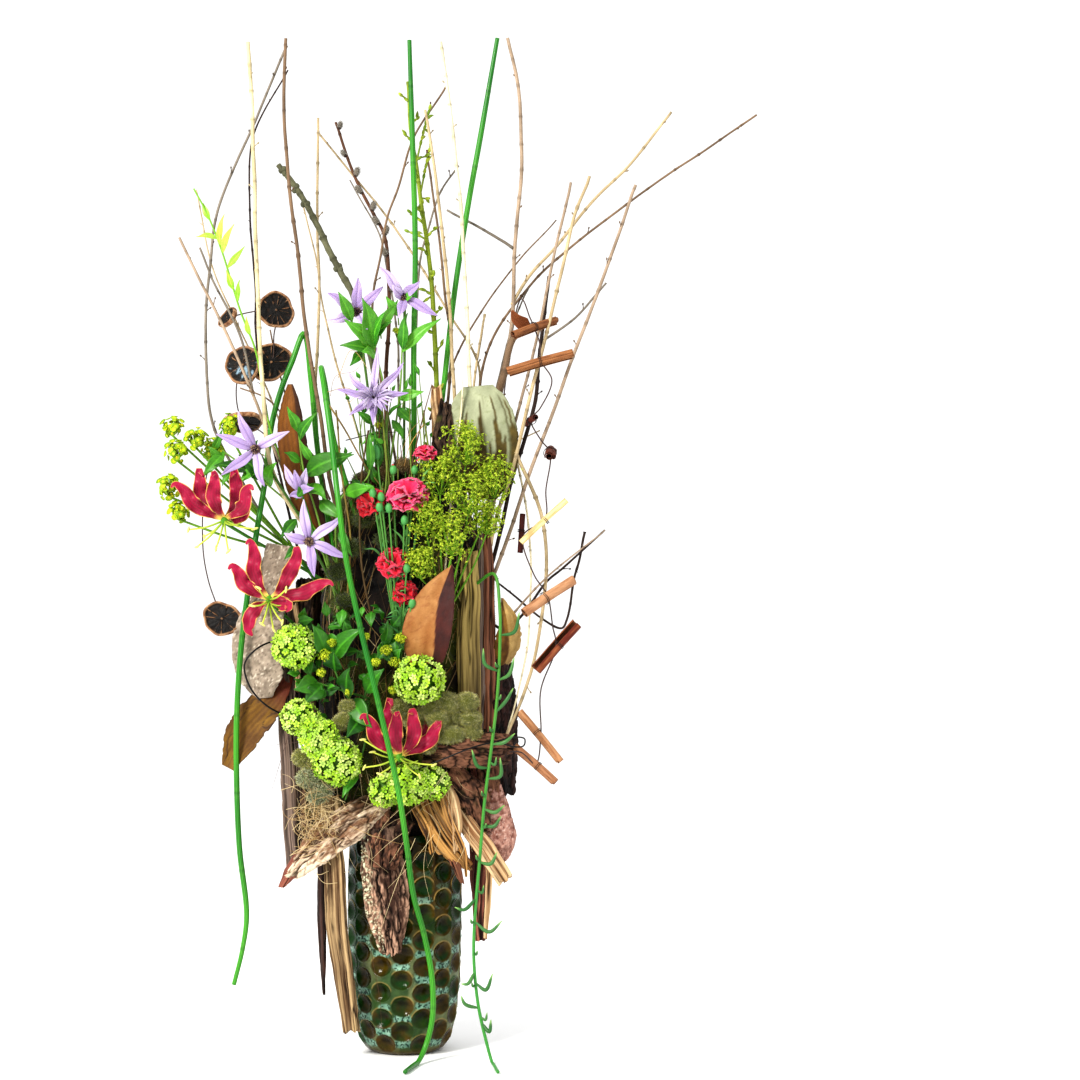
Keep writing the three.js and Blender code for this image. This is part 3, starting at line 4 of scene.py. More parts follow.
import bpy
import numpy as np
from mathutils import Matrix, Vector


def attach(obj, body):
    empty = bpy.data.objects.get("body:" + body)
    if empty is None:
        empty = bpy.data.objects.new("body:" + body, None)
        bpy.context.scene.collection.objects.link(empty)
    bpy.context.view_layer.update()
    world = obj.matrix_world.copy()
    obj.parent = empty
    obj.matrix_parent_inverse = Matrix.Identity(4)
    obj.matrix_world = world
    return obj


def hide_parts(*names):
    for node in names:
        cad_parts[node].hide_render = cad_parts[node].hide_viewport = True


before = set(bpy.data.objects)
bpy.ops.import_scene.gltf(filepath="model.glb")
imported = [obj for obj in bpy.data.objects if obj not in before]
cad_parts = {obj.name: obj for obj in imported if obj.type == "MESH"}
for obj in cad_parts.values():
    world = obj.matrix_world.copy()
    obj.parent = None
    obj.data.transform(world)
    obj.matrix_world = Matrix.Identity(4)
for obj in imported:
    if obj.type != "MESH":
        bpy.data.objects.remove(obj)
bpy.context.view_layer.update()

# The looks of a tall ikebana arrangement in a dimpled glazed vase. Each piece is built in the frame's
# own millimetres and turned into metres when it is finished.
METRE = 0.001

FRONT = (0, -1, 0)
DEEPEN = 1.22  # the power that sets how deep the tints are
FULL = 2 * math.pi
GOLDEN_TURN = math.pi * (3 - math.sqrt(5))

# The photo was taken level, from far in front. The eye and the scale at y = 0, in millimetres.
EYE = (162, -3000, 610)
PIXEL = 1.2
PHOTO_MIDDLE = 540
SENSOR = 36
LENS = 83.33
FAR_CLIP = 200


# ---------------------------------------------------------------- colours and noise
def rgb(code):
    """The linear colour of a six-figure sRGB code."""
    parts = np.array([int(code[i:i + 2], 16) for i in (0, 2, 4)]) / 255
    return np.where(parts <= 0.04045, parts / 12.92, ((parts + 0.055) / 1.055) ** 2.4)


def mix(one, other, share):
    """Between two colours, for a share of any shape."""
    share = np.clip(np.asarray(share, float), 0, 1)[..., None]
    return np.asarray(one) * (1 - share) + np.asarray(other) * share


def smoothstep(low, high, values):
    """0 below low, 1 above high, and a smooth rise between them."""
    t = np.clip((np.asarray(values, float) - low) / (high - low), 0, 1)
    return t * t * (3 - 2 * t)


def lattice(cells, seed):
    """A fixed random number from 0 to 1 for each whole-number cell."""
    mask = 0xFFFFFFFF
    n = (cells[..., 0] * 73856093) ^ (cells[..., 1] * 19349663) ^ (cells[..., 2] * 83492791) ^ (
        seed * 40503
    )
    n = ((n & mask) ^ ((n & mask) >> 15)) * 2246822519 & mask
    n = (n ^ (n >> 13)) * 3266489917 & mask
    return ((n ^ (n >> 16)) & 0xFFFFFF) / 0xFFFFFF


def noise(points, size, seed=0):
    """Smooth noise from -1 to 1, with cells of one size, or of a size along each axis."""
    p = np.asarray(points, float) / size
    low = np.floor(p).astype(np.int64)
    f = p - low
    f = f * f * (3 - 2 * f)
    total = 0
    for corner in itertools.product((0, 1), repeat=3):
        weight = np.prod(np.where(corner, f, 1 - f), axis=-1)
        total = total + weight * lattice(low + corner, seed)
    return 2 * total - 1


def fbm(points, size, octaves=4, seed=0, gain=0.5):
    """Noise summed over octaves, each half the size of the one before."""
    size = np.asarray(size, float)
    layers = [gain**k * noise(points, size / 2**k, seed + 7 * k) for k in range(octaves)]
    return sum(layers) / sum(gain**k for k in range(octaves))


def crease(points, size, width, seed=0):
    """1 along winding lines and 0 away from them, as in cracked bark."""
    return 1 - smoothstep(0, width, np.abs(fbm(points, size, 3, seed)))


# ---------------------------------------------------------------- curves
def unit(v):
    """The same directions at length 1."""
    v = np.asarray(v, float)
    return v / np.maximum(np.linalg.norm(v, axis=-1, keepdims=True), 1e-9)


def spline(points, spacing):
    """A centripetal Catmull-Rom curve through the points, cut into steps of about the given spacing."""
    p = np.asarray(points, float)
    p = np.vstack([2 * p[0] - p[1], p, 2 * p[-1] - p[-2]])
    dense = []
    for a, b, c, d in zip(p, p[1:], p[2:], p[3:]):
        k = [0.0]
        for one, other in ((a, b), (b, c), (c, d)):
            k.append(k[-1] + max(np.linalg.norm(other - one), 1e-6) ** 0.5)
        t = np.linspace(k[1], k[2], 15)[:-1, None]
        ab = (k[1] - t) / (k[1] - k[0]) * a + (t - k[0]) / (k[1] - k[0]) * b
        bc = (k[2] - t) / (k[2] - k[1]) * b + (t - k[1]) / (k[2] - k[1]) * c
        cd = (k[3] - t) / (k[3] - k[2]) * c + (t - k[2]) / (k[3] - k[2]) * d
        abc = (k[2] - t) / (k[2] - k[0]) * ab + (t - k[0]) / (k[2] - k[0]) * bc
        bcd = (k[3] - t) / (k[3] - k[1]) * bc + (t - k[1]) / (k[3] - k[1]) * cd
        dense.append((k[2] - t) / (k[2] - k[1]) * abc + (t - k[1]) / (k[2] - k[1]) * bcd)
    dense = np.vstack([*dense, p[-2:-1]])
    length = np.concatenate([[0], np.cumsum(np.linalg.norm(np.diff(dense, axis=0), axis=1))])
    steps = max(2, round(length[-1] / spacing))
    marks = np.linspace(0, length[-1], steps + 1)
    return np.stack([np.interp(marks, length, dense[:, i]) for i in range(3)], axis=1)


def along(values, t):
    """The value at t, from 0 to 1, of a number or of an evenly spaced list of numbers."""
    values = np.atleast_1d(np.asarray(values, float))
    return np.interp(t, np.linspace(0, 1, len(values)), values)


def carried(path, first=FRONT):
    """The tangents of a path and two side directions, turned as little as can be."""
    tangents = unit(np.gradient(path, axis=0))
    sides = np.empty_like(path)
    v = np.array(first, float)
    if abs(unit(v) @ tangents[0]) > 0.95:
        v = np.array([1.0, 0.3, 0.1])
    for i, tangent in enumerate(tangents):
        v = v - tangent * (v @ tangent)
        v = v / np.linalg.norm(v)
        sides[i] = v
    return tangents, sides, np.cross(tangents, sides)


def facing(directions, spins=0.0):
    """For each direction a turned frame, with the direction as its third axis."""
    a = unit(np.atleast_2d(directions))
    first = np.where(np.abs(a[:, 2:3]) > 0.9, (1.0, 0.0, 0.0), (0.0, 0.0, 1.0))
    u = unit(first - a * np.sum(first * a, axis=1, keepdims=True))
    w = np.cross(a, u)
    turn = np.asarray(spins, float)[..., None]
    c, s = np.cos(turn), np.sin(turn)
    return np.stack([c * u + s * w, c * w - s * u, a], axis=2)


def spread(count):
    """Directions spread evenly over a sphere."""
    i = np.arange(count)
    z = 1 - (2 * i + 1) / count
    r = np.sqrt(1 - z * z)
    turn = GOLDEN_TURN * i
    return np.stack([r * np.cos(turn), r * np.sin(turn), z], axis=1)


# ---------------------------------------------------------------- shapes
def volume(points, faces):
    """The signed volume under flat faces, which is negative where they face inwards."""
    centred = points - points[0]
    return sum(
        np.sum(centred[faces[:, 0]] * np.cross(centred[faces[:, k]], centred[faces[:, k + 1]]))
        for k in range(1, faces.shape[1] - 1)
    )


class Shape:
    """Points in millimetres with faces, colours and places along the grain, gathered for one piece."""

    def __init__(self):
        self.points, self.tints, self.grains, self.loops, self.sizes = [], [], [], [], []
        self.count = 0

    def add(self, points, faces, tint, grain=None):
        """faces are arrays of triangles or of quads."""
        points = np.asarray(points, float).reshape(-1, 3)
        self.points.append(points)
        self.tints.append(np.broadcast_to(tint, points.shape))
        self.grains.append(points if grain is None else np.asarray(grain, float).reshape(-1, 3))
        faces = [np.asarray(part, np.int64) for part in faces]
        if sum(volume(points, part) for part in faces) < 0:
            faces = [part[:, ::-1] for part in faces]
        for part in faces:
            self.loops.append((part + self.count).ravel())
            self.sizes.append(np.full(len(part), part.shape[1]))
        self.count += len(points)


def loft(shape, rings, tint, grain=None):
    """Closed rings of equal length, joined into one skin with a fan at each end."""
    n, m = rings.shape[:2]
    index = np.arange(n * m).reshape(n, m)
    a, b = index[:-1], np.roll(index[:-1], -1, axis=1)
    c, d = index[1:], np.roll(index[1:], -1, axis=1)
    quads = np.stack([a, b, d, c], axis=-1).reshape(-1, 4)
    low, high = n * m, n * m + 1
    ends = np.concatenate([
        np.stack([np.roll(index[0], -1), index[0], np.full(m, low)], axis=1),
        np.stack([index[-1], np.roll(index[-1], -1), np.full(m, high)], axis=1),
    ])

    def flat(grid):
        middles = np.stack([grid[0].mean(axis=0), grid[-1].mean(axis=0)])
        return np.concatenate([np.asarray(grid).reshape(-1, 3), middles])

    tint = np.broadcast_to(tint, rings.shape)
    shape.add(flat(rings), [quads, ends], flat(tint), None if grain is None else flat(grain))


def tube(shape, path, radius, tint, sides=8, lump=None, first=FRONT):
    """A round stem along evenly spaced points. lump is the share by which each ring point stands out."""
    n = len(path)
    _, u, w = carried(path, first)
    turn = np.linspace(0, FULL, sides, endpoint=False)
    size = along(radius, np.linspace(0, 1, n))[:, None] * np.ones((1, sides))
    if lump is not None:
        size = size * (1 + lump)
    ring = np.cos(turn)[None, :, None] * u[:, None] + np.sin(turn)[None, :, None] * w[:, None]
    step = np.linalg.norm(np.diff(path, axis=0), axis=1).mean()
    run = step * np.arange(n)[:, None] * np.ones((1, sides))
    grain = np.stack([size * np.cos(turn), size * np.sin(turn), run], axis=-1)
    if np.ndim(tint) == 2:
        tint = np.asarray(tint)[:, None, :]
    loft(shape, path[:, None] + size[..., None] * ring, tint, grain)


def sheet_rings(path, out, half, columns, thick, fold=0.0, cup=0.0, ripple=None, curl=None):
    """The rings of a thin blade along a path: across its face and back. Also u, across, and t, along."""
    n = len(path)
    tangents = unit(np.gradient(path, axis=0))
    side = unit(np.cross(np.broadcast_to(out, path.shape), tangents))
    face = np.cross(tangents, side)
    t = np.linspace(0, 1, n)[:, None]
    u = np.linspace(-1, 1, columns)[None, :]
    lift = fold * np.abs(u) * half[:, None] + cup * u * u * half[:, None]
    if ripple is not None:
        lift = lift + ripple(t, u)
    across = u * half[:, None]
    if curl is not None:
        across = across * curl
    skin = path[:, None] + across[..., None] * side[:, None] + lift[..., None] * face[:, None]
    du = np.gradient(skin, axis=1)
    dt = np.gradient(skin, axis=0)
    normal = unit(np.cross(dt, du))
    body = thick / 2 * (1 - 0.6 * np.abs(u) ** 3)[..., None] * np.ones((n, 1, 1))
    top, bottom = skin + normal * -body, skin + normal * body
    rings = np.concatenate([bottom, top[:, ::-1]], axis=1)
    uu = np.concatenate(
        [np.broadcast_to(u, (n, columns)), np.broadcast_to(u, (n, columns))[:, ::-1]],
        axis=1,
    )
    tt = np.broadcast_to(t, uu.shape)
    return rings, uu, tt


def blade(shape, spine, out, widths, tint, *, thick=0.8, spacing=3.0, columns=9, **bend):
    """A petal or leaf along a spine. tint is a colour or a function of u, t and the side that is seen."""
    path = spline(spine, spacing)
    n = len(path)
    half = np.maximum(along(widths, np.linspace(0, 1, n)) / 2, 0.15)
    rings, u, t = sheet_rings(path, out, half, columns, thick, **bend)
    under = np.zeros(u.shape, bool)
    under[:, columns:] = True
    colour = tint(u, t, under) if callable(tint) else np.broadcast_to(tint, rings.shape)
    length = spacing * n
    grain = np.stack([u * half[:, None], np.where(under, 5.0, 0.0), t * length], axis=-1)
    loft(shape, rings, colour, grain)


def stamp(shape, points, faces, tint, frames, places, sizes, grain=None):
    """Many copies of a small form. tint is one colour, one for each copy, or one for each point of it."""
    points = np.asarray(points, float)
    k = len(places)
    sizes = np.broadcast_to(sizes, (k,))[:, None, None]
    world = np.asarray(places)[:, None] + sizes * np.einsum("kij,pj->kpi", frames, points)
    tint = np.asarray(tint, float)
    if tint.shape == (k, 3):
        tint = tint[:, None]
    tint = np.broadcast_to(tint, world.shape)
    copies = [
        (np.asarray(part)[None] + (len(points) * np.arange(k))[:, None, None]).reshape(-1, len(part[0]))
        for part in faces
    ]
    shape.add(world, copies, tint.reshape(-1, 3), grain)


def spike(half, length, low=0.0):
    """A thin three-sided spike that stands up from its base."""
    return np.array([(-half, 0, low), (half, 0, low), (0, half, low), (0, 0, length)])


SPIKE_FACES = [[(0, 2, 1), (0, 1, 3), (1, 2, 3), (2, 0, 3)]]


def nearest(line, place):
    """Which point of a line lies nearest to a place."""
    return int(np.linalg.norm(line - np.array(place, float), axis=1).argmin())


def moved(place, x, y, z):
    """A place shifted by a step along each axis."""
    return np.array(place, float) + np.array([x, y, z], float)


def ball(shape, centre, size, tint, rings=10, sides=14, lump=None, frame_=None):
    """A ball or an egg, with lump as a function of its unit directions."""
    polar = np.linspace(0.06, math.pi - 0.06, rings)[:, None]
    turn = np.linspace(0, FULL, sides, endpoint=False)[None, :]
    d = np.stack(
        [np.sin(polar) * np.cos(turn), np.sin(polar) * np.sin(turn), np.cos(polar) + 0 * turn],
        axis=-1,
    )
    reach = 1 if lump is None else 1 + lump(d)[..., None]
    body = d * reach * np.broadcast_to(size, (3,))
    if frame_ is not None:
        body = body @ np.asarray(frame_).T
    loft(shape, np.asarray(centre) + body, tint)


# ---------------------------------------------------------------- materials
def wire_up(name):
    """A new material, its node tree and its shader node."""
    material = bpy.data.materials.new(name)
    material.use_nodes = True
    tree = material.node_tree
    return material, tree, tree.nodes["Principled BSDF"]


def node(tree, kind, settings=(), **inputs):
    """A node with its own settings, and each input set to a value or linked from a socket."""
    made = tree.nodes.new(kind)
    for key, value in dict(settings).items():
        setattr(made, key, value)
    for key, value in inputs.items():
        socket = made.inputs[int(key[1:])] if key[0] == "_" and key[1:].isdigit() else made.inputs[
            key.replace("_", " ")
        ]
        if isinstance(value, bpy.types.NodeSocket):
            tree.links.new(value, socket)
        else:
            socket.default_value = value
    return made


def ranged(tree, socket, low, high, out_low, out_high):
    """A socket's value, carried from one range to another."""
    made = node(tree, "ShaderNodeMapRange", _0=socket, _1=low, _2=high, _3=out_low, _4=out_high)
    return made.outputs[0]


def grained(tree, size, detail=5.0, rough=0.6, lift=0.0):
    """Noise that follows the piece's grain, with cells of a size in millimetres across and along."""
    grain = node(tree, "ShaderNodeAttribute", {"attribute_name": "grain"})
    scale = tuple(1 / s for s in size)
    mapping = node(
        tree, "ShaderNodeMapping", Vector=grain.outputs["Vector"], Scale=scale, Location=(lift, lift, lift),
    )
    made = node(
        tree, "ShaderNodeTexNoise", Vector=mapping.outputs[0], Scale=1.0, Detail=detail, Roughness=rough,
    )
    return made.outputs["Factor" if "Factor" in made.outputs else "Fac"]


def multiplied(tree, colour, factor):
    """A colour times a grey."""
    grey = node(tree, "ShaderNodeCombineColor", _0=factor, _1=factor, _2=factor)
    made = node(tree, "ShaderNodeMix", {"data_type": "RGBA", "blend_type": "MULTIPLY"})
    made.inputs["Factor"].default_value = 1.0
    colours = [s for s in made.inputs if s.type == "RGBA"]
    tree.links.new(colour, colours[0])
    tree.links.new(grey.outputs[0], colours[1])
    return next(s for s in made.outputs if s.type == "RGBA")


def finish_material(name, *, rough=(0.6, 0.8), vary=0.25, size=(6, 6, 6), bump=0.0, fine=(1.5, 1.5, 1.5),
                    coat=0.0, sheen=0.0, glow=0.0, specular=0.28, glow_radius=3.0):
    """A material that takes its colour from the piece's tints, varied by noise that follows the grain."""
    material, tree, shader = wire_up(name)
    tint = node(tree, "ShaderNodeAttribute", {"attribute_name": "tint"}).outputs["Color"]
    broad = grained(tree, size)
    small = grained(tree, fine, 4.0, 0.65, 3.7)
    both = node(tree, "ShaderNodeMath", {"operation": "ADD"}, _0=broad, _1=small).outputs[0]
    shade = ranged(tree, both, 0.6, 1.4, 1 - vary, 1 + vary)
    tree.links.new(multiplied(tree, tint, shade), shader.inputs["Base Color"])
    tree.links.new(ranged(tree, both, 0.6, 1.4, rough[1], rough[0]), shader.inputs["Roughness"])
    if bump:
        made = node(tree, "ShaderNodeBump", Height=both, Distance=bump * METRE, Strength=1.0)
        tree.links.new(made.outputs[0], shader.inputs["Normal"])
    shader.inputs["Coat Weight"].default_value = coat
    shader.inputs["Coat Roughness"].default_value = 0.12
    shader.inputs["Sheen Weight"].default_value = sheen
    shader.inputs["Sheen Roughness"].default_value = 0.5
    shader.inputs["Specular IOR Level"].default_value = specular
    if glow:
        shader.inputs["Subsurface Weight"].default_value = glow
        shader.inputs["Subsurface Radius"].default_value = (1.0, 0.8, 0.6)
        shader.inputs["Subsurface Scale"].default_value = glow_radius * METRE
    return material


FINISHES = {
    "gravel": dict(rough=(0.7, 0.95), vary=0.5, size=(9, 9, 9), bump=0.6),
    "moss": dict(rough=(0.85, 1.0), vary=0.6, size=(5, 5, 5), bump=0.8, fine=(1, 1, 1), sheen=0.2),
    "bark": dict(rough=(0.7, 0.95), vary=0.32, size=(4, 4, 12), bump=0.5, fine=(0.9, 0.9, 3)),
    "red_wood": dict(rough=(0.55, 0.8), vary=0.35, size=(2, 2, 30), bump=0.35, fine=(0.6, 0.6, 9)),
    "spongy_bark": dict(rough=(0.8, 1.0), vary=0.3, size=(2, 2, 2), bump=0.5, fine=(0.7, 0.7, 0.7)),
    "weathered_wood": dict(rough=(0.65, 0.9), vary=0.4, size=(1.8, 1.8, 34), bump=0.4, fine=(0.6, 0.6, 8)),
    "dark_wood": dict(rough=(0.6, 0.9), vary=0.5, size=(2, 2, 26), bump=0.4, fine=(0.6, 0.6, 8)),
    "pale_wood": dict(rough=(0.5, 0.75), vary=0.28, size=(1.6, 1.6, 44), bump=0.3, fine=(0.5, 0.5, 12)),
    "amber_wood": dict(rough=(0.45, 0.7), vary=0.35, size=(1.6, 1.6, 30), bump=0.3, fine=(0.5, 0.5, 9)),
    "dry_leaf": dict(
        rough=(0.55, 0.8), vary=0.22, size=(9, 9, 14), bump=0.15, fine=(1.2, 1.2, 1.6), sheen=0.15,
    ),
    "grey_leaf": dict(
        rough=(0.85, 1.0), vary=0.25, size=(5, 5, 6), bump=0.5, fine=(0.8, 0.8, 0.9), sheen=0.35,
    ),
    "pale_leaf": dict(rough=(0.7, 0.9), vary=0.16, size=(8, 8, 9), bump=0.15, fine=(1, 1, 1.2), sheen=0.2),
    "tan_leaf": dict(rough=(0.6, 0.85), vary=0.3, size=(6, 6, 9), bump=0.2, fine=(1, 1, 1.4)),
    "straw_twig": dict(rough=(0.5, 0.75), vary=0.25, size=(2, 2, 16), bump=0.12, fine=(0.7, 0.7, 4)),
    "brown_twig": dict(rough=(0.5, 0.8), vary=0.32, size=(2, 2, 14), bump=0.14, fine=(0.7, 0.7, 3)),
    "grey_branch": dict(rough=(0.7, 0.95), vary=0.4, size=(3, 3, 8), bump=0.3, fine=(0.9, 0.9, 2)),
    "rush": dict(
        rough=(0.3, 0.45), vary=0.16, size=(1.2, 1.2, 40), bump=0.05, fine=(0.6, 0.6, 14), coat=0.04,
    ),
    "green_stem": dict(rough=(0.4, 0.6), vary=0.2, size=(2, 2, 18), bump=0.06, fine=(0.7, 0.7, 5)),
    "leaf": dict(
        rough=(0.32, 0.5), vary=0.22, size=(7, 7, 9), bump=0.08, fine=(1, 1, 2), coat=0.03, glow=0.1,
    ),
    "banana_leaf": dict(rough=(0.35, 0.5), vary=0.15, size=(4, 4, 9), bump=0.03, fine=(1, 1, 2), coat=0.03),
    "gloriosa_petal": dict(
        rough=(0.4, 0.6), vary=0.14, size=(3, 3, 16), bump=0.08, fine=(1, 1, 5), sheen=0.1, glow=0.15,
    ),
    "clematis_petal": dict(
        rough=(0.45, 0.65), vary=0.1, size=(2, 2, 18), bump=0.07, fine=(0.8, 0.8, 6), sheen=0.15, glow=0.2,
    ),
    "carnation": dict(
        rough=(0.5, 0.7), vary=0.14, size=(3, 3, 6), bump=0.06, fine=(1, 1, 2), sheen=0.2, glow=0.25,
    ),
    "guelder": dict(rough=(0.45, 0.65), vary=0.12, size=(5, 5, 5), bump=0.03, fine=(1, 1, 1), glow=0.25),
    "mantle": dict(rough=(0.5, 0.7), vary=0.2, size=(4, 4, 4), bump=0.03, fine=(1, 1, 1), glow=0.2),
    "crest": dict(rough=(0.75, 0.95), vary=0.25, size=(4, 4, 4), bump=0.3, fine=(0.8, 0.8, 0.8), sheen=0.4),
    "cinnamon": dict(rough=(0.6, 0.85), vary=0.28, size=(2, 2, 20), bump=0.2, fine=(0.6, 0.6, 5)),
    "slice": dict(rough=(0.45, 0.8), vary=0.35, size=(3, 3, 3), bump=0.3, fine=(0.8, 0.8, 0.8)),
    "black_wire": dict(rough=(0.3, 0.5), vary=0.1, size=(4, 4, 4)),
    "raffia": dict(rough=(0.5, 0.75), vary=0.25, size=(1, 1, 20), bump=0.05, fine=(0.5, 0.5, 6)),
}
MATERIALS = {name: finish_material(name, **facts) for name, facts in FINISHES.items()}


def make(name, shape, slot, nodes=(), material=None, smooth=True):
    """Turns a shape into a piece that rides on the part and stands for the nodes."""
    points = np.concatenate(shape.points) * METRE
    loops = np.concatenate(shape.loops)
    sizes = np.concatenate(shape.sizes)
    mesh = bpy.data.meshes.new(name)
    mesh.vertices.add(len(points))
    mesh.vertices.foreach_set("co", points.ravel())
    mesh.loops.add(len(loops))
    mesh.loops.foreach_set("vertex_index", loops.astype(np.int32))
    mesh.polygons.add(len(sizes))
    starts = np.concatenate([[0], np.cumsum(sizes)[:-1]])
    mesh.polygons.foreach_set("loop_start", starts.astype(np.int32))
    mesh.polygons.foreach_set("use_smooth", np.full(len(sizes), smooth))
    mesh.update(calc_edges=True)
    tint = mesh.attributes.new("tint", "FLOAT_COLOR", "POINT")
    colours = np.concatenate(
        [np.clip(np.concatenate(shape.tints), 0, 1) ** DEEPEN, np.ones((len(points), 1))],
        axis=1,
    )
    tint.data.foreach_set("color", colours.ravel())
    grain = mesh.attributes.new("grain", "FLOAT_VECTOR", "POINT")
    grain.data.foreach_set("vector", np.concatenate(shape.grains).ravel())
    piece = bpy.data.objects.new(name, mesh)
    bpy.context.scene.collection.objects.link(piece)
    mesh.materials.append(material or MATERIALS[slot])
    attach(piece, "root")
    if nodes:
        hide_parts(*nodes)
    return piece


# ---------------------------------------------------------------- the vase
VASE_HEIGHT = 262
VASE_WALL = 9
VASE_FLOOR = 9
DIMPLE_COLUMNS = 16
DIMPLE_PITCH = 31
DIMPLE_DEPTH = 5.6
DIMPLE_SIZE = (13.0, 11.8)  # half the width and half the height
PATCH_SIZE = (11.5, 5.6)
VASE_PROFILE = [
    (0, 40), (2, 44.5), (5, 48), (16, 55), (38, 61), (80, 66), (150, 68), (215, 68), (250, 66), (262, 64),
]
GLAZE_BROWN = rgb("5e4a1a")
GLAZE_OLIVE = rgb("3e3610")
GLAZE_GREEN = rgb("1a4820")
GLAZE_KHAKI = rgb("7f8a66")
GLAZE_GOLD_AND_HIGHLIGHT = rgb("b89c62")
GLAZE_MINT = rgb("6c9280")
GLAZE_PALE = rgb("9fbdab")
GLAZE_DOT = rgb("123026")
VASE_SIDES = 560
VASE_RINGS = 300
VASE_BROAD = 68  # the radius at which the glaze's patches are laid out


def vase_radius(z):
    """The vase's outer radius at each height."""
    heights, radii = zip(*VASE_PROFILE)
    return np.interp(z, heights, radii)


def nearest_site(turn, z, odd, size):
    """The distance to the nearest site of a staggered grid, in shares of a size, how far up it lies,
    and a random number of that site. The dimples are on the even sites, and the odd ones are between them."""
    radius = vase_radius(z)
    best, rise, chance = (np.full(turn.shape, value) for value in (9.0, 0.0, 0.0))
    for step in (-1, 0, 1, 2):
        k = np.floor(2 * z / DIMPLE_PITCH) + step
        parity = (k + odd) % 2
        column = 2 * np.round((turn * DIMPLE_COLUMNS / FULL - parity) / 2) + parity
        draw = lattice(np.stack([k, column % DIMPLE_COLUMNS, 0 * k], -1).astype(np.int64), 5)
        across = (turn - column * FULL / DIMPLE_COLUMNS) * radius + 1.6 * (draw - 0.5)
        up = z - k * DIMPLE_PITCH / 2 - 1.4 * (draw * 7 % 1 - 0.5)
        away = np.hypot(across / size[0], up / size[1]) / (1 + 0.1 * (draw * 13 % 1 - 0.5))
        near = (away < best) & (k >= 1)
        best, rise, chance = (
            np.where(near, one, other)
            for one, other in ((away, best), (up / size[1], rise), (draw, chance))
        )
    return best, rise, chance


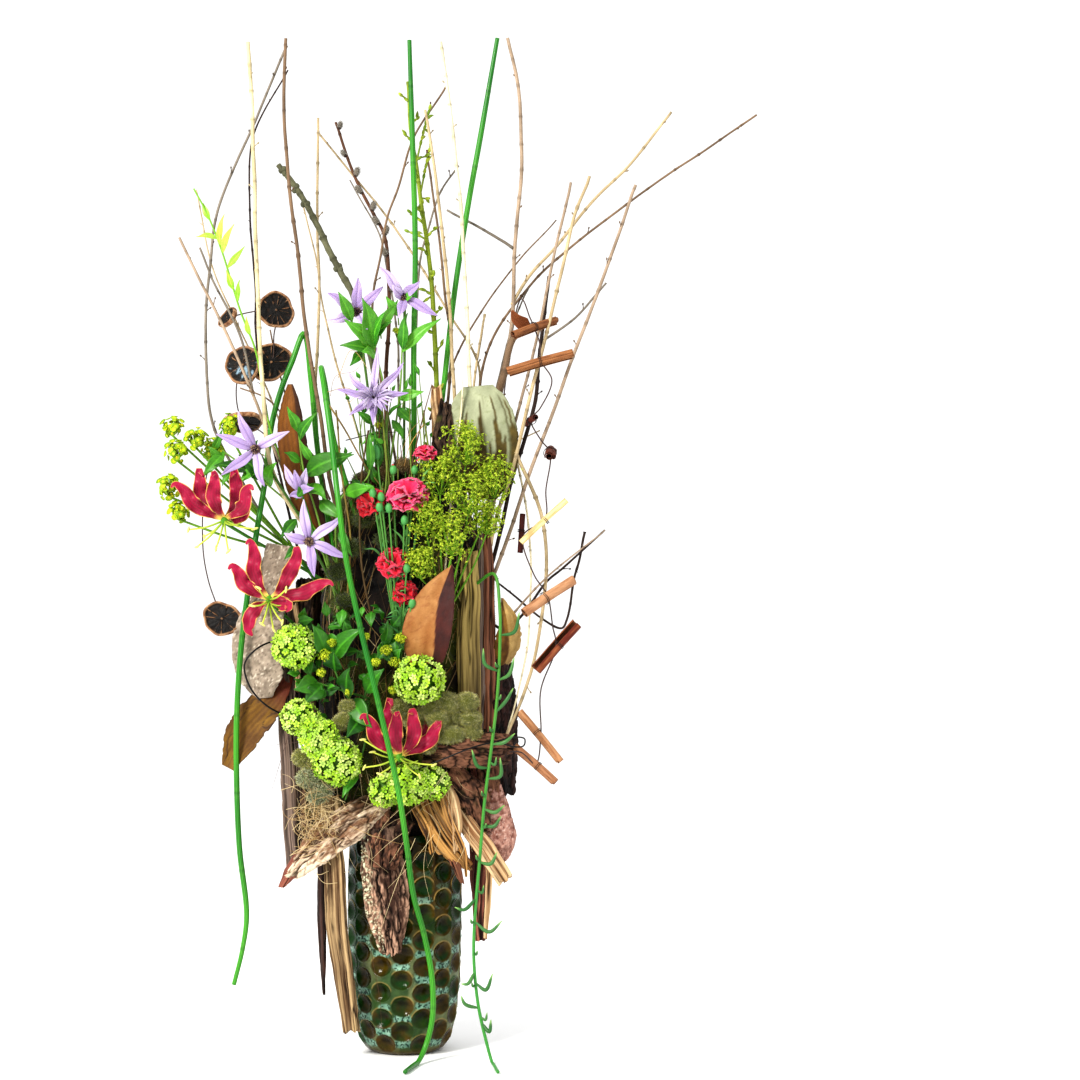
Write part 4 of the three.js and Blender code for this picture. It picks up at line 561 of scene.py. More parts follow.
def vase():
    """The glazed vase: its dimpled wall, its rim and its inner face."""
    shape = Shape()
    heights = np.concatenate([[0, 0.6, 2], np.linspace(4, VASE_HEIGHT - 2, VASE_RINGS), [VASE_HEIGHT]])
    turn = np.linspace(0, FULL, VASE_SIDES, endpoint=False)
    z, turns = np.meshgrid(heights, turn, indexing="ij")
    place = np.stack([np.cos(turns) * VASE_BROAD, np.sin(turns) * VASE_BROAD, z], axis=-1)
    away, rise, draw = nearest_site(turns, z, 0, DIMPLE_SIZE)
    between, _, odd_draw = nearest_site(turns, z, 1, PATCH_SIZE)
    away = away + 0.05 * fbm(place, 9, 2, 13)
    fade = smoothstep(5, 14, z) * (1 - smoothstep(VASE_HEIGHT - 14, VASE_HEIGHT - 6, z))
    pit = np.clip(1 - away**2, 0, 1)
    lip = np.exp(-(((away - 1.06) / 0.07) ** 2))
    uneven = 0.5 * fbm(place, 34, 2, 3)
    radius = vase_radius(z) + fade * (0.8 * lip - DIMPLE_DEPTH * pit) + uneven * smoothstep(0, 10, z)
    outer = np.stack([radius * np.cos(turns), radius * np.sin(turns), z], axis=-1)
    drift = fbm(place, (30, 30, 40), 3, 11)
    tint = mix(GLAZE_BROWN, GLAZE_OLIVE, 0.45 + 0.8 * fbm(place, 13, 3, 21) + 0.35 * (away > 1))
    green = smoothstep(0.25, -0.55, rise + 0.6 * fbm(place, 12, 2, 23)) * smoothstep(0.05, 0.5, pit) * (
        0.15 + 0.7 * (draw > 0.68)
    )
    green = np.maximum(green, 0.7 * smoothstep(0.22, 0.45, drift))
    green = np.maximum(green, 0.85 * smoothstep(150, 215, z + 50 * drift) * smoothstep(0.0, 0.5, pit))
    green = np.maximum(green, 0.9 * smoothstep(-44, -60, place[..., 0] + 20 * drift))
    ridge = smoothstep(0.94, 1.1, away)
    tint = mix(
        tint, GLAZE_KHAKI * (0.85 + 0.4 * drift)[..., None],
        0.75 * ridge * smoothstep(185, 130, z + 60 * drift),
    )
    tint = mix(tint, GLAZE_GREEN, green)
    # Painted shade: darker over the upper half inside each pit, under its rim.
    tint = mix(
        tint,
        GLAZE_OLIVE * 0.3,
        0.75 * smoothstep(0.35, 0.9, pit) * smoothstep(-0.2, 0.4, rise + 0.2 * draw),
    )
    # Gold on the upper rims of the pits: partly the glaze's own colour, partly painted highlight where the
    # rims catch the light.
    gold_rim_and_highlight = lip * smoothstep(0.1, 0.6, rise + 0.8 * fbm(place, 9, 2, 27)) * (draw * 5 % 1 > 0.3)
    tint = mix(tint, GLAZE_GOLD_AND_HIGHLIGHT, gold_rim_and_highlight * (0.45 + 0.4 * smoothstep(140, 190, z)))
    mint = smoothstep(1.2, 0.8, between + 0.35 * fbm(place, 7, 3, 31)) * (odd_draw > 0.3)
    mint = np.maximum(mint, 0.8 * smoothstep(0.22, 0.42, fbm(place, 20, 2, 41)))
    mint = mint * ridge * (1 - 0.8 * smoothstep(165, 215, z) * smoothstep(-40, -20, place[..., 0])) * fade
    pale = 0.5 + 0.9 * fbm(place, 5, 2, 51)
    dots = smoothstep(0.05, 0.24, noise(place, 1.7, 53))
    glazed = mix(mix(GLAZE_MINT, GLAZE_PALE, pale * 0.7), GLAZE_DOT, 0.85 * dots)
    tint = mix(tint, glazed, mint)
    tint = mix(tint, GLAZE_BROWN * 0.8, 0.8 * (1 - smoothstep(3, 12, z)))
    # Painted shadow: the glaze darkens towards the mouth, in the shade of the bark and splinters above it.
    tint = tint * (1 - 0.55 * smoothstep(205, 245, z + 20 * drift))[..., None]
    inner_heights = [VASE_HEIGHT + 0.4, VASE_HEIGHT - 1, 60, 20, VASE_FLOOR]
    for height in inner_heights:
        ring = max(
            float(vase_radius(min(height, VASE_HEIGHT))) - (VASE_WALL if height < VASE_HEIGHT else 4),
            5,
        )
        circle = np.stack([ring * np.cos(turn), ring * np.sin(turn), height + 0 * turn], -1)
        outer = np.concatenate([outer, circle[None]])
        tint = np.concatenate([tint, np.broadcast_to(GLAZE_OLIVE, (1, VASE_SIDES, 3))])
    loft(shape, outer, tint)
    material, tree, shader = wire_up("glazed")
    colour = node(tree, "ShaderNodeAttribute", {"attribute_name": "tint"}).outputs["Color"]
    broad = ranged(tree, grained(tree, (11, 11, 11), 4.0, 0.6, 2.0), 0.35, 0.65, 0.7, 1.25)
    tree.links.new(multiplied(tree, colour, broad), shader.inputs["Base Color"])
    bump = node(
        tree, "ShaderNodeBump", Height=grained(tree, (4, 4, 4), 3.0, 0.5, 6.0), Distance=0.4 * METRE,
    )
    tree.links.new(bump.outputs[0], shader.inputs["Normal"])
    shader.inputs["Roughness"].default_value = 0.12
    shader.inputs["Specular IOR Level"].default_value = 0.13
    make("vase_glazed", shape, "glaze", ["vase"], material)


vase()


# ---------------------------------------------------------------- gravel and the moss column
BALLAST_CORE = ((9.4, 38), (20, 44), (74, 52))  # heights and radii
PEBBLES = 130
PEBBLE_REACH = 47
PEBBLE_SIZES = (3.4, 5.6)
PEBBLE_LEVEL = 73
PEBBLE_HEAP = 3


def ballast():
    """Pebbles heaped on the vase's floor, over a core."""
    shape = Shape()
    turn = np.linspace(0, FULL, 32, endpoint=False)
    rings = [np.stack([r * np.cos(turn), r * np.sin(turn), z + 0 * turn], -1) for z, r in BALLAST_CORE]
    loft(shape, np.stack(rings), rgb("6d675f"))
    random = np.random.default_rng(17)
    for _ in range(PEBBLES):
        far, angle = PEBBLE_REACH * math.sqrt(random.random()), random.random() * FULL
        height = PEBBLE_LEVEL + random.random() * PEBBLE_HEAP
        place = np.array([far * math.cos(angle), far * math.sin(angle), height])
        size = random.uniform(*PEBBLE_SIZES, 3)
        ball(shape, place, size, rgb("77716a") * random.uniform(0.6, 1.3), 6, 8)
    make("ballast_gravel", shape, "gravel", ["ballast"])


# The column's oval: the height, half the width, half the depth, and the middle's x and y
COLUMN = [
    (83, 53, 53, 0, 0), (266, 53, 53, 0, 0), (290, 83, 56, 0, 0), (360, 104, 58, 0, 7),
    (520, 105, 58, 1, 8),
    (610, 93, 53, 2, 8), (664, 73, 44, -4, 8), (690, 52, 34, -7, 8), (698, 34, 22, -8, 8),
]
# MOSS_DARK and MOSS_BROWN are very dark: partly the moss's own brown, partly painted shade for the column
# deep behind the other pieces.
MOSS_DARK = rgb("0e0a06")
MOSS_BROWN = rgb("33241a")
MOSS_GREEN = rgb("66701f")
MOSS_RINGS = 240
MOSS_SIDES = 300
MOSS_TUFTS = 5200
MOSS_PATCH = 38  # the size of a mossy patch
MOSS_CRACKS = (24, 24, 60)
COLUMN_FOOT = 83
VASE_MOUTH = 262
COLUMN_TOP = 698
COLUMN_AXIS_Y = 8
GROWN = (300, 690)  # the heights between which tufts and fibres grow


def column_surface(turn, z):
    """Places on the column's oval at a turn and a height."""
    heights, a, b, x, y = (np.array(v, float) for v in zip(*COLUMN))

    def at(values):
        return np.interp(z, heights, values)

    return np.stack([at(x) + at(a) * np.cos(turn), at(y) + at(b) * np.sin(turn), z], axis=-1)


def moss_column():
    """The rough column that everything is planted in, and the tufts of moss on it."""
    shape = Shape()
    heights = np.concatenate([[COLUMN_FOOT], np.linspace(VASE_MOUTH, COLUMN_TOP, MOSS_RINGS)])
    turn = np.linspace(0, FULL, MOSS_SIDES, endpoint=False)
    z, turns = np.meshgrid(heights, turn, indexing="ij")
    rings = column_surface(turns, z)
    out = unit(rings - np.stack([0 * z, COLUMN_AXIS_Y + 0 * z, z], -1))
    cracks = crease(rings, MOSS_CRACKS, 0.16, 67)
    rough = 3.2 * fbm(rings, (16, 16, 30), 4, 61) - 3.6 * cracks
    rough = np.where(z < 270, 0, rough - 1.0)
    mossy = smoothstep(-0.05, 0.35, fbm(rings, MOSS_PATCH, 3, 71))
    # Darkest in the cracks cut into the column: partly the moss's own colour, partly painted shade.
    tint = mix(MOSS_BROWN, MOSS_DARK, 0.5 + 0.9 * cracks - 0.5 * fbm(rings, 9, 3, 73))
    tint = mix(tint, MOSS_GREEN * 0.8, mossy * 0.8)
    rings = rings + out * rough[..., None]
    loft(shape, rings, tint)
    make("moss_column_rough", shape, "moss", ["moss_column"])

    tufts = Shape()
    random = np.random.default_rng(23)
    turn, z = random.uniform(0, FULL, MOSS_TUFTS), random.uniform(*GROWN, MOSS_TUFTS)
    place = column_surface(turn, z)
    keep = fbm(place, MOSS_PATCH, 3, 71) + random.uniform(-0.12, 0.12, MOSS_TUFTS) > 0.04
    place = place[keep]
    axis = place * (0, 0, 1) + (0, COLUMN_AXIS_Y, 0)
    out = unit(place - axis)
    lean = unit(out + random.normal(0, 0.6, out.shape))
    thread = spike(0.5, 5.5, -1)
    green = mix(rgb("2c3a0e"), rgb("a4aa40"), random.random(len(place)) ** 1.3)
    stamp(
        tufts, thread, SPIKE_FACES, green, facing(lean, random.uniform(0, 6, len(place))), place,
        random.uniform(0.7, 1.4, len(place)),
    )
    make("moss_tufts", tufts, "moss")


ballast()
moss_column()


# ---------------------------------------------------------------- bark and split wood
SLAB_STEP = 1.25
SECTION_POWER = 0.38


def squarish(turn):
    """The two shares of a rounded rectangle's section at a turn."""
    return (np.sign(side) * np.abs(side) ** SECTION_POWER for side in (np.cos(turn), np.sin(turn)))


def even_turns(count, half, thick):
    """Turns that lie evenly along the edge of a section of that half width and half thickness."""
    fine = np.linspace(0, FULL, 4001)
    u, w = squarish(fine)
    run = np.concatenate([[0], np.cumsum(np.hypot(np.diff(u) * half, np.diff(w) * thick))])
    return np.interp(np.linspace(0, run[-1], count, endpoint=False), run, fine)


def slab(name, slot, nodes, facts, look):
    """A slab along a spine, bowed towards out, rough along its grain, its ends torn fibre by fibre."""
    path = spline(facts["spine"], SLAB_STEP)
    ragged = facts.get("ragged", 5)
    seed = facts["seed"]
    n = len(path)
    tangents = unit(np.gradient(path, axis=0))
    side = unit(np.cross(np.broadcast_to(facts["out"], path.shape), tangents))
    face = np.cross(tangents, side)
    t = np.linspace(0, 1, n)
    half = along(facts["widths"], t)[:, None] / 2
    thick = along(facts["thick"], t)[:, None] / 2
    wide, deep = max(facts["widths"]), max(facts["thick"])
    count = int(max(40, (4 * wide + 3 * deep) / SLAB_STEP / 1.3))
    turn = even_turns(count, wide / 2, deep / 2)[None, :]
    u, w = squarish(turn)
    run = (t * SLAB_STEP * n)[:, None] + 0 * turn
    grain = np.stack([u * half, w * thick, run], axis=-1) + 31 * seed
    relief, tint = look(grain, u, w, t[:, None] + 0 * turn)
    torn = ragged * fbm(np.stack([u * half, w * thick, 0 * run], -1) + 9 * seed, (5, 5, 5), 3, seed, 0.7)
    reach = smoothstep(0.5, 1, 2 * np.abs(t[:, None] - 0.5)) ** 2 * np.sign(t[:, None] - 0.5)
    lift = facts.get("bow", 0) * (1 - u * u) + w * thick
    wander = fbm(grain * (0, 0, 1), (1, 1, 40), 2, seed + 3) * 2.0
    rings = (
        path[:, None]
        + (u * half + wander)[..., None] * side[:, None]
        + lift[..., None] * face[:, None]
        + (torn * np.abs(reach))[..., None] * tangents[:, None]
    )
    normal = np.cos(turn)[..., None] * side[:, None] + np.sin(turn)[..., None] * face[:, None]
    rings = rings + normal * relief[..., None]
    shape = Shape()
    loft(shape, rings, tint, grain)
    make(name, shape, slot, nodes)


def bark_look(light, dark, moss=0.0, plates=(9, 9, 22)):
    """Flaking bark: layered plates with dark cracks between them, dark partly by the bark's own colour and
    partly by painted shade.
    """
    def look(grain, u, w, t):
        crack = crease(grain, plates, 0.13, 5)
        layer = fbm(grain, (12, 12, max(26, 1.4 * plates[2])), 3, 9)
        steps = np.floor(layer * 5) / 5 + 0.2 * smoothstep(0.6, 1, (layer * 5) % 1)
        fine = fbm(grain, (2.2, 2.2, 7), 3, 13)
        hair = crease(grain, (5, 5, 15), 0.10, 7)
        relief = 3.4 * steps + 1.3 * fine - 3.0 * crack - 0.8 * hair
        tint = mix(dark, light, smoothstep(-0.5, 0.45, layer + 0.8 * fine))
        tint = mix(tint, light * 1.15, 0.5 * smoothstep(0.2, 0.5, fbm(grain, (6, 6, 10), 2, 17)))
        # Painted shade, over the bark's own darker colour, in the fine lines and cracks cut into it.
        tint = mix(tint, dark * 0.4, 0.7 * hair)
        tint = mix(tint, dark * 0.3, 0.9 * crack)
        tint = mix(tint, rgb("6a6f2c"), moss * smoothstep(0.1, 0.5, fbm(grain, 13, 3, 19)))
        return relief, tint
    return look


def split_look(light, dark, streak, depth=1.3, width=2.6):
    """Split wood: long fibres and open seams along the grain."""
    def look(grain, u, w, t):
        fibre = fbm(grain, (width, width, 90), 3, 5)
        seam = crease(grain, (7, 7, 150), 0.09, 9)
        broad = fbm(grain, (9, 9, 70), 2, 15)
        relief = depth * (fibre + 0.7 * broad) - 1.7 * depth * seam
        tint = mix(dark, light, smoothstep(-0.5, 0.4, fibre + 0.4 * broad))
        tint = mix(tint, streak, 0.55 * smoothstep(0.1, 0.5, fbm(grain, (4, 4, 120), 2, 21)))
        # Dark in the open seams: partly the wood's own colour, partly painted shade.
        tint = mix(tint, dark * 0.3, 0.85 * seam)
        return relief, tint
    return look


def spongy_look(light, dark):
    """Crumbly bark, with small pits and pale specks."""
    def look(grain, u, w, t):
        lumps = fbm(grain, 3.4, 4, 5, 0.6)
        pits = smoothstep(0.18, 0.42, fbm(grain, 3.4, 2, 9))
        tint = mix(dark, light, smoothstep(-0.4, 0.4, lumps))
        tint = mix(tint, rgb("f0ddd4"), 0.45 * smoothstep(0.34, 0.5, fbm(grain, 1.3, 2, 31)))
        # Darker in the pits: partly the bark's own colour, partly painted shade.
        return 1.3 * lumps - 0.8 * pits, mix(tint, dark * 0.5, 0.4 * pits)
    return look


def lichened(look):
    """The same bark, with a crust of pale lichen down its left edge."""
    def crusted(grain, u, w, t):
        relief, tint = look(grain, u, w, t)
        crust = smoothstep(-0.3, -0.8, u + 0.3 * fbm(grain, 10, 2, 41)) * smoothstep(
            -0.25, 0.25, fbm(grain, 2.6, 2, 43),
        )
        specks = mix(rgb("5e4c38"), rgb("d8d8bc"), smoothstep(-0.1, 0.3, noise(grain, 1.5, 45)))
        return relief + 0.35 * crust, mix(tint, specks, crust)
    return crusted


# Painted shade: the near-black inside the open crack.
CRACK_SHADE = np.array([0.012, 0.007, 0.004])


def plated(look):
    """The same bark, split by an open crack along it that is painted near-black as shade, and in painted
    shade at its upper end.
    """
    def split(grain, u, w, t):
        relief, tint = look(grain, u, w, t)
        middle = u + 0.22 - 0.5 * (t - 0.5) + 0.25 * fbm(grain, (90, 90, 9), 2, 47)
        crack = np.exp(-((middle / 0.07) ** 2)) * (w > 0)
        tint = mix(tint, CRACK_SHADE, 0.95 * crack)
        return relief - 4.5 * crack, mix(
            tint, tint * 0.4, smoothstep(0.30, 0.10, t + 0.08 * fbm(grain, 8, 2, 49)),
        )
    return split


PINK_BARK = lichened(plated(bark_look(rgb("c4a28c"), rgb("4c3428"), 0.0, (7, 7, 42))))
PALE_BARK = bark_look(rgb("e4d2bb"), rgb("8a6a52"), 0.03, (8, 8, 34))
BROWN_BARK = bark_look(rgb("8a6550"), rgb("38241a"), 0.1)
DARK_BARK = bark_look(rgb("4a2c24"), rgb("150c0a"), 0.0, (7, 7, 20))
BACK_BARK = bark_look(rgb("7d6350"), rgb("2e2018"), 0.55, (12, 12, 40))
SIDE_LOOK = bark_look(rgb("6b5544"), rgb("261b14"), 0.4, (10, 10, 34))
OLD_WOOD = split_look(rgb("c2aa84"), rgb("5a422a"), rgb("7d6448"), 1.3, 1.7)
POST_WOOD = split_look(rgb("8c7b70"), rgb("2c1f18"), rgb("63503f"), 1.5, 1.9)
BLACK_WOOD = split_look(rgb("55392e"), rgb("1c110d"), rgb("38231b"))
PALE_PLANK = split_look(rgb("b8a46c"), rgb("554520"), rgb("7a6c36"), 1.5, 2.2)
RED_PLANK = split_look(rgb("a8785c"), rgb("4e3024"), rgb("7c5444"), 1.6)
LOW_RED = split_look(rgb("a8705e"), rgb("4f2a22"), rgb("7d4a3e"), 1.6)
SPLIT_PALE = split_look(rgb("e2c8a2"), rgb("8f6844"), rgb("bd9468"), 1.1, 1.8)
SPLIT_AMBER = split_look(rgb("cfa468"), rgb("3a200e"), rgb("9a6230"), 2.2, 1.9)
SPONGE = spongy_look(rgb("c8a294"), rgb("8a5e52"))

WOOD = {
    "bark_front": [
        "bark",
        PINK_BARK,
        dict(
            spine=[(-28, -70, 272), (-21, -74, 212), (-14, -75, 160), (-11, -74, 127)],
            out=FRONT,
            widths=[40, 52, 50, 26],
            thick=[13, 11, 9, 5],
            bow=5,
            ragged=9,
            seed=3,
        ),
    ],
    "bark_collar_left": [
        "bark",
        PALE_BARK,
        dict(
            spine=[(-26, -58, 302), (-60, -74, 282), (-99, -82, 251), (-133, -78, 215)],
            out=[-0.25, -1, 0.35],
            widths=[30, 50, 42, 12],
            thick=[12, 14, 9, 4],
            bow=5,
            ragged=9,
            seed=5,
        ),
    ],
    "bark_belt_right": [
        "bark",
        BROWN_BARK,
        dict(
            spine=[(28, -70, 362), (64, -84, 363), (99, -74, 364), (124, -40, 361)],
            out=FRONT,
            widths=[28, 36, 42, 34],
            thick=[12],
            bow=3,
            seed=7,
        ),
    ],
    "bark_slab_right": [
        "red_wood",
        DARK_BARK,
        dict(
            spine=[(114, -6, 478), (118, -2, 418), (119, 2, 358), (121, 2, 307)],
            out=[0.8, -0.6, 0],
            widths=[26, 44, 46, 30],
            thick=[8, 12, 12, 8],
            bow=4,
            ragged=10,
            seed=9,
        ),
    ],
    "bark_spongy_right": [
        "spongy_bark",
        SPONGE,
        dict(
            spine=[(100, -32, 325), (109, -34, 287), (117, -38, 252), (111, -40, 222)],
            out=[0.3, -1, 0],
            widths=[22, 34, 36, 14],
            thick=[10, 11, 10, 6],
            bow=4,
            ragged=8,
            seed=11,
        ),
    ],
    "slat_front_left": [
        "weathered_wood",
        OLD_WOOD,
        dict(
            spine=[(-84, -66, 305), (-79, -76, 212), (-70, -72, 118), (-60, -58, 33)],
            out=[-0.55, -1, 0],
            widths=[26, 28, 28, 22],
            thick=[8],
            bow=1.5,
            ragged=12,
            seed=13,
        ),
    ],
    "slat_dark_left": [
        "dark_wood",
        BLACK_WOOD,
        dict(
            spine=[(-98, -8, 356), (-98, -30, 242), (-96, -38, 148), (-94, -34, 71)],
            out=[-1, -0.5, 0],
            widths=[18, 22, 22, 20, 4],
            thick=[7, 7, 5, 3],
            ragged=6,
            seed=15,
        ),
    ],
    "post_left": [
        "weathered_wood",
        POST_WOOD,
        dict(
            spine=[(-139, -26, 539), (-138, -38, 420), (-132, -46, 326), (-127, -50, 223)],
            out=[-0.8, -0.8, 0],
            widths=[14, 20, 26, 22],
            thick=[11, 14, 15, 12],
            ragged=14,
            seed=17,
        ),
    ],
    "plank_pale": [
        "pale_wood",
        PALE_PLANK,
        dict(
            spine=[(79, -36, 596), (78, -38, 539), (77, -39, 468), (77, -36, 387)],
            out=[0.35, -1, 0],
            widths=[18, 26, 28, 28],
            thick=[8, 11, 12, 12],
            bow=3,
            ragged=10,
            seed=19,
        ),
    ],
    "plank_red": [
        "red_wood",
        RED_PLANK,
        dict(
            spine=[(99, -16, 636), (100, -20, 562), (101, -20, 479), (101, -18, 386)],
            out=[0.6, -1, 0],
            widths=[9, 14, 17, 16],
            thick=[6, 8, 9, 9],
            bow=1.5,
            ragged=12,
            seed=21,
        ),
    ],
    "plank_back": [
        "weathered_wood",
        POST_WOOD,
        dict(
            spine=[[56, 50, 720], [62, 56, 600], [64, 59, 450], [56, 57, 276]],
            out=[0.3, 1, 0],
            widths=[22, 34, 38, 30],
            thick=[8, 11, 12, 9],
            bow=3,
            ragged=12,
            seed=23,
        ),
    ],
    "splinter_right": [
        "pale_wood",
        SPLIT_PALE,
        dict(
            spine=[(49, -47, 319), (75, -62, 279), (99, -68, 246), (121, -70, 212)],
            out=[0.2, -1, 0.2],
            widths=[12, 20, 24, 20],
            thick=[7],
            ragged=10,
            seed=25,
        ),
    ],
    "splinters_amber": [
        "amber_wood",
        SPLIT_AMBER,
        dict(
            spine=[(21, -55, 316), (40, -68, 275), (59, -66, 246), (77, -58, 226)],
            out=FRONT,
            widths=[16, 34, 30, 12],
            thick=[8],
            bow=3,
            ragged=12,
            seed=27,
        ),
    ],
    "slat_low_right": [
        "red_wood",
        LOW_RED,
        dict(
            spine=[(88, -22, 346), (91, -30, 254), (90, -36, 183), (93, -38, 136)],
            out=[0.5, -1, 0],
            widths=[26, 28, 22, 12],
            thick=[8, 9, 8, 5],
            bow=1,
            ragged=10,
            seed=29,
        ),
    ],
    "bark_back": [
        "bark",
        BACK_BARK,
        dict(
            spine=[[-22, 58, 690], [-20, 70, 560], [-24, 72, 420], [-20, 64, 272]],
            out=[0, 1, 0],
            widths=[70, 110, 118, 84],
            thick=[9, 14, 14, 9],
            bow=-3,
            ragged=16,
            seed=31,
        ),
    ],
    "bark_side_left": [
        "bark",
        SIDE_LOOK,
        dict(
            spine=[[-92, 34, 640], [-102, 34, 520], [-106, 34, 400], [-88, 30, 272]],
            out=[-1, 0.5, 0],
            widths=[44, 62, 66, 46],
            thick=[8, 12, 13, 9],
            bow=2,
            ragged=14,
            seed=33,
        ),
    ],
}
for piece_name, (slot_name, look, facts) in WOOD.items():
    slab(piece_name + "_fine", slot_name, [piece_name], facts, look)

# Wood that fills gaps between the larger pieces
MORE_WOOD = {
    # Dark bark in a gap: its dark look is partly painted shade.
    "bark_fill_upper": [
        "bark",
        SIDE_LOOK,
        dict(
            spine=[(-119, -22, 562), (-119, -34, 479), (-116, -40, 392)],
            out=[-0.3, -1, 0],
            widths=[20, 26, 28],
            thick=[8],
            bow=2,
            ragged=9,
            seed=61,
        ),
    ],
    "bark_front_upper": [
        "bark",
        BROWN_BARK,
        dict(
            spine=[(-7, -64, 286), (-16, -76, 259), (-20, -86, 228)], out=FRONT, widths=[52, 46, 26],
            thick=[8], bow=2, ragged=10, seed=65,
        ),
    ],
    "post_top": [
        "weathered_wood",
        SPLIT_PALE,
        dict(
            spine=[(48, -26, 693), (44, -28, 741), (38, -26, 791)], out=[0.1, -1, 0], widths=[26, 22, 12],
            thick=[6], bow=2, ragged=14, seed=67,
        ),
    ],
    "root_top": [
        "bark",
        SIDE_LOOK,
        dict(
            spine=[(49, -34, 771), (48, -38, 733), (51, -42, 686)], out=FRONT, widths=[14, 26, 32],
            thick=[8], bow=3, ragged=12, seed=69,
        ),
    ],
    "bark_fill_low": [
        "bark",
        BROWN_BARK,
        dict(
            spine=[(95, -30, 358), (103, -34, 330), (105, -36, 302)], out=[0.3, -1, 0], widths=[22, 28, 20],
            thick=[7], bow=2, ragged=8, seed=71,
        ),
    ],
    "strip_pale_left": [
        "pale_wood",
        SPLIT_PALE,
        dict(
            spine=[(-127, -46, 534), (-122, -50, 497), (-124, -50, 433)],
            out=[-0.2, -1, 0],
            widths=[6, 10, 5],
            thick=[4],
            ragged=8,
            seed=63,
        ),
    ],
    # Dark bark in a gap: its dark look is partly painted shade.
    "bark_fill_left": [
        "bark",
        SIDE_LOOK,
        dict(
            spine=[(-111, -46, 345), (-107, -52, 292), (-104, -54, 231)],
            out=[-0.3, -1, 0],
            widths=[30, 38, 30],
            thick=[8],
            bow=2,
            ragged=9,
            seed=41,
        ),
    ],
    "bark_fill_right": [
        "bark",
        BROWN_BARK,
        dict(
            spine=[(56, -60, 342), (77, -62, 316), (94, -52, 275)], out=[0.2, -1, 0], widths=[24, 40, 22],
            thick=[8], bow=2, ragged=9, seed=43,
        ),
    ],
    "bark_red_end": [
        "red_wood",
        LOW_RED,
        dict(
            spine=[(-119, -76, 238), (-130, -80, 222), (-140, -76, 205)],
            out=FRONT,
            widths=[18, 16, 6],
            thick=[6],
            bow=1,
            ragged=9,
            seed=45,
        ),
    ],
    "splinter_thin_1": [
        "amber_wood",
        SPLIT_AMBER,
        dict(
            spine=[(40, -66, 333), (54, -76, 290), (71, -76, 252), (75, -70, 216)],
            out=FRONT,
            widths=[6, 9, 8, 3],
            thick=[3],
            ragged=6,
            seed=47,
        ),
    ],
    "splinter_thin_2": [
        "pale_wood",
        SPLIT_PALE,
        dict(
            spine=[(46, -62, 328), (59, -74, 306), (65, -76, 275), (64, -72, 245)],
            out=[0.3, -1, 0],
            widths=[8, 15, 13, 4],
            thick=[3],
            ragged=8,
            seed=49,
        ),
    ],
    "splinter_thin_3": [
        "amber_wood",
        SPLIT_AMBER,
        dict(
            spine=[(14, -66, 298), (29, -74, 275), (36, -72, 245)], out=FRONT, widths=[10, 14, 5],
            thick=[4], ragged=8, seed=51,
        ),
    ],
    "splinter_thin_4": [
        "red_wood",
        RED_PLANK,
        dict(
            spine=[(56, -66, 256), (63, -68, 232), (70, -64, 206)], out=[0.4, -1, 0], widths=[14, 13, 4],
            thick=[4], ragged=8, seed=53,
        ),
    ],
    "plank_red_side": [
        "red_wood",
        POST_WOOD,
        dict(
            spine=[(91, -30, 622), (91, -34, 539), (91, -34, 432), (91, -30, 387)],
            out=[0.6, -1, 0],
            widths=[4, 7, 8, 8],
            thick=[5],
            ragged=12,
            seed=55,
        ),
    ],
    "slat_low_side": [
        "pale_wood",
        SPLIT_PALE,
        dict(
            spine=[(98, -44, 267), (101, -46, 208), (98, -46, 142)], out=[0.5, -1, 0], widths=[6, 8, 4],
            thick=[4], ragged=8, seed=57,
        ),
    ],
}
for piece_name, (slot_name, look, facts) in MORE_WOOD.items():
    slab(piece_name, slot_name, [], facts, look)


# ---------------------------------------------------------------- bare twigs and green stems
STRAW = rgb("c2b08e")
PALE_STRAW = rgb("ddcfa8")
TWIG_BROWN = rgb("86705a")
TWIG_DARK = rgb("3c2a20")
ROD_PINK = rgb("ad9a86")
CREAM = rgb("e9dfc0")
GREY_TWIG = rgb("8d8478")


TWIG_STEP = 2.6
TWIG_END = 12  # how far from its ends a twig stops wandering


def twig(
    shape, path, radius, colour, *, nodes=26.0, swell=0.35, seed=1, tip=None, sides=8, wobble=0.5,
    lumps=0.05,
):
    """A bare twig with a slight wander, rings at its nodes and mottled bark."""
    line = spline(path, TWIG_STEP)
    n = len(line)
    s = np.linspace(0, 1, n)
    run = TWIG_STEP * np.arange(n)
    edge = smoothstep(0, TWIG_END, run) * smoothstep(0, TWIG_END, run[-1] - run)
    drift = np.stack(
        [
            noise(np.stack([run * 0 + k * 50, run * 0 + seed * 9, run], -1), (40, 40, 46), seed)
            for k in range(3)
        ],
        -1,
    )
    line = line + drift * wobble * edge[:, None] * 1.6
    knots = run / nodes + 0.18 * noise(np.stack([run * 0, run * 0, run], -1), 60, seed + 1)
    near = np.abs(knots - np.round(knots)) * nodes
    ring = np.exp(-((near / 1.7) ** 2))
    size = along(radius, s) * (1 + swell * ring * (0.6 + 0.4 * np.sin(7 * np.round(knots) + seed)))
    patch = noise(np.stack([run * 0 + seed, run * 0, run], -1), (9, 9, 22), seed + 2)
    colour = np.asarray(colour)
    tint = mix(colour * 0.72, colour * 1.1, 0.5 + 0.6 * patch)
    tint = mix(tint, colour * 0.34, 0.6 * ring)
    if tip is not None:
        tint = mix(tint, tip, smoothstep(0.45, 1.0, s))
    turn = np.linspace(0, FULL, sides, endpoint=False)
    lump = lumps * noise(
        np.stack(np.broadcast_arrays(np.cos(turn)[None] * 2, np.sin(turn)[None] * 2, run[:, None]), -1),
        (1.6, 1.6, 7),
        seed,
    )
    tube(shape, line, size, tint, sides, lump)
    return line


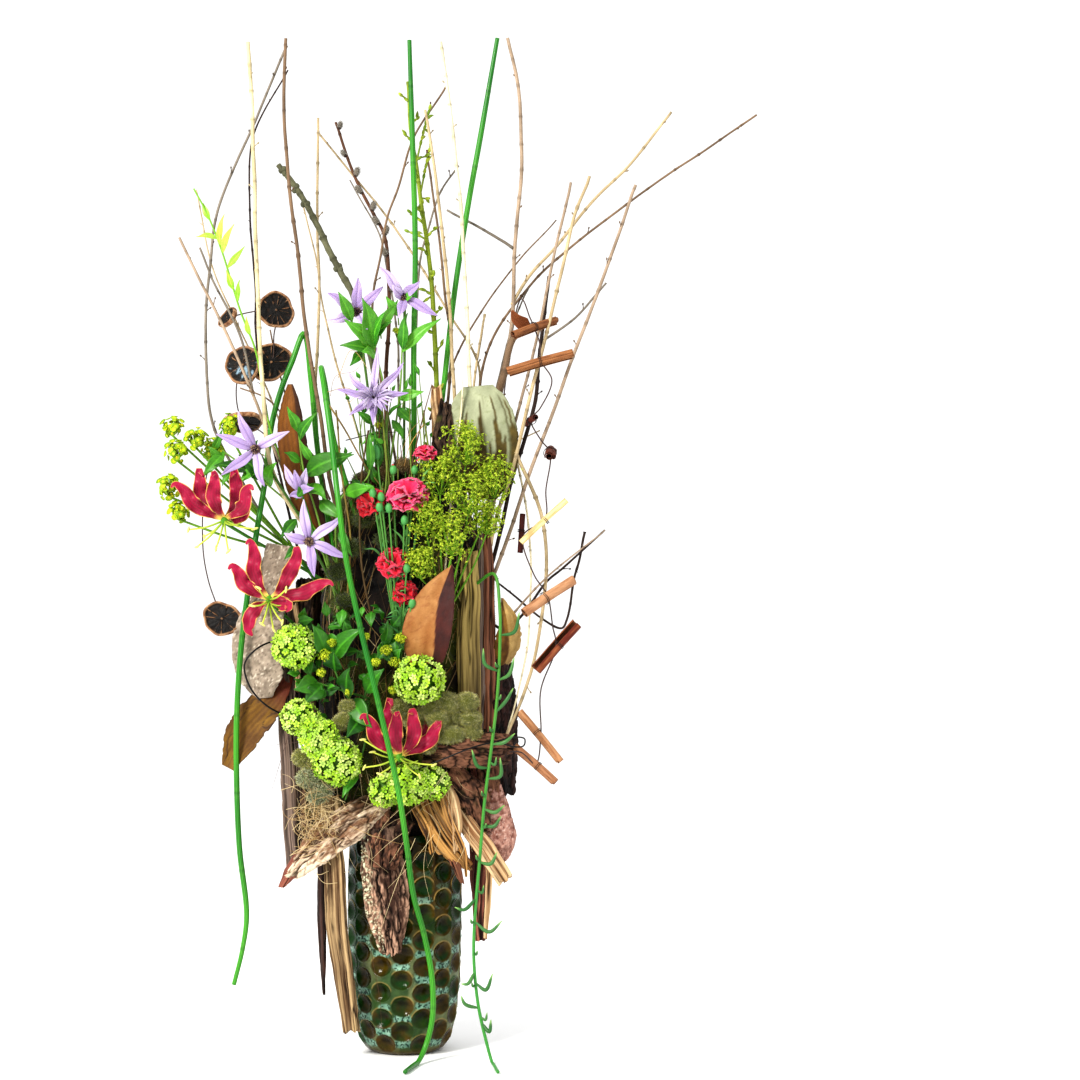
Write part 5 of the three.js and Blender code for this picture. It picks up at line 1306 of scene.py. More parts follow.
def shoots(shape, line, seed, colour, every=60.0, length=(5, 11), radius=0.7, buds=None):
    """Short side shoots and buds along a twig."""
    random = np.random.default_rng(seed)
    tangents = unit(np.gradient(line, axis=0))
    step = np.linalg.norm(np.diff(line, axis=0), axis=1).mean()
    count = int(len(line) * step / every)
    for k in range(count):
        i = int((k + 0.3 + 0.5 * random.random()) / max(count, 1) * (len(line) - 2)) + 1
        i = min(i, len(line) - 2)
        out = unit(random.normal(0, 1, 3))
        out = unit(out - tangents[i] * (out @ tangents[i]) + tangents[i] * 0.9)
        reach = random.uniform(*length)
        end = line[i] + out * reach
        path = spline([line[i], line[i] + out * reach * 0.5 + tangents[i] * 0.6, end], 1.5)
        tube(shape, path, [radius * 1.1, radius, radius * 0.5], colour, 6)
        if buds is not None:
            ball(shape, end, (radius * 1.5, radius * 1.5, radius * 2.6), buds, 6, 8, frame_=facing(out)[0])


RUSH_RADIUS = 3.2
RUSH_STEP = 2.4
RUSH_SIDES = 20
RUSH_RIBS = 10
RUSH_JOINT = 92  # from one joint to the next
LEFT_FOOT = [-62, 8, 566]
LEFT_TWIGS = [
    dict(
        path=[
            [-123, -30, 634], [-154, -52, 693], [-165, -56, 798], [-172, -60, 951], [-176, -62, 1104],
            [-181, -64, 1195],
        ],
        radius=[2.6, 2.5, 2.2],
    ),
    dict(
        path=[
            [-85, -12, 658], [-102, -30, 776], [-117, -30, 871], [-125, -30, 943], [-136, -30, 1026],
            [-142, -30, 1133], [-140, -30, 1206],
        ],
        radius=[2.4, 2.2, 1.9],
    ),
    dict(
        path=[
            [-128, 22, 586], [-207, 24, 695], [-234, 18, 755], [-241, 14, 863], [-235, 14, 948],
            [-226, 14, 1008], [-185, 14, 1107], [-143, 14, 1206],
        ],
        radius=[1.9, 1.7, 1.5],
    ),
    dict(
        path=[[-101, 20, 682], [-109, 20, 779], [-105, 20, 900], [-107, 20, 1021], [-106, 20, 1120]],
        radius=[1.9, 1.8, 1.4],
    ),
    dict(
        path=[
            [-114, -2, 634], [-161, -12, 730], [-178, -20, 777], [-207, -28, 848], [-242, -32, 919],
            [-266, -34, 969],
        ],
        radius=[1.9, 1.8, 1.5],
    ),
    dict(
        fork=True,
        path=[[-178, -20, 777], [-195, -22, 854], [-228, -24, 920], [-243, -24, 958]],
        radius=[1.6, 1.2],
    ),
]
MIDDLE_FOOT = [14, 24, 566]
MIDDLE_TWIGS = [
    dict(
        path=[
            [41, 20, 610], [81, -16, 729], [79, -26, 800], [74, -28, 895], [67, -30, 1014], [57, -30, 1109],
            [44, -30, 1202],
        ],
        radius=[2.4, 2.3, 1.8],
    ),
    dict(
        path=[
            [37, 6, 634], [59, -16, 723], [57, -18, 837], [50, -18, 932], [42, -18, 1010], [36, -18, 1054],
            [25, -18, 1123],
        ],
        radius=[2.2, 2.1, 1.5],
    ),
    dict(
        path=[
            [-17, 26, 731], [-41, 22, 888], [-29, 27, 961], [-22, 28, 1004], [-10, 30, 1037], [8, 30, 1095],
            [49, 30, 1161],
        ],
        radius=[1.7, 1.5, 1.2],
    ),
    dict(
        path=[[53, 28, 695], [89, 40, 814], [52, 52, 885], [8, 56, 957], [-24, 56, 1004], [-109, 56, 1108]],
        radius=[1.5, 1.4, 1.2],
    ),
    dict(
        path=[[11, 38, 756], [16, 40, 948], [26, 42, 987], [41, 45, 1034], [63, 45, 1066]],
        radius=[1.6, 1.4, 1.1],
    ),
]
RIGHT_FOOT = [84, 12, 510]
RIGHT_TWIGS = [
    dict(
        path=[
            [102, 10, 682], [110, 5, 778], [120, 8, 821], [128, 8, 875], [131, 8, 959], [139, 8, 1043],
            [137, 8, 1151], [123, 8, 1214],
        ],
        radius=[2.9, 2.6, 2.2, 2],
    ),
    dict(fork=True, path=[[130, 8, 961], [90, 8, 985], [50, 8, 1007]], radius=[1.9, 1.3]),
    dict(
        fork=True,
        path=[
            [128, 8, 893], [149, 14, 929], [181, 18, 964], [231, 22, 1025], [271, 24, 1064],
            [321, 26, 1128],
        ],
        radius=[2, 1.5],
    ),
    dict(
        path=[
            [87, 22, 731], [98, 22, 837], [150, 24, 918], [198, 26, 963], [283, 28, 1028], [425, 34, 1126],
        ],
        radius=[1.6, 1.5, 1.2],
    ),
    dict(
        path=[
            [119, -14, 600], [148, -20, 685], [177, -22, 760], [201, -22, 828], [228, -22, 896],
            [251, -22, 961], [276, -22, 1033],
        ],
        radius=[2.3, 2.1, 1.8],
    ),
    dict(
        path=[
            [110, -24, 634], [129, -30, 693], [150, -32, 782], [168, -32, 847], [186, -32, 919],
            [204, -32, 996], [221, -32, 1042],
        ],
        radius=[2.3, 2.1, 1.8],
    ),
    dict(
        path=[
            [105, -6, 646], [140, -8, 778], [160, -8, 861], [174, -8, 927], [186, -8, 981], [199, -8, 1038],
        ],
        radius=[2, 1.8, 1.6],
    ),
    dict(
        path=[
            [112, 4, 610], [126, 4, 674], [143, 4, 730], [156, 4, 778], [161, 4, 825], [166, 4, 874],
            [173, 4, 927],
        ],
        radius=[2.4, 2.4, 2.2],
    ),
    dict(
        fork=True,
        path=[[163, 4, 848], [204, 12, 877], [231, 14, 908], [242, 14, 920]],
        radius=[1.6, 1.2],
    ),
    dict(path=[[78, -2, 754], [96, -4, 881]], radius=[1.7, 1.3]),
    dict(
        fork=True,
        path=[[107, 8, 730], [112, 0, 785], [120, -9, 811], [127, -4, 844], [136, 4, 860]],
        radius=[4.2, 4.6, 3.4],
    ),
    dict(
        fork=True,
        path=[
            [133, -29, 715], [164, -20, 640], [169, -14, 586], [166, -12, 538], [158, -14, 479],
            [141, -26, 423], [121, -44, 376],
        ],
        radius=[2.2, 2, 1.8],
    ),
    dict(
        path=[[97, 4, 514], [119, 4, 502], [140, 5, 519], [170, 5, 560], [188, 5, 575], [240, 5, 622]],
        radius=[1.9, 1.6, 1.2],
    ),
]
GREY_BRANCH = [
    dict(
        path=[
            [-36, 0, 600], [-28, 2, 730], [-44, 0, 844], [-61, -2, 900], [-80, 0, 936], [-108, 2, 992],
            [-131, 4, 1033], [-153, 6, 1061],
        ],
        radius=[4.2, 4, 4, 3.8, 5.6, 3.8, 5.4, 4.4],
        sides=5,
    ),
]
CATKIN_BRANCH = [
    dict(
        path=[
            [-16, 34, 590], [-25, 38, 780], [-22, 43, 902], [-28, 46, 982], [-40, 46, 1006],
            [-57, 46, 1039], [-72, 46, 1073], [-87, 46, 1119],
        ],
        radius=[3.2, 3, 2.8, 5.4, 2.6, 5.2, 2.4, 2],
        sides=4,
    ),
]
BUDDED_STEM = [
    dict(
        path=[
            [30, 2, 600], [38, 2, 754], [37, 3, 814], [33, 5, 898], [27, 5, 959], [19, 5, 1019],
            [13, 5, 1061], [7, 5, 1103], [3, 5, 1161],
        ],
        radius=[3.2, 3, 2],
        sides=4,
    ),
]
BUD_SPRIGS = [
    ([12, 5, 1064], [29, 6, 1128]),
    ([19, 5, 1025], [30, 7, 1084]),
    ([23, 5, 989], [7, 2, 1003]),
    ([25, 5, 971], [4, 9, 981]),
    ([33, 5, 904], [18, 1, 892]),
]
RUSHES = {
    "rush_tall_left": [
        [8, -12, 600], [11, -8, 742], [11, -12, 837], [13, -14, 956], [10, -14, 1076], [6, -14, 1207],
    ],
    "rush_tall_right": [
        [48, -16, 600], [43, -6, 754], [49, -6, 814], [60, -6, 909], [78, -6, 1023], [90, -6, 1089],
        [111, -6, 1211],
    ],
    "rush_front": [
        [-46, -24, 606], [-84, -18, 729], [-94, -24, 795], [-97, -40, 814], [-92, -62, 792],
        [-81, -88, 726], [-71, -114, 656], [-61, -122, 587], [-45, -128, 512],
        [-27, -132, 438], [-12, -134, 375], [-1, -128, 323], [8, -112, 258], [15, -97, 198], [27, -84, 149],
        [36, -79, 96], [36, -79, 50], [28, -83, 18], [20, -100, RUSH_RADIUS + 0.4],
        [8, -150, RUSH_RADIUS + 0.4],
    ],
    "rush_side": [
        [-84, -12, 590], [-104, -10, 718], [-112, -8, 801], [-120, -12, 857], [-134, -18, 822],
        [-145, -22, 793], [-157, -26, 748],
        [-165, -34, 675], [-172, -50, 622], [-181, -62, 551], [-189, -66, 481], [-194, -66, 399],
        [-194, -64, 316], [-191, -62, 246],
        [-183, -60, 169], [-188, -60, 128], [-198, -60, 87],
    ],
}


LEFT_LOOKS = [PALE_STRAW, TWIG_BROWN, GREY_TWIG, STRAW, ROD_PINK, GREY_TWIG]
MIDDLE_LOOKS = [CREAM, STRAW, TWIG_BROWN, STRAW, GREY_TWIG]
RIGHT_LOOKS = [
    ROD_PINK, GREY_TWIG, STRAW, TWIG_BROWN, ROD_PINK, STRAW, ROD_PINK, TWIG_DARK, GREY_TWIG, STRAW,
    TWIG_BROWN, STRAW, TWIG_DARK,
]


def bunch(name, slot, foot, twigs, looks, seed):
    """A bunch of bare twigs that rise from one foot."""
    shape = Shape()
    for k, (one, colour) in enumerate(zip(twigs, looks)):
        path = one["path"] if one.get("fork") else [foot, *one["path"]]
        line = twig(
            shape, path, one["radius"], colour, seed=seed + k, nodes=34 + 9 * (k % 3),
            swell=0.3 + 0.25 * (k % 2),
        )
        shoots(
            shape, line, seed * 10 + k, mix(colour, TWIG_DARK, 0.35), 74 + 20 * (k % 2),
            buds=mix(colour, TWIG_DARK, 0.5),
        )
    ball(shape, foot, (22, 11, 9), TWIG_DARK, 8, 12)
    make(name + "_bark", shape, slot, [name])


bunch("twigs_left", "straw_twig", LEFT_FOOT, LEFT_TWIGS, LEFT_LOOKS, 101)
bunch("twigs_middle", "straw_twig", MIDDLE_FOOT, MIDDLE_TWIGS, MIDDLE_LOOKS, 121)
bunch("twigs_right", "brown_twig", RIGHT_FOOT, RIGHT_TWIGS, RIGHT_LOOKS, 141)

# Thinner twigs of the thicket: [points, radius, colour].
THIN_TWIGS = [
    [
        [
            (-127, 10, 586), (-166, 14, 755), (-181, 16, 863), (-182, 16, 912), (-188, 16, 1008),
            (-182, 16, 1101), (-142, 16, 1177),
        ],
        [1.7, 1.3, 0.9],
        TWIG_DARK,
    ],
    [
        [
            (-55, 10, 538), (-128, 20, 695), (-174, 26, 804), (-206, 26, 876), (-233, 26, 939),
            (-254, 26, 1034),
        ],
        [1.3, 1.1, 0.8],
        STRAW,
    ],
    [
        [
            (17, 20, 586), (49, 12, 755), (56, 8, 845), (50, 6, 887), (42, 5, 959), (33, 5, 1019),
            (26, 5, 1079),
        ],
        [2.0, 1.7, 1.2],
        TWIG_BROWN,
    ],
    [[(55, 30, 586), (77, 26, 755), (85, 26, 816), (94, 26, 879)], [1.2, 0.9], TWIG_BROWN],
    [[(77, 20, 586), (106, 20, 779), (128, 20, 864), (148, 20, 914)], [1.5, 1.1, 0.9], GREY_TWIG],
    [
        [(133, -10, 715), (148, -14, 634), (151, -14, 550), (142, -12, 455), (120, -10, 373)],
        [1.3, 1.1, 1.0],
        CREAM,
    ],
    [[(112, -20, 498), (143, -20, 538), (186, -14, 579), (240, -8, 622)], [1.4, 1.1, 0.8], ROD_PINK],
    [
        [
            (216, 10, 620), (210, 10, 586), (203, 10, 562), (194, 6, 515), (188, 2, 504), (162, -6, 517),
            (106, -14, 565),
        ],
        [1.5, 1.4, 1.1],
        TWIG_DARK,
    ],
    [
        [(-90, 0, 586), (-98, -20, 693), (-124, -24, 729), (-162, -24, 777), (-195, -24, 791)],
        [1.1, 0.9],
        TWIG_BROWN,
    ],
    [[(3, -30, 491), (-5, -60, 586), (-17, -62, 692), (-26, -58, 775)], [1.3, 1.1], rgb("7d8a3c")],
    [[(19, -30, 491), (35, -56, 586), (33, -58, 681), (25, -50, 763)], [1.2, 1.0], rgb("7d8a3c")],
    [[(43, -30, 491), (53, -40, 610), (65, -38, 728), (70, -36, 800)], [1.3, 1.0], CREAM],
    [[(-66, -60, 528), (-61, -66, 610), (-70, -66, 680), (-78, -60, 763)], [1.2, 1.0], rgb("94834a")],
    [[(-36, -60, 516), (-47, -68, 587), (-49, -66, 657), (-40, -60, 739)], [1.2, 1.0], rgb("6d5a3c")],
    [[(55, 40, 659), (77, 50, 695), (113, 56, 720), (162, 56, 744)], [1.1, 0.8], STRAW],
    [[(-94, 50, 659), (-132, 60, 732), (-149, 60, 781), (-168, 56, 867)], [1.3, 0.9], TWIG_BROWN],
    [[(-9, 60, 757), (-15, 66, 868), (-34, 66, 978), (-71, 62, 1051)], [1.5, 1.2, 0.8], GREY_TWIG],
    [[(27, 62, 757), (76, 68, 868), (137, 66, 953), (182, 62, 1002)], [1.5, 1.1, 0.8], TWIG_BROWN],
    [[(-58, 62, 732), (-96, 70, 856), (-113, 68, 954), (-132, 62, 1039)], [1.4, 1.1, 0.8], STRAW],
]


def thin_twigs():
    """The thin twigs among the thick ones."""
    shape = Shape()
    for k, (path, radius, colour) in enumerate(THIN_TWIGS):
        line = twig(
            shape, path, radius, colour, seed=171 + k, nodes=24 + 6 * (k % 4), swell=0.4, wobble=0.8,
        )
        shoots(shape, line, 300 + k, mix(colour, TWIG_DARK, 0.3), 60, (3, 8), 0.5)
    make("twigs_thin", shape, "brown_twig")


thin_twigs()


def grey_branch():
    """A knobbed branch, with lichen on its bark and cut ends on its knobs."""
    shape = Shape()
    for one in GREY_BRANCH:
        line = twig(
            shape, one["path"], [4.2, 4.1, 4.0, 4.0, 4.0, 3.8, 3.6, 3.4], rgb("6f6f58"), nodes=30,
            swell=0.4, seed=181, sides=14, lumps=0.16,
        )
    for at in ((-131, 2, 1033), (-80, 0, 936), (-148, 6, 1052), (-126, 2, 1012)):
        i = nearest(line, at)
        for k in range(3):
            out = unit(np.array([math.cos(2.4 * k + i), 0.5 * math.sin(5 * k), math.sin(2.4 * k + i)]))
            tint = mix(rgb("3a3a2c"), rgb("6f705a"), 0.5 + 0.3 * math.sin(k))
            place = line[i] + out * 3.2
            ball(shape, place, (3.4, 3.2, 3.8), tint, 8, 10, lambda d: 0.14 * fbm(d * 5 + i, 1.6, 2, 3))
    make("branch_grey_bark", shape, "grey_branch", ["branch_grey"])


def catkin_branch():
    """A brown branch, with fluffy grey catkins that sit along it."""
    shape, fluff = Shape(), Shape()
    for one in CATKIN_BRANCH:
        line = twig(
            shape, one["path"], [3.2, 3.0, 2.8, 2.5, 2.4, 2.2, 2.0, 1.6], rgb("6a4a34"), nodes=38,
            swell=0.5, seed=191, sides=10,
        )
    random = np.random.default_rng(193)
    hair = spike(0.14, 2.2)
    for k, at in enumerate(
        (
            (-82, 46, 1114), (-71, 46, 1078), (-60, 46, 1057), (-54, 46, 1034), (-48, 46, 1011),
            (-40, 46, 991), (-35, 46, 982), (-33, 46, 957), (-26, 44, 914),
        )
    ):
        i = nearest(line, at)
        tangent = unit(line[min(i + 1, len(line) - 1)] - line[i - 1])
        out = unit(np.array([(-1) ** k, -0.7, 0.4]) + 0.2 * random.normal(0, 1, 3))
        axis = unit(out + 1.1 * tangent)
        size = np.array([3.1, 3.1, 5.6]) * (0.75 if k in (0, 1) else 1.0)
        centre = line[i] + out * 3.4 + axis * 2
        turned = facing(axis)[0]
        ball(fluff, centre, size, rgb("8b8478"), 12, 14, frame_=turned)
        d = spread(420)
        places = centre + (d * size) @ turned.T
        outs = unit((d / size) @ turned.T)
        shades = mix(rgb("6f675c"), rgb("d6d2c8"), random.random(420) ** 1.3)
        stamp(
            fluff, hair, SPIKE_FACES, shades, facing(unit(outs + 0.6 * axis), random.uniform(0, 6, 420)),
            places, random.uniform(0.7, 1.3, 420),
        )
        ball(shape, centre - axis * size[2] * 0.8, (2.5, 2.5, 2.2), rgb("3a241a"), 8, 10, frame_=turned)
    make("branch_catkin_bark", shape, "brown_twig", ["branch_catkin"])
    make("catkins", fluff, "grey_leaf")


grey_branch()
catkin_branch()


def budded_stem():
    """A yellow-green stem, with plump pointed buds and small leaves on its sprigs."""
    shape = Shape()
    random = np.random.default_rng(201)
    for one in BUDDED_STEM:
        line = twig(
            shape, one["path"], one["radius"], rgb("93a334"), nodes=40, swell=0.35, seed=203, sides=10,
        )
    starts = [(np.array(a, float), np.array(b, float)) for a, b in BUD_SPRIGS]
    for i in range(18, len(line) - 2, 9):
        out = unit(np.array([(-1) ** (i // 9), -0.5, 0.0]) + 0.4 * random.normal(0, 1, 3))
        starts.append((line[i], line[i] + out * random.uniform(7, 12) + np.array([0, 0, 6.0])))
    for a, b in starts:
        root = line[nearest(line, a)]
        path = spline([root, (root + b) / 2 + np.array([0, -1.5, 1.0]), b], 1.6)
        tube(shape, path, [1.3, 1.0], rgb("7f9030"), 7)
        for k, spot in enumerate(np.linspace(0.35, 1.0, max(2, int(len(path) / 5)))):
            at = path[int(spot * (len(path) - 1))]
            axis = unit(b - root + 4 * random.normal(0, 1, 3) * 0.6)
            green = mix(rgb("6f8a22"), rgb("b4c04a"), random.random())
            ball(shape, at + axis * 2.6, (1.9, 1.9, 3.8), green, 8, 9, frame_=facing(axis)[0])
            if k % 2:
                tip = at + unit(axis + random.normal(0, 0.7, 3)) * 10
                blade(
                    shape, [at, (at + tip) / 2 + np.array([0, -1.5, 1]), tip], FRONT, [0.6, 4.2, 3.2, 0.3],
                    green * 0.8, thick=0.5, spacing=1.4, columns=5, fold=0.25,
                )
    make("stem_budded_green", shape, "green_stem", ["stem_budded"])


budded_stem()


def rush(name, path):
    """A green rush with fine ribs along it, with painted shade in their grooves and painted highlight on
    their crests, and a dark ring at each joint.
    """
    shape = Shape()
    line = spline(path, RUSH_STEP)
    line[:, 2] = np.maximum(line[:, 2], RUSH_RADIUS + 0.4)
    n = len(line)
    run = RUSH_STEP * np.arange(n)
    joints = np.abs(run / RUSH_JOINT - np.round(run / RUSH_JOINT)) * RUSH_JOINT
    ring = np.exp(-((joints / 1.6) ** 2))
    taper = 1 - 0.22 * smoothstep(run[-1] - 130, run[-1], run)
    size = RUSH_RADIUS * taper * (1 + 0.05 * ring)
    turn = np.linspace(0, FULL, RUSH_SIDES, endpoint=False)
    ribs = 0.055 * np.cos(RUSH_RIBS * turn)[None] * np.ones((n, 1))
    base = mix(
        rgb("2c8030"),
        rgb("5cac3c"),
        0.5 + 0.5 * noise(np.stack([run * 0, run * 0, run], -1), 70, 3),
    )
    base = mix(base, rgb("0d3a1c"), 0.3 * ring)
    base = mix(base, rgb("8fbf5a"), 0.12 * np.exp(-(((joints - 4) / 3) ** 2)))
    # Painted shade in the grooves between the ribs and painted highlight on their crests.
    shade = mix(
        base[:, None] * 0.4,
        base[:, None] * 1.25,
        (0.5 + 0.5 * np.cos(RUSH_RIBS * turn))[None] * np.ones((n, 1)),
    )
    _, u, w = carried(line)
    ring_points = np.cos(turn)[None, :, None] * u[:, None] + np.sin(turn)[None, :, None] * w[:, None]
    reach = size[:, None] * (1 + ribs)
    grain = np.stack([reach * np.cos(turn), reach * np.sin(turn), run[:, None] + 0 * reach], -1)
    loft(shape, line[:, None] + reach[..., None] * ring_points, shade, grain)
    make(name + "_stem", shape, "rush", [name])


for piece_name, path in RUSHES.items():
    rush(piece_name, path)


# ---------------------------------------------------------------- fresh flowers
CLEMATIS = {
    "clematis_left": dict(
        heart=[-170, -80, 716],
        foot=[-68, -14, 548],
        tips=[[-190, -88, 760], [-130, -90, 737], [-159, -96, 672], [-208, -92, 684], [-215, -84, 735]],
    ),
    "clematis_low": dict(
        heart=[-106, -96, 608],
        foot=[-50, -24, 490],
        tips=[[-113, -104, 657], [-66, -104, 638], [-60, -98, 591], [-100, -106, 567], [-135, -98, 618]],
    ),
    "clematis_top": dict(
        heart=[1, -40, 897],
        foot=[0, -30, 630],
        tips=[[-26, -50, 933], [20, -58, 915], [41, -46, 875], [-5, -66, 871], [-12, -60, 909]],
    ),
    "clematis_back": dict(
        heart=[-55, -34, 880],
        foot=[-22, -26, 630],
        tips=[[-89, -44, 902], [-55, -30, 921], [-23, -38, 909], [-90, -40, 869], [-42, -62, 857]],
    ),
    "clematis_double": dict(
        heart=[-33, -62, 777],
        foot=[-8, -40, 610],
        tips=[
            [-76, -70, 785], [-62, -78, 757], [-65, -58, 807], [-29, -56, 837], [2, -66, 818],
            [8, -76, 783], [-34, -84, 744],
        ],
    ),
}
GLORIOSA = {
    "gloriosa_left": {
        "heart": [-207, -78, 633],
        "foot": [-80, -10, 552],
        "tips": [
            [-260, -92, 675], [-240, -70, 692], [-215, -98, 688], [-194, -70, 691], [-177, -96, 672],
            [-184, -58, 651],
        ],
        "bulge": 11,
        "stamens": [
            [-247, -92, 622], [-236, -100, 602], [-216, -84, 600], [-169, -98, 623], [-198, -112, 597],
            [-233, -60, 614],
        ],
    },
    "gloriosa_middle": {
        "heart": [-153, -92, 540],
        "foot": [-84, -10, 466],
        "tips": [
            [-172, -100, 609], [-117, -104, 600], [-193, -96, 580], [-179, -104, 506], [-84, -108, 561],
            [-125, -118, 534],
        ],
        "bulge": 8,
        "stamens": [
            [-170, -116, 534], [-158, -120, 513], [-135, -118, 515], [-130, -126, 553], [-162, -124, 555],
            [-147, -100, 506],
        ],
    },
    "gloriosa_low": {
        "heart": [-1, -96, 358],
        "foot": [-6, -40, 350],
        "tips": [
            [-40, -98, 406], [-15, -82, 424], [-3, -112, 411], [17, -104, 412], [34, -84, 407],
            [47, -100, 399],
        ],
        "bulge": 9,
        "stamens": [
            [-43, -108, 379], [-42, -100, 346], [-23, -116, 340], [23, -112, 337], [39, -100, 349],
            [-34, -76, 362],
        ],
    },
}
GUELDER = {
    "guelder_upper_left": dict(foot=[-70, -18, 466], globes=[[[-124, -86, 486], 26]]),
    "guelder_right": dict(foot=[16, -44, 440], globes=[[[22, -92, 447], 29]]),
    "guelder_lower_left": dict(
        foot=[-60, -22, 360],
        globes=[[[-118, -88, 403], 22], [[-96, -94, 381], 23], [[-74, -90, 352], 28]],
    ),
    "guelder_low": dict(
        foot=[-4, -44, 320],
        globes=[[[-18, -84, 318], 20], [[9, -88, 325], 24], [[38, -78, 326], 19]],
    ),
}
MANTLE_FOOT = [44, -24, 500]
MANTLE_FORK = [50, -62, 520]
MANTLE_UMBELS = [
    [[75, -60, 723], 25], [[108, -58, 683], 24], [[45, -70, 687], 25], [[78, -78, 664], 25],
    [[29, -82, 640], 23],
    [[59, -86, 617], 26], [[99, -64, 636], 20], [[22, -84, 584], 19],
]
SPURGE_FOOT = [-84, 4, 530]
SPURGE_FORK = [-132, -6, 596]
SPURGE_UMBELS = [
    [[-272, -46, 744], 12], [[-243, -54, 730], 13], [[-266, -58, 715], 12], [[-276, -54, 674], 14],
    [[-206, -40, 746], 12], [[-226, -34, 718], 12], [[-264, -50, 644], 11],
]
CARNATION_FOOT = [-4, -44, 440]
CARNATIONS = [
    dict(heart=[8, -76, 659], face=[0, -0.7, 0.9], radius=23),
    dict(heart=[27, -62, 709], face=[0, -0.3, 1], radius=13),
    dict(heart=[-34, -72, 652], face=[-0.5, -0.8, 0.7], radius=17),
    dict(heart=[-9, -78, 582], face=[0, -0.9, 0.6], radius=18),
    dict(heart=[3, -78, 549], face=[0.3, -1, 0.1], radius=14),
]
CARNATION_BUDS = [[-30, -62, 713], [13, -90, 536]]
CRESTS = {
    "crest_right": dict(
        foot=[34, -28, 398],
        lobes=[[42, -78, 402], [63, -82, 423], [82, -77, 404], [62, -80, 385]],
        radius=18,
    ),
    "crest_left": dict(foot=[-84, -12, 350], lobes=[[-108, -70, 350], [-95, -74, 328]], radius=18),
}

STALK_GREEN = rgb("4f8a2a")
CRIMSON = rgb("a8044a")
DEEP_CRIMSON = rgb("68042a")
PETAL_YELLOW = rgb("e8d070")


GLORIOSA_WIDTHS = [3.4, 8, 15.5, 18, 16, 10.5, 2.5]


def gloriosa(name, facts, seed):
    """Waved crimson petals with yellow margins, swept back from a green heart with long stamens."""
    shape = Shape()
    random = np.random.default_rng(seed)
    heart = np.array(facts["heart"], float)
    for i, tip in enumerate(facts["tips"]):
        tip = np.array(tip, float)
        reach = tip - heart
        length = np.linalg.norm(reach)
        outward = unit(np.array([reach[0], reach[1] + 4, 0.0]))
        side = unit(np.cross(FRONT, reach))
        bulge = facts["bulge"]
        spine = [
            heart + reach * 0.03,
            heart + reach * 0.22 + outward * bulge * 0.75,
            heart + reach * 0.5 + outward * bulge * 0.95 + side * 2.0 * math.sin(i),
            heart + reach * 0.8 + outward * bulge * 0.35 - side * 1.5 * math.cos(i),
            tip + outward * (3 if i % 2 == 0 else -3),
            tip + outward * (7 if i % 2 == 0 else -8) - np.array([0, 0, 4.0 + 3 * (i % 2)]),
        ]
        phase = random.uniform(0, 6, 2)

        def ripple(t, u, phase=phase, length=length):
            wave = np.where(
                u > 0, np.sin(length / 8.5 * t * FULL / 2.4 + phase[0]),
                np.sin(length / 8.5 * t * FULL / 2.2 + phase[1]),
            )
            return 6.2 * wave * np.abs(u) ** 1.7 * np.sin(np.clip(t * 1.1, 0, 1) * math.pi) ** 0.6

        def tint(u, t, under, i=i):
            edge = smoothstep(0.88, 0.98, np.abs(u) + 0.03 * np.sin(t * 40 + i))
            base = 1 - smoothstep(0.04, 0.17, t)
            vein = 0.5 + 0.5 * np.cos(u * 34)
            colour = mix(CRIMSON, DEEP_CRIMSON, 0.35 * vein + 0.4 * (1 - np.abs(u)) * (1 - t))
            colour = mix(colour, rgb("b81458"), 0.3 * smoothstep(0.3, 0.9, t))
            colour = mix(colour, PETAL_YELLOW, np.maximum(0.95 * edge * (1 - 0.3 * t), base))
            return mix(colour, mix(rgb("d8b23c"), CRIMSON, 0.55), 0.35 * under)

        out = (0.12 * math.sin(i), -1, 0.1)
        fold = -0.05 + 0.2 * (i % 3 == 0)
        blade(
            shape, spine, out, GLORIOSA_WIDTHS, tint,
            thick=0.9, spacing=1.5, columns=17, fold=fold, cup=0.12, ripple=ripple,
        )
    for tip in facts["stamens"]:
        tip = np.array(tip, float)
        path = spline([heart, heart + (tip - heart) * 0.5 + np.array([0, -2.0, -2.5]), tip], 2)
        tube(
            shape,
            path,
            [1.25, 1.1, 0.9],
            mix(rgb("86a830"), rgb("d2d860"), np.linspace(0, 1, len(path))),
            7,
        )
        across = facing(unit(np.array([random.normal(), 0.3, random.normal()])))[0]
        ball(shape, tip, (1.5, 1.5, 4.4), rgb("d6d284"), 8, 9, frame_=across)
    ball(
        shape,
        heart,
        (4.6, 4.6, 5.6),
        rgb("5f9a2a"),
        10,
        12,
        lambda d: 0.12 * np.cos(3 * np.arctan2(d[..., 1], d[..., 0])),
    )
    style = spline(
        [
            heart, heart + np.array([4, -8, -4]), heart + np.array([14, -14, -6]),
            heart + np.array([22, -16, -3]),
        ],
        2,
    )
    tube(shape, style, [1.2, 0.8, 0.6], rgb("9fb23a"), 7)
    back = heart + np.array([0, 22, -4.0])
    stalk = spline([facts["foot"], back, heart], 3)
    tube(shape, stalk, [2.0, 1.8, 2.2], STALK_GREEN, 10)
    make(name + "_bloom", shape, "gloriosa_petal", [name])


for seed, (piece_name, facts) in enumerate(GLORIOSA.items()):
    gloriosa(piece_name, facts, 211 + seed)


LILAC = rgb("a692bc")
PALE_LILAC = rgb("cfc4da")
DARK_LILAC = rgb("785f96")


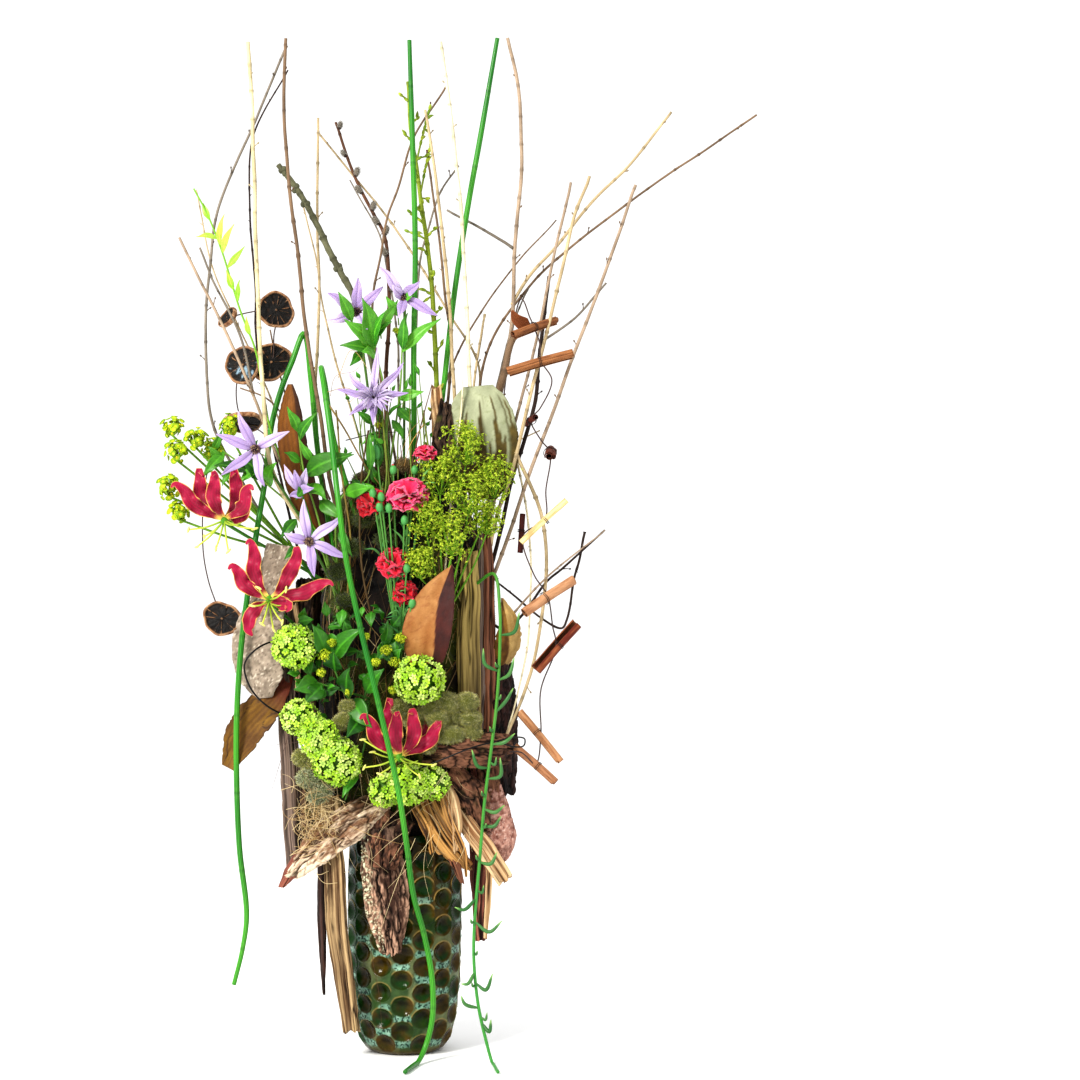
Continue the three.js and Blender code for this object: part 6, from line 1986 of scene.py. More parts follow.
def clematis_petal(shape, heart, tip, width, out, phase, thick=0.9):
    """One pointed petal with a rib along its middle."""
    heart, tip = np.array(heart, float), np.array(tip, float)
    reach = tip - heart
    lift = np.array(out, float)
    side = unit(np.cross(lift, reach))
    spine = [
        heart + reach * 0.05,
        heart + reach * 0.35 + lift * 4.5 + side * 0.8,
        heart + reach * 0.7 + lift * 4.0 - side * 1.4 * math.sin(phase),
        tip + side * 1.6 * math.sin(phase * 2),
    ]

    def tint(u, t, under):
        rib = np.exp(-((u / 0.16) ** 2))
        lines = 0.5 + 0.5 * np.cos(np.abs(u) * 22)
        colour = mix(
            LILAC,
            PALE_LILAC,
            0.55 * (1 - rib) * smoothstep(-0.2, 1, np.sin(2.5 * t + phase)) + 0.2 * lines,
        )
        colour = mix(colour, DARK_LILAC, 0.55 * rib * (1 - 0.6 * t) + 0.25 * (1 - smoothstep(0, 0.2, t)))
        return mix(colour, PALE_LILAC, 0.5 * under)

    def ripple(t, u):
        return 1.3 * np.sin(9 * t + phase + 2 * np.sign(u)) * np.abs(u) ** 2 - 0.7 * np.exp(
            -((u / 0.2) ** 2)
        )

    widths = [width * 0.35, width * 0.8, width, width * 0.86, width * 0.5, 0.8]
    blade(
        shape, spine, out, widths, tint,
        thick=thick, spacing=1.6, columns=15, fold=0.12, cup=-0.06 + 0.2 * math.sin(phase), ripple=ripple,
    )


def clematis_heart(shape, heart, out, size, seed):
    """The tuft of stamens in the middle of a bloom."""
    random = np.random.default_rng(seed)
    heart = np.array(heart, float)
    axis = unit(np.array(out, float))
    frame_ = facing(axis)[0]
    ball(
        shape, heart + axis * 1.5, (0.42 * size, 0.42 * size, 0.5 * size), rgb("3a1d33"), 8, 10,
        frame_=frame_,
    )
    d = spread(190)
    d = d[d[:, 2] > 0.1]
    ends = unit(d * (1, 1, 0.9)) * size * random.uniform(0.75, 1.1, (len(d), 1)) @ frame_.T
    for k, end in enumerate(ends):
        bend = heart + end * 0.55 + axis * 1.2
        path = np.array([heart, bend, heart + end])
        tube(
            shape,
            spline(path, 2.2),
            [0.32, 0.28, 0.42],
            mix(rgb("5a2444"), rgb("c9b48a"), random.random() * 0.8) if k % 2 else rgb("2c1424"),
            5,
        )


def clematis(name, facts, seed):
    """A bloom with its petals, its heart and its stalk."""
    shape = Shape()
    heart = np.array(facts["heart"], float)
    double = name == "clematis_double"
    for i, tip in enumerate(facts["tips"]):
        clematis_petal(
            shape, heart, tip, 12.5 if not double else 9, (0.1 * math.sin(2 * i), -1, 0.08 * math.cos(i)),
            1.3 * i + seed,
        )
    if double:
        random = np.random.default_rng(seed)
        for k in range(64):
            turn, rise = random.uniform(0, FULL), random.uniform(0.15, 0.8)
            out = np.array([math.cos(turn), -0.75 - rise, math.sin(turn)])
            end = heart + unit(out) * random.uniform(14, 38) * (1.1, 1, 0.8)
            middle = heart + (end - heart) * 0.55 + np.array([0, -4.0, 2.0])
            shade = mix(LILAC, PALE_LILAC, random.random()) * (0.75 if k % 3 == 0 else 1.0)
            broad = 3.4 + 4.0 * (k % 3 == 0)
            blade(
                shape, [heart, middle, end], unit(np.array([0.3 * math.sin(k), -1, 0.3])),
                [1.0, broad, 1.1 * broad, 0.7 * broad, 0.4], shade, thick=0.6, spacing=2.4, columns=7,
                fold=0.4,
            )
    clematis_heart(shape, heart + np.array([0, -2.0, 0]), FRONT, 6.6 if not double else 8, seed)
    back = heart + np.array([0, 10.0, 0])
    tube(
        shape, spline([facts["foot"], back, heart], 3), [1.6, 1.5, 1.8],
        mix(STALK_GREEN, rgb("6b5a3a"), 0.3), 9,
    )
    make(name + "_bloom", shape, "clematis_petal", [name])


for seed, (piece_name, facts) in enumerate(CLEMATIS.items()):
    clematis(piece_name, facts, 231 + seed)


def clematis_closed():
    """A pale half-closed bloom that hangs among the leaves on the left."""
    shape = Shape()
    heart = np.array((-118, -70, 666), float)
    tips = ((-137, -80, 698), (-102, -84, 672), (-123, -84, 692), (-112, -72, 694), (-130, -80, 660))
    for i, tip in enumerate(tips):
        clematis_petal(shape, heart, tip, 11, (0.2 * i - 0.4, -1, 0.1), 2.1 * i)
    tube(shape, spline([(-102, -30, 586), (-108, -62, 634), heart], 3), [1.3, 1.3], STALK_GREEN, 8)
    make("clematis_closed", shape, "clematis_petal")


clematis_closed()


# ---------------------------------------------------------------- carnations
CARNATION_LOOKS = [
    (rgb("e83c72"), rgb("f8a0b8")), (rgb("e23564"), rgb("f58aa4")), (rgb("c8102c"), rgb("e0405a")),
    (rgb("d81f44"), rgb("f0708a")), (rgb("c4122e"), rgb("de3a55")),
]


CARNATION_TURN = 2.39996
CARNATION_STALK = rgb("5f8f4a")
CARNATION_FORK = np.array([2, -28, 30])


def carnation_bloom(shape, facts, colours, seed):
    """Ruffled, saw-edged petals in a dense head on a green calyx."""
    random = np.random.default_rng(seed)
    heart = np.array(facts["heart"], float)
    axis = unit(np.array(facts["face"], float))
    turned = facing(axis)[0]
    radius = facts["radius"]
    count = int(11 + 0.4 * radius)
    for k in range(count):
        ring = (k + 0.5) / count
        turn = CARNATION_TURN * k
        open_ = math.radians(12 + 78 * ring**0.8)
        spread_out = math.sin(open_)
        out = turned @ np.array([math.cos(turn) * spread_out, math.sin(turn) * spread_out, math.cos(open_)])
        lift = unit(axis * 1.2 - out * 0.4)
        length = radius * (0.92 + 0.16 * random.random())
        base = heart - axis * radius * 0.25
        bend = base + out * length * 0.6 + axis * radius * 0.28
        spine = [base, bend, base + out * length * 1.12 + axis * radius * 0.16]
        phase = random.uniform(0, 6, 3)
        width = radius * (1.25 + 0.4 * random.random())

        def ripple(t, u, phase=phase):
            frill = 1.5 * np.sin(5.5 * u + phase[0]) + 0.45 * np.sin(13 * u + phase[1])
            return radius * 0.075 * frill * smoothstep(0.25, 1.0, t)

        def tint(u, t, under, ring=ring):
            # Painted shade: each petal is darker towards its base, deep in the head.
            deep = mix(colours[0] * 0.5, colours[0], smoothstep(0.1, 0.75, t))
            return mix(deep, colours[1], smoothstep(0.9, 1.0, t) * 0.4 + 0.12 * np.cos(u * 16) * t)

        path = spline(spine, radius / 10)
        n = len(path)
        t = np.linspace(0, 1, n)
        half = width / 2 * np.interp(t, [0, 0.4, 0.8, 1], [0.12, 0.5, 1.0, 1.05])
        rings, u, tt = sheet_rings(path, lift, half, 17, 0.5, fold=0.0, cup=-0.25, ripple=ripple)
        teeth = (0.07 * radius * np.abs(((u * 6.5 + phase[2]) % 1) - 0.5) * 2 + 0.18 * radius * u * u)
        rings = rings - (teeth * smoothstep(0.7, 1.0, tt))[..., None] * unit(spine[2] - spine[1])
        under = np.zeros(u.shape, bool)
        loft(shape, rings, tint(u, tt, under), np.stack([u * width / 2, 0 * u, tt * length], -1))
    return heart, axis, radius


def carnations():
    """The forked stem of spray carnations, in bloom and in bud."""
    petals, greens = Shape(), Shape()
    fork = np.array(CARNATION_FOOT, float) + CARNATION_FORK
    random = np.random.default_rng(251)
    for i, (facts, colours) in enumerate(zip(CARNATIONS, CARNATION_LOOKS)):
        heart, axis, radius = carnation_bloom(petals, facts, colours, 251 + i)
        base = heart - axis * 0.62 * radius
        middle = fork + (base - fork) * 0.5 + np.array([0, -2.0 - i, 0])
        tube(greens, spline([fork, middle, base], 3), 1.4, CARNATION_STALK, 9)
        tube(
            greens,
            spline([base - axis * radius * 0.35, base, heart - axis * radius * 0.1], 1.5),
            [0.10 * radius, 0.25 * radius, 0.3 * radius, 0.36 * radius],
            rgb("6f9f4a"),
            12,
        )
    buds = [
        tuple(CARNATION_BUDS[0]), tuple(CARNATION_BUDS[1]), (-23, -90, 660), (-33, -86, 664),
        (-25, -92, 648), (-14, -90, 647), (7, -92, 577), (-10, -70, 692), (15, -66, 692), (4, -88, 633),
    ]
    for i, bud in enumerate(buds):
        bud = np.array(bud, float)
        middle = fork + (bud - fork) * 0.55 + np.array([0, -2.0 - i % 3, 0])
        tube(greens, spline([fork, middle, bud], 3), 1.05, CARNATION_STALK, 8)
        axis = unit(bud - middle + np.array([0, -5.0, 10]))
        plump = (4.4, 4.4, 9.0) if i == 0 else (4.3, 4.3, 5.8)
        ball(
            greens,
            bud,
            plump,
            rgb("5fa060"),
            12,
            12,
            lambda d: 0.04 * np.cos(5 * np.arctan2(d[..., 1], d[..., 0])),
            facing(axis)[0],
        )
        if i % 3 == 1:
            ball(
                petals, bud + axis * plump[2] * 0.92, (1.5, 1.5, 1.7), CARNATION_LOOKS[i % 5][0], 8, 9,
                frame_=facing(axis)[0],
            )
    for k in range(26):
        share = random.uniform(0.15, 0.9)
        end = np.array(CARNATIONS[k % 5]["heart"], float)
        at = fork + (end - fork) * share + np.array([0, -1.0, 0])
        out = unit(np.array([random.normal(), -0.6, random.uniform(0.4, 1.4)]))
        tip = at + out * random.uniform(18, 34) + np.array([0, 0, -4.0])
        blade(
            greens, [at, at + out * 12 + np.array([0, -2, 3]), tip], (0, -1, 0.4), [2.0, 3.0, 2.2, 0.3],
            mix(rgb("4f8a52"), rgb("7fae6a"), random.random()), thick=0.5, spacing=2.5, columns=5,
            fold=0.35,
        )
    tube(greens, spline([CARNATION_FOOT, fork], 3), 2.4, CARNATION_STALK, 10)
    make("carnations_petals", petals, "carnation", ["carnations"])
    make("carnations_green", greens, "green_stem", ["carnations"])


carnations()


# ---------------------------------------------------------------- guelder roses
def floret():
    """A five-petalled floret, its petals rounded and cupped, on a short tube."""
    points, faces = [(0.0, 0.0, -0.18)], []
    ring = 5 * 8
    for level, (reach, lift) in enumerate(((0.18, 0.02), (0.62, 0.12), (1.0, 0.1))):
        for j in range(ring):
            turn = FULL * j / ring
            notch = abs(math.cos(2.5 * turn)) ** 0.45
            r = reach * (1 if level == 0 else 0.42 + 0.58 * notch)
            z = lift + 0.1 * level * math.cos(5 * turn) * (1 if level == 2 else 0.4)
            points.append((r * math.cos(turn), r * math.sin(turn), z))
    for j in range(ring):
        k = (j + 1) % ring
        for level in (0, 1):
            a, b = 1 + level * ring + j, 1 + level * ring + k
            faces.append((a, b, b + ring, a + ring))
    thick = 0.09
    top = len(points)
    points += [(x, y, z - thick) for x, y, z in points[:top]]
    under = [(a + top, d + top, c + top, b + top) for a, b, c, d in faces]
    rim = [
        (
            1 + 2 * ring + j, 1 + 2 * ring + (j + 1) % ring, top + 1 + 2 * ring + (j + 1) % ring,
            top + 1 + 2 * ring + j,
        )
        for j in range(ring)
    ]
    flip = [(a, d, c, b) for a, b, c, d in rim]
    caps = [(0, 1 + j, 1 + (j + 1) % ring) for j in range(ring)]
    lower = [(top, top + 1 + (j + 1) % ring, top + 1 + j) for j in range(ring)]
    return np.array(points), [np.array(faces + under + flip), np.array(caps + lower)]


FLORET_POINTS, FLORET_FACES = floret()
LIME = rgb("b8e040")
PALE_LIME = rgb("e8f6a6")
GREEN_LIME = rgb("7fb82a")


def floret_globe(shape, centre, radius, seed, flat=1.0):
    """A globe of small four-petalled florets."""
    random = np.random.default_rng(seed)
    centre = np.array(centre, float)
    # Painted shade: the core is a darkened green, so the gaps between the florets look shaded.
    ball(shape, centre, radius * 0.76, GREEN_LIME * 0.4, 12, 16)
    count = int(150 * (radius / 26) ** 2)
    d = spread(count)
    d = unit(d + random.normal(0, 0.06, d.shape))
    lump = 1 + 0.09 * fbm(d * 2.2 + seed, 1.0, 2, seed)
    reach = radius * (0.93 + 0.07 * random.random(count)) * lump
    places = centre + d * reach[:, None] * (1, 1, flat)
    frames = facing(unit(d + random.normal(0, 0.25, d.shape)), random.uniform(0, 6, count))
    sizes = random.uniform(4.0, 5.3, count) * (0.86 if radius < 23 else 1.0)
    tone = mix(LIME, PALE_LIME, random.random(count) ** 1.5 * 0.8)
    tone = mix(tone, GREEN_LIME, 0.45 * (random.random(count) < 0.25))
    r = np.linalg.norm(FLORET_POINTS[:, :2], axis=1)
    share = smoothstep(0.1, 0.9, r)
    tints = mix(tone[:, None] * 0.75, tone[:, None], share[None] * np.ones((count, 1)))
    stamp(shape, FLORET_POINTS, FLORET_FACES, tints, frames, places, sizes)
    knob = np.array([(0.5, 0, 0), (0, 0.5, 0), (-0.5, 0, 0), (0, -0.5, 0), (0, 0, 0.8), (0, 0, -0.5)])
    knob_faces = [[(0, 1, 4), (1, 2, 4), (2, 3, 4), (3, 0, 4), (1, 0, 5), (2, 1, 5), (3, 2, 5), (0, 3, 5)]]
    stamp(shape, knob, knob_faces, rgb("e6f2a0"), frames, places + d * 0.4, 1.0)


def guelder(name, facts, seed):
    """A group of guelder-rose globes with their stalks."""
    shape = Shape()
    for k, (centre, radius) in enumerate(facts["globes"]):
        floret_globe(shape, centre, radius, seed + 3 * k)
        foot = np.array(facts["foot"], float) if k == len(facts["globes"]) - 1 else np.array(
            facts["globes"][k + 1][0], float,
        )
        tube(
            shape,
            spline([foot, (foot + centre) / 2 + np.array([0, -3.0, 2]), centre], 3),
            [2.0, 1.7],
            rgb("5f8f2c"),
            9,
        )
    for k, (centre, radius) in enumerate(facts["globes"][:-1]):
        other, size = facts["globes"][k + 1]
        floret_globe(
            shape,
            (np.array(centre) + np.array(other)) / 2 + np.array([2.0, -3, 2]),
            0.34 * (radius + size),
            seed + 31 + k,
        )
    make(name + "_florets", shape, "guelder", [name])


for seed, (piece_name, facts) in enumerate(GUELDER.items()):
    guelder(piece_name, facts, 261 + 9 * seed)


# ---------------------------------------------------------------- lady's mantle and spurge
def star_form(points, notch, lift):
    """A small flower of pointed petals, thin and closed."""
    ring = [(0.0, 0.0, 0.25)]
    for j in range(2 * points):
        turn = math.pi * j / points
        reach = 1.0 if j % 2 == 0 else notch
        ring.append((reach * math.cos(turn), reach * math.sin(turn), lift if j % 2 == 0 else 0.0))
    ring.append((0.0, 0.0, -0.35))
    m = 2 * points
    faces = [(0, 1 + j, 1 + (j + 1) % m) for j in range(m)] + [
        (m + 1, 1 + (j + 1) % m, 1 + j) for j in range(m)
    ]
    return np.array(ring), [np.array(faces)]


STAR_POINTS, STAR_FACES = star_form(4, 0.38, 0.25)
MANTLE_TONES = (rgb("8cac28"), rgb("d2e254"))
MANTLE_ARMS = 15


def mantle_cloud(shape, fork, centre, radius, seed, tones, star=1.9, count=260):
    """A branching spray: fine stalks to clusters of tiny stars, around one umbel's middle."""
    random = np.random.default_rng(seed)
    fork, centre = np.array(fork, float), np.array(centre, float)
    low = centre - np.array([0, 0, 0.95 * radius])
    stem_line = spline([fork, fork + (low - fork) * 0.6 + random.normal(0, 3, 3), low], 3)
    tube(shape, stem_line, [1.5, 1.0], mix(tones[0], STALK_GREEN, 0.6), 7)
    for d in spread(MANTLE_ARMS):
        d = unit(d + random.normal(0, 0.2, 3) + np.array([0, 0, 0.25]))
        end = centre + d * radius * random.uniform(0.62, 0.95) * (1.0, 0.8, 1.0)
        path = spline([low, (low + end) / 2 + d * 3, end], 2.5)
        tube(shape, path, [0.65, 0.4], mix(tones[0], STALK_GREEN, 0.4), 5)
        n = count // MANTLE_ARMS
        spots = end + random.normal(0, 1, (n, 3)) * radius * (0.22, 0.2, 0.22)
        for spot in spots[::3]:
            tube(shape, np.array([end, (end + spot) / 2 + d * 0.5, spot]), [0.35, 0.3], tones[0], 4)
        out = unit(
            spots - centre + random.normal(0, radius * 0.4, (n, 3))
            + np.array([0, -radius * 0.3, radius * 0.3])
        )
        tone = mix(tones[0], tones[1], random.random(n) ** 0.8)
        centre_share = smoothstep(0.2, 0.9, np.linalg.norm(STAR_POINTS[:, :2], axis=1))
        tints = mix(tone[:, None] * 0.75, tone[:, None], centre_share[None] * np.ones((n, 1)))
        stamp(
            shape, STAR_POINTS, STAR_FACES, tints, facing(out, random.uniform(0, 6, n)), spots,
            random.uniform(0.75, 1.25, n) * star,
        )


def umbels(name, foot, fork, umbel_list, seed, tones, star, count):
    """Flat heads of small stars on thin rays."""
    shape = Shape()
    tube(shape, spline([foot, fork], 3), [2.6, 2.4], STALK_GREEN, 9)
    for k, (centre, radius) in enumerate(umbel_list):
        mantle_cloud(shape, fork, centre, radius, seed + k, tones, star, count)
    make(name + "_sprays", shape, "mantle", [name])


umbels("ladys_mantle", MANTLE_FOOT, MANTLE_FORK, MANTLE_UMBELS, 291, MANTLE_TONES, 2.6, 420)


SPURGE_STALK = rgb("8fae3a")
BRACT_SIDES = 10
BRACTS = 44  # in each head


def spurge():
    """Rounded lime bracts in small heads, each with a yellow eye."""
    shape = Shape()
    random = np.random.default_rng(311)
    tube(shape, spline([SPURGE_FOOT, SPURGE_FORK], 3), [2.6, 2.4], STALK_GREEN, 9)
    bract = [(0.0, 0.0, 0.05)]
    m = BRACT_SIDES
    for reach, z in ((0.6, 0.1), (1.0, 0.34)):
        for j in range(m):
            turn = FULL * j / m
            far = reach * (1 + 0.12 * math.cos(2 * turn))
            bract.append((far * math.cos(turn), reach * math.sin(turn), z))
    top = len(bract)
    bract += [(x * 0.97, y * 0.97, z - 0.13) for x, y, z in bract]
    fans = [(0, 1 + j, 1 + (j + 1) % m) for j in range(m)] + [
        (top, top + 1 + (j + 1) % m, top + 1 + j) for j in range(m)
    ]
    bands = [(1 + j, 1 + m + j, 1 + m + (j + 1) % m, 1 + (j + 1) % m) for j in range(m)]
    bands += [(top + a, top + d, top + c, top + b) for a, b, c, d in bands[:m]]
    bands += [
        (1 + m + j, top + 1 + m + j, top + 1 + m + (j + 1) % m, 1 + m + (j + 1) % m)
        for j in range(m)
    ]
    bract = np.array(bract)
    for centre, radius in SPURGE_UMBELS:
        centre = np.array(centre, float)
        low = centre - np.array([0, 0, 0.9 * radius])
        tube(
            shape,
            spline([SPURGE_FORK, (np.array(SPURGE_FORK) + low) / 2 + random.normal(0, 3, 3), low], 3),
            [1.6, 1.3],
            mix(STALK_GREEN, SPURGE_STALK, 0.5),
            8,
        )
        n = BRACTS
        d = unit(spread(n) + random.normal(0, 0.35, (n, 3)))
        places = centre + d * radius * random.uniform(0.45, 1.12, (n, 1))
        for end in places[::2]:
            tube(shape, spline([low, (low + end) / 2, end], 3), [0.8, 0.6], SPURGE_STALK, 5)
        tone = mix(rgb("7a9e18"), rgb("b4cc34"), random.random(n))
        eye = smoothstep(0.1, 0.6, np.linalg.norm(bract[:, :2], axis=1))
        tints = mix(rgb("e8dc3a") * np.ones((n, 1, 3)), tone[:, None], eye[None] * np.ones((n, 1)))
        outs = unit(d + np.array([0, -0.4, 0.5]))
        stamp(
            shape, bract, [np.array(fans), np.array(bands)], tints, facing(outs, random.uniform(0, 6, n)),
            places, random.uniform(2.6, 4.6, n),
        )
        for spot in places[::3]:
            ball(shape, spot + np.array([0, -1.0, 0.8]), 1.1, rgb("dfd23a"), 5, 7)
    make("spurge_bracts", shape, "mantle", ["spurge"])


spurge()


# ---------------------------------------------------------------- crested celosia
CREST_FOLDS = 11
CREST_BRISTLES = 1150  # on a lobe of the radius below
CREST_RADIUS = 9
CREST_TONES = (rgb("868a38"), rgb("c8c464"), rgb("f8f2b8"))
# The lobes: the middle, the radius and half the length of each
CREST_LOBES = {
    "crest_right": [
        ((34, -82, 416), 12, 13), ((55, -84, 420), 11, 13), ((76, -80, 420), 11, 14),
        ((43, -87, 401), 12, 13), ((81, -82, 401), 10, 12),
        ((57, -88, 383), 9.5, 18), ((84, -83, 385), 9, 10), ((30, -84, 371), 8.5, 12),
        ((1, -80, 414), 10, 12), ((64, -76, 404), 11, 12),
        ((17, -80, 397), 10, 12),
    ],
    "crest_left": [
        ((-114, -74, 355), 10, 13), ((-102, -76, 343), 11, 13), ((-93, -76, 328), 10, 12),
        ((-110, -74, 331), 10, 12), ((-68, -84, 398), 9, 15),
        ((-60, -80, 414), 8, 12),
    ],
}


def crest(name, facts, seed):
    """Fuzzy lobes that fold over one another, covered by short bristles."""
    shape, fuzz = Shape(), Shape()
    random = np.random.default_rng(seed)
    bristle = spike(0.34, 3.6)
    for k, (centre, radius, half) in enumerate(CREST_LOBES[name]):
        centre = np.array(centre, float)
        turned = facing(unit(np.array([1, random.uniform(-0.3, 0.3), random.uniform(-0.6, 0.6)])))[0]
        size = np.array([radius, radius, half])

        def lumps(d, k=k):
            folds = np.cos(CREST_FOLDS * np.arctan2(d[..., 1], d[..., 0]))
            return 0.08 * fbm(d * 2.6 + k, 1.0, 2, seed) + 0.02 * folds

        # Painted shade: the lobe under the bristles is a darkened copy of their colour.
        ball(shape, centre, size, CREST_TONES[0] * 0.6, 18, 24, lumps, turned)
        n = int(CREST_BRISTLES * radius / CREST_RADIUS)
        d = spread(n)
        reach = (1 + lumps(d))[:, None]
        places = centre + (d * reach * size) @ turned.T
        outs = unit((d / size) @ turned.T)
        keep = places[:, 1] < centre[1] + 5
        cluster = 0.15 * np.cos(CREST_FOLDS * np.arctan2(d[:, 1], d[:, 0])) + 0.6 * noise(
            places, 2.2, seed + 1,
        )
        tone = mix(
            mix(CREST_TONES[0], CREST_TONES[1], smoothstep(-0.4, 0.1, cluster)),
            CREST_TONES[2],
            smoothstep(0.05, 0.5, cluster),
        )
        n = int(keep.sum())
        # Painted shade: each bristle is darker at its root, among the others, than at its tip.
        tints = mix(
            tone[keep][:, None] * 0.72, tone[keep][:, None], np.array([[0, 0, 0, 1.0]]) * np.ones((n, 1)),
        )
        stamp(
            fuzz,
            bristle,
            SPIKE_FACES,
            tints,
            facing(unit(outs[keep] + random.normal(0, 0.22, (n, 3))), random.uniform(0, 6, n)),
            places[keep],
            random.uniform(0.6, 1.15, n),
        )
    foot = np.array(facts["foot"], float)
    tube(shape, spline([foot, facts["lobes"][0]], 3), [5, 8], CREST_TONES[0], 12)
    make(name + "_lobes", shape, "crest", [name])
    make(name + "_fuzz", fuzz, "crest", [name])


for seed, (piece_name, facts) in enumerate(CRESTS.items()):
    crest(piece_name, facts, 321 + seed)


# ---------------------------------------------------------------- leaves
FOLIAGE = {
    "stem_leafy": {
        "root": [-70, -4, 570],
        "foot": [-72, -36, 574],
        "stems": [
            [
                [-116, -28, 640], [-140, -38, 693], [-160, -40, 752], [-167, -40, 794], [-175, -40, 835],
                [-193, -40, 882], [-215, -40, 953], [-232, -40, 996], [-248, -40, 1026],
            ]
        ],
        "leaves": [
            ([-217, -40, 958], [-211, -46, 995], 9), ([-212, -40, 949], [-199, -50, 983], 9),
            ([-219, -40, 965], [-244, -48, 968], 9), ([-207, -40, 932], [-187, -46, 957], 8),
            ([-200, -40, 906], [-209, -46, 929], 8), ([-196, -40, 891], [-192, -50, 917], 8),
            ([-229, -40, 988], [-238, -34, 1010], 8), ([-181, -40, 853], [-185, -48, 874], 7),
        ],
    },
    "leaves_top": {
        "root": [-26, -20, 612],
        "foot": [-26, -56, 622],
        "stems": [[[-21, -36, 776], [-34, -44, 835], [-43, -48, 858]], [[-4, -36, 788], [-1, -40, 841]]],
        "leaves": [
            ([-34, -46, 835], [-47, -60, 895], 26), ([-27, -50, 837], [-68, -66, 869], 22),
            ([-32, -48, 832], [-74, -52, 839], 18), ([-24, -52, 840], [-19, -66, 878], 20),
            ([-2, -42, 835], [6, -52, 878], 15), ([-22, -46, 832], [-47, -66, 831], 20),
            ([-4, -42, 832], [45, -44, 872], 15),
        ],
    },
    "leaves_left": {
        "root": [-72, -10, 524],
        "foot": [-76, -46, 530],
        "stems": [
            [[-99, -56, 634], [-116, -60, 692], [-122, -62, 739]],
            [[-108, -34, 622], [-167, -42, 681], [-214, -42, 716]],
            [[-73, -60, 657], [-40, -62, 685], [-40, -64, 727]],
        ],
        "leaves": [
            ([-122, -64, 737], [-134, -74, 766], 13), ([-121, -64, 727], [-99, -76, 759], 14),
            ([-110, -64, 688], [-55, -84, 710], 27),
            ([-108, -64, 675], [-87, -86, 657], 20), ([-104, -62, 681], [-123, -82, 657], 16),
            ([-84, -72, 683], [-32, -84, 673], 18), ([-165, -56, 681], [-192, -66, 710], 22),
            ([-180, -54, 692], [-221, -60, 697], 20), ([-156, -56, 675], [-147, -70, 701], 24),
            ([-42, -64, 692], [-37, -70, 737], 11),
            ([-52, -64, 676], [-27, -84, 657], 13), ([-213, -52, 714], [-236, -58, 683], 15),
        ],
    },
    "leaves_low": {
        "root": [-40, -20, 414],
        "foot": [-40, -66, 420],
        "stems": [
            [[-60, -76, 423], [-83, -82, 470], [-97, -84, 493]],
            [[-49, -74, 399], [-30, -80, 470], [-11, -82, 503]], [[-42, -70, 376], [-65, -88, 307]],
            [[-72, -76, 435], [-107, -80, 446]],
        ],
        "leaves": [
            ([-76, -84, 470], [-42, -98, 508], 30), ([-85, -84, 476], [-103, -92, 512], 22),
            ([-97, -82, 451], [-124, -96, 436], 24), ([-92, -82, 442], [-112, -94, 419], 22),
            ([-78, -82, 456], [-77, -102, 482], 26),
            ([-65, -80, 428], [-58, -102, 462], 28), ([-58, -80, 421], [-33, -98, 392], 26),
            ([-48, -78, 435], [-19, -98, 461], 24),
            ([-20, -84, 488], [-15, -90, 517], 16),
            ([-51, -78, 409], [-63, -96, 380], 24),
            ([-50, -82, 342], [-67, -104, 311], 16),
        ],
    },
}
STRING_PATH = [
    [84, -36, 556], [108, -62, 570], [115, -78, 528], [115, -86, 482], [112, -92, 424], [106, -100, 372],
    [98, -102, 309], [92, -98, 239], [86, -92, 168], [85, -88, 121], [90, -86, 68], [99, -86, 27],
    [106, -92, 2.8], [114, -146, 2.8],
]
BANANAS = [
    [[117, -84, 498], [132, -90, 503], [138, -90, 526]], [[112, -90, 456], [98, -96, 466], [96, -94, 484]],
    [[113, -90, 447], [126, -96, 454], [132, -94, 473]],
    [[111, -94, 410], [123, -98, 424], [131, -96, 438]],
    [[105, -100, 372], [121, -106, 376], [133, -104, 386]],
    [[103, -100, 346], [90, -106, 348], [83, -104, 367]],
    [[101, -102, 332], [116, -108, 337], [116, -106, 358]],
    [[98, -102, 299], [110, -108, 295], [121, -106, 303]],
    [[96, -100, 279], [109, -106, 279], [117, -104, 290]],
    [[94, -98, 236], [105, -104, 235], [112, -102, 248]],
    [[86, -94, 194], [74, -100, 181], [63, -100, 184]], [[86, -92, 166], [103, -98, 155], [118, -98, 168]],
    [[84, -88, 107], [78, -94, 94], [70, -94, 94]], [[86, -88, 93], [99, -94, 87], [107, -94, 106]],
    [[86, -86, 64], [75, -92, 70], [70, -92, 80]], [[92, -86, 46], [103, -92, 38], [105, -92, 52]],
]

LEAF_TONES = {
    "stem_leafy": (rgb("8fc83a"), rgb("c4e06a"), rgb("7fae3a")),
    "leaves_top": (rgb("2c7424"), rgb("78b848"), rgb("7fa04f")),
    "leaves_left": (rgb("12541c"), rgb("6aac3a"), rgb("7fa04a")),
    "leaves_low": (rgb("0c4414"), rgb("5a9c34"), rgb("4f7a2f")),
}


LEAF_VEINS = 9
VEIN_SLANT = 2.4


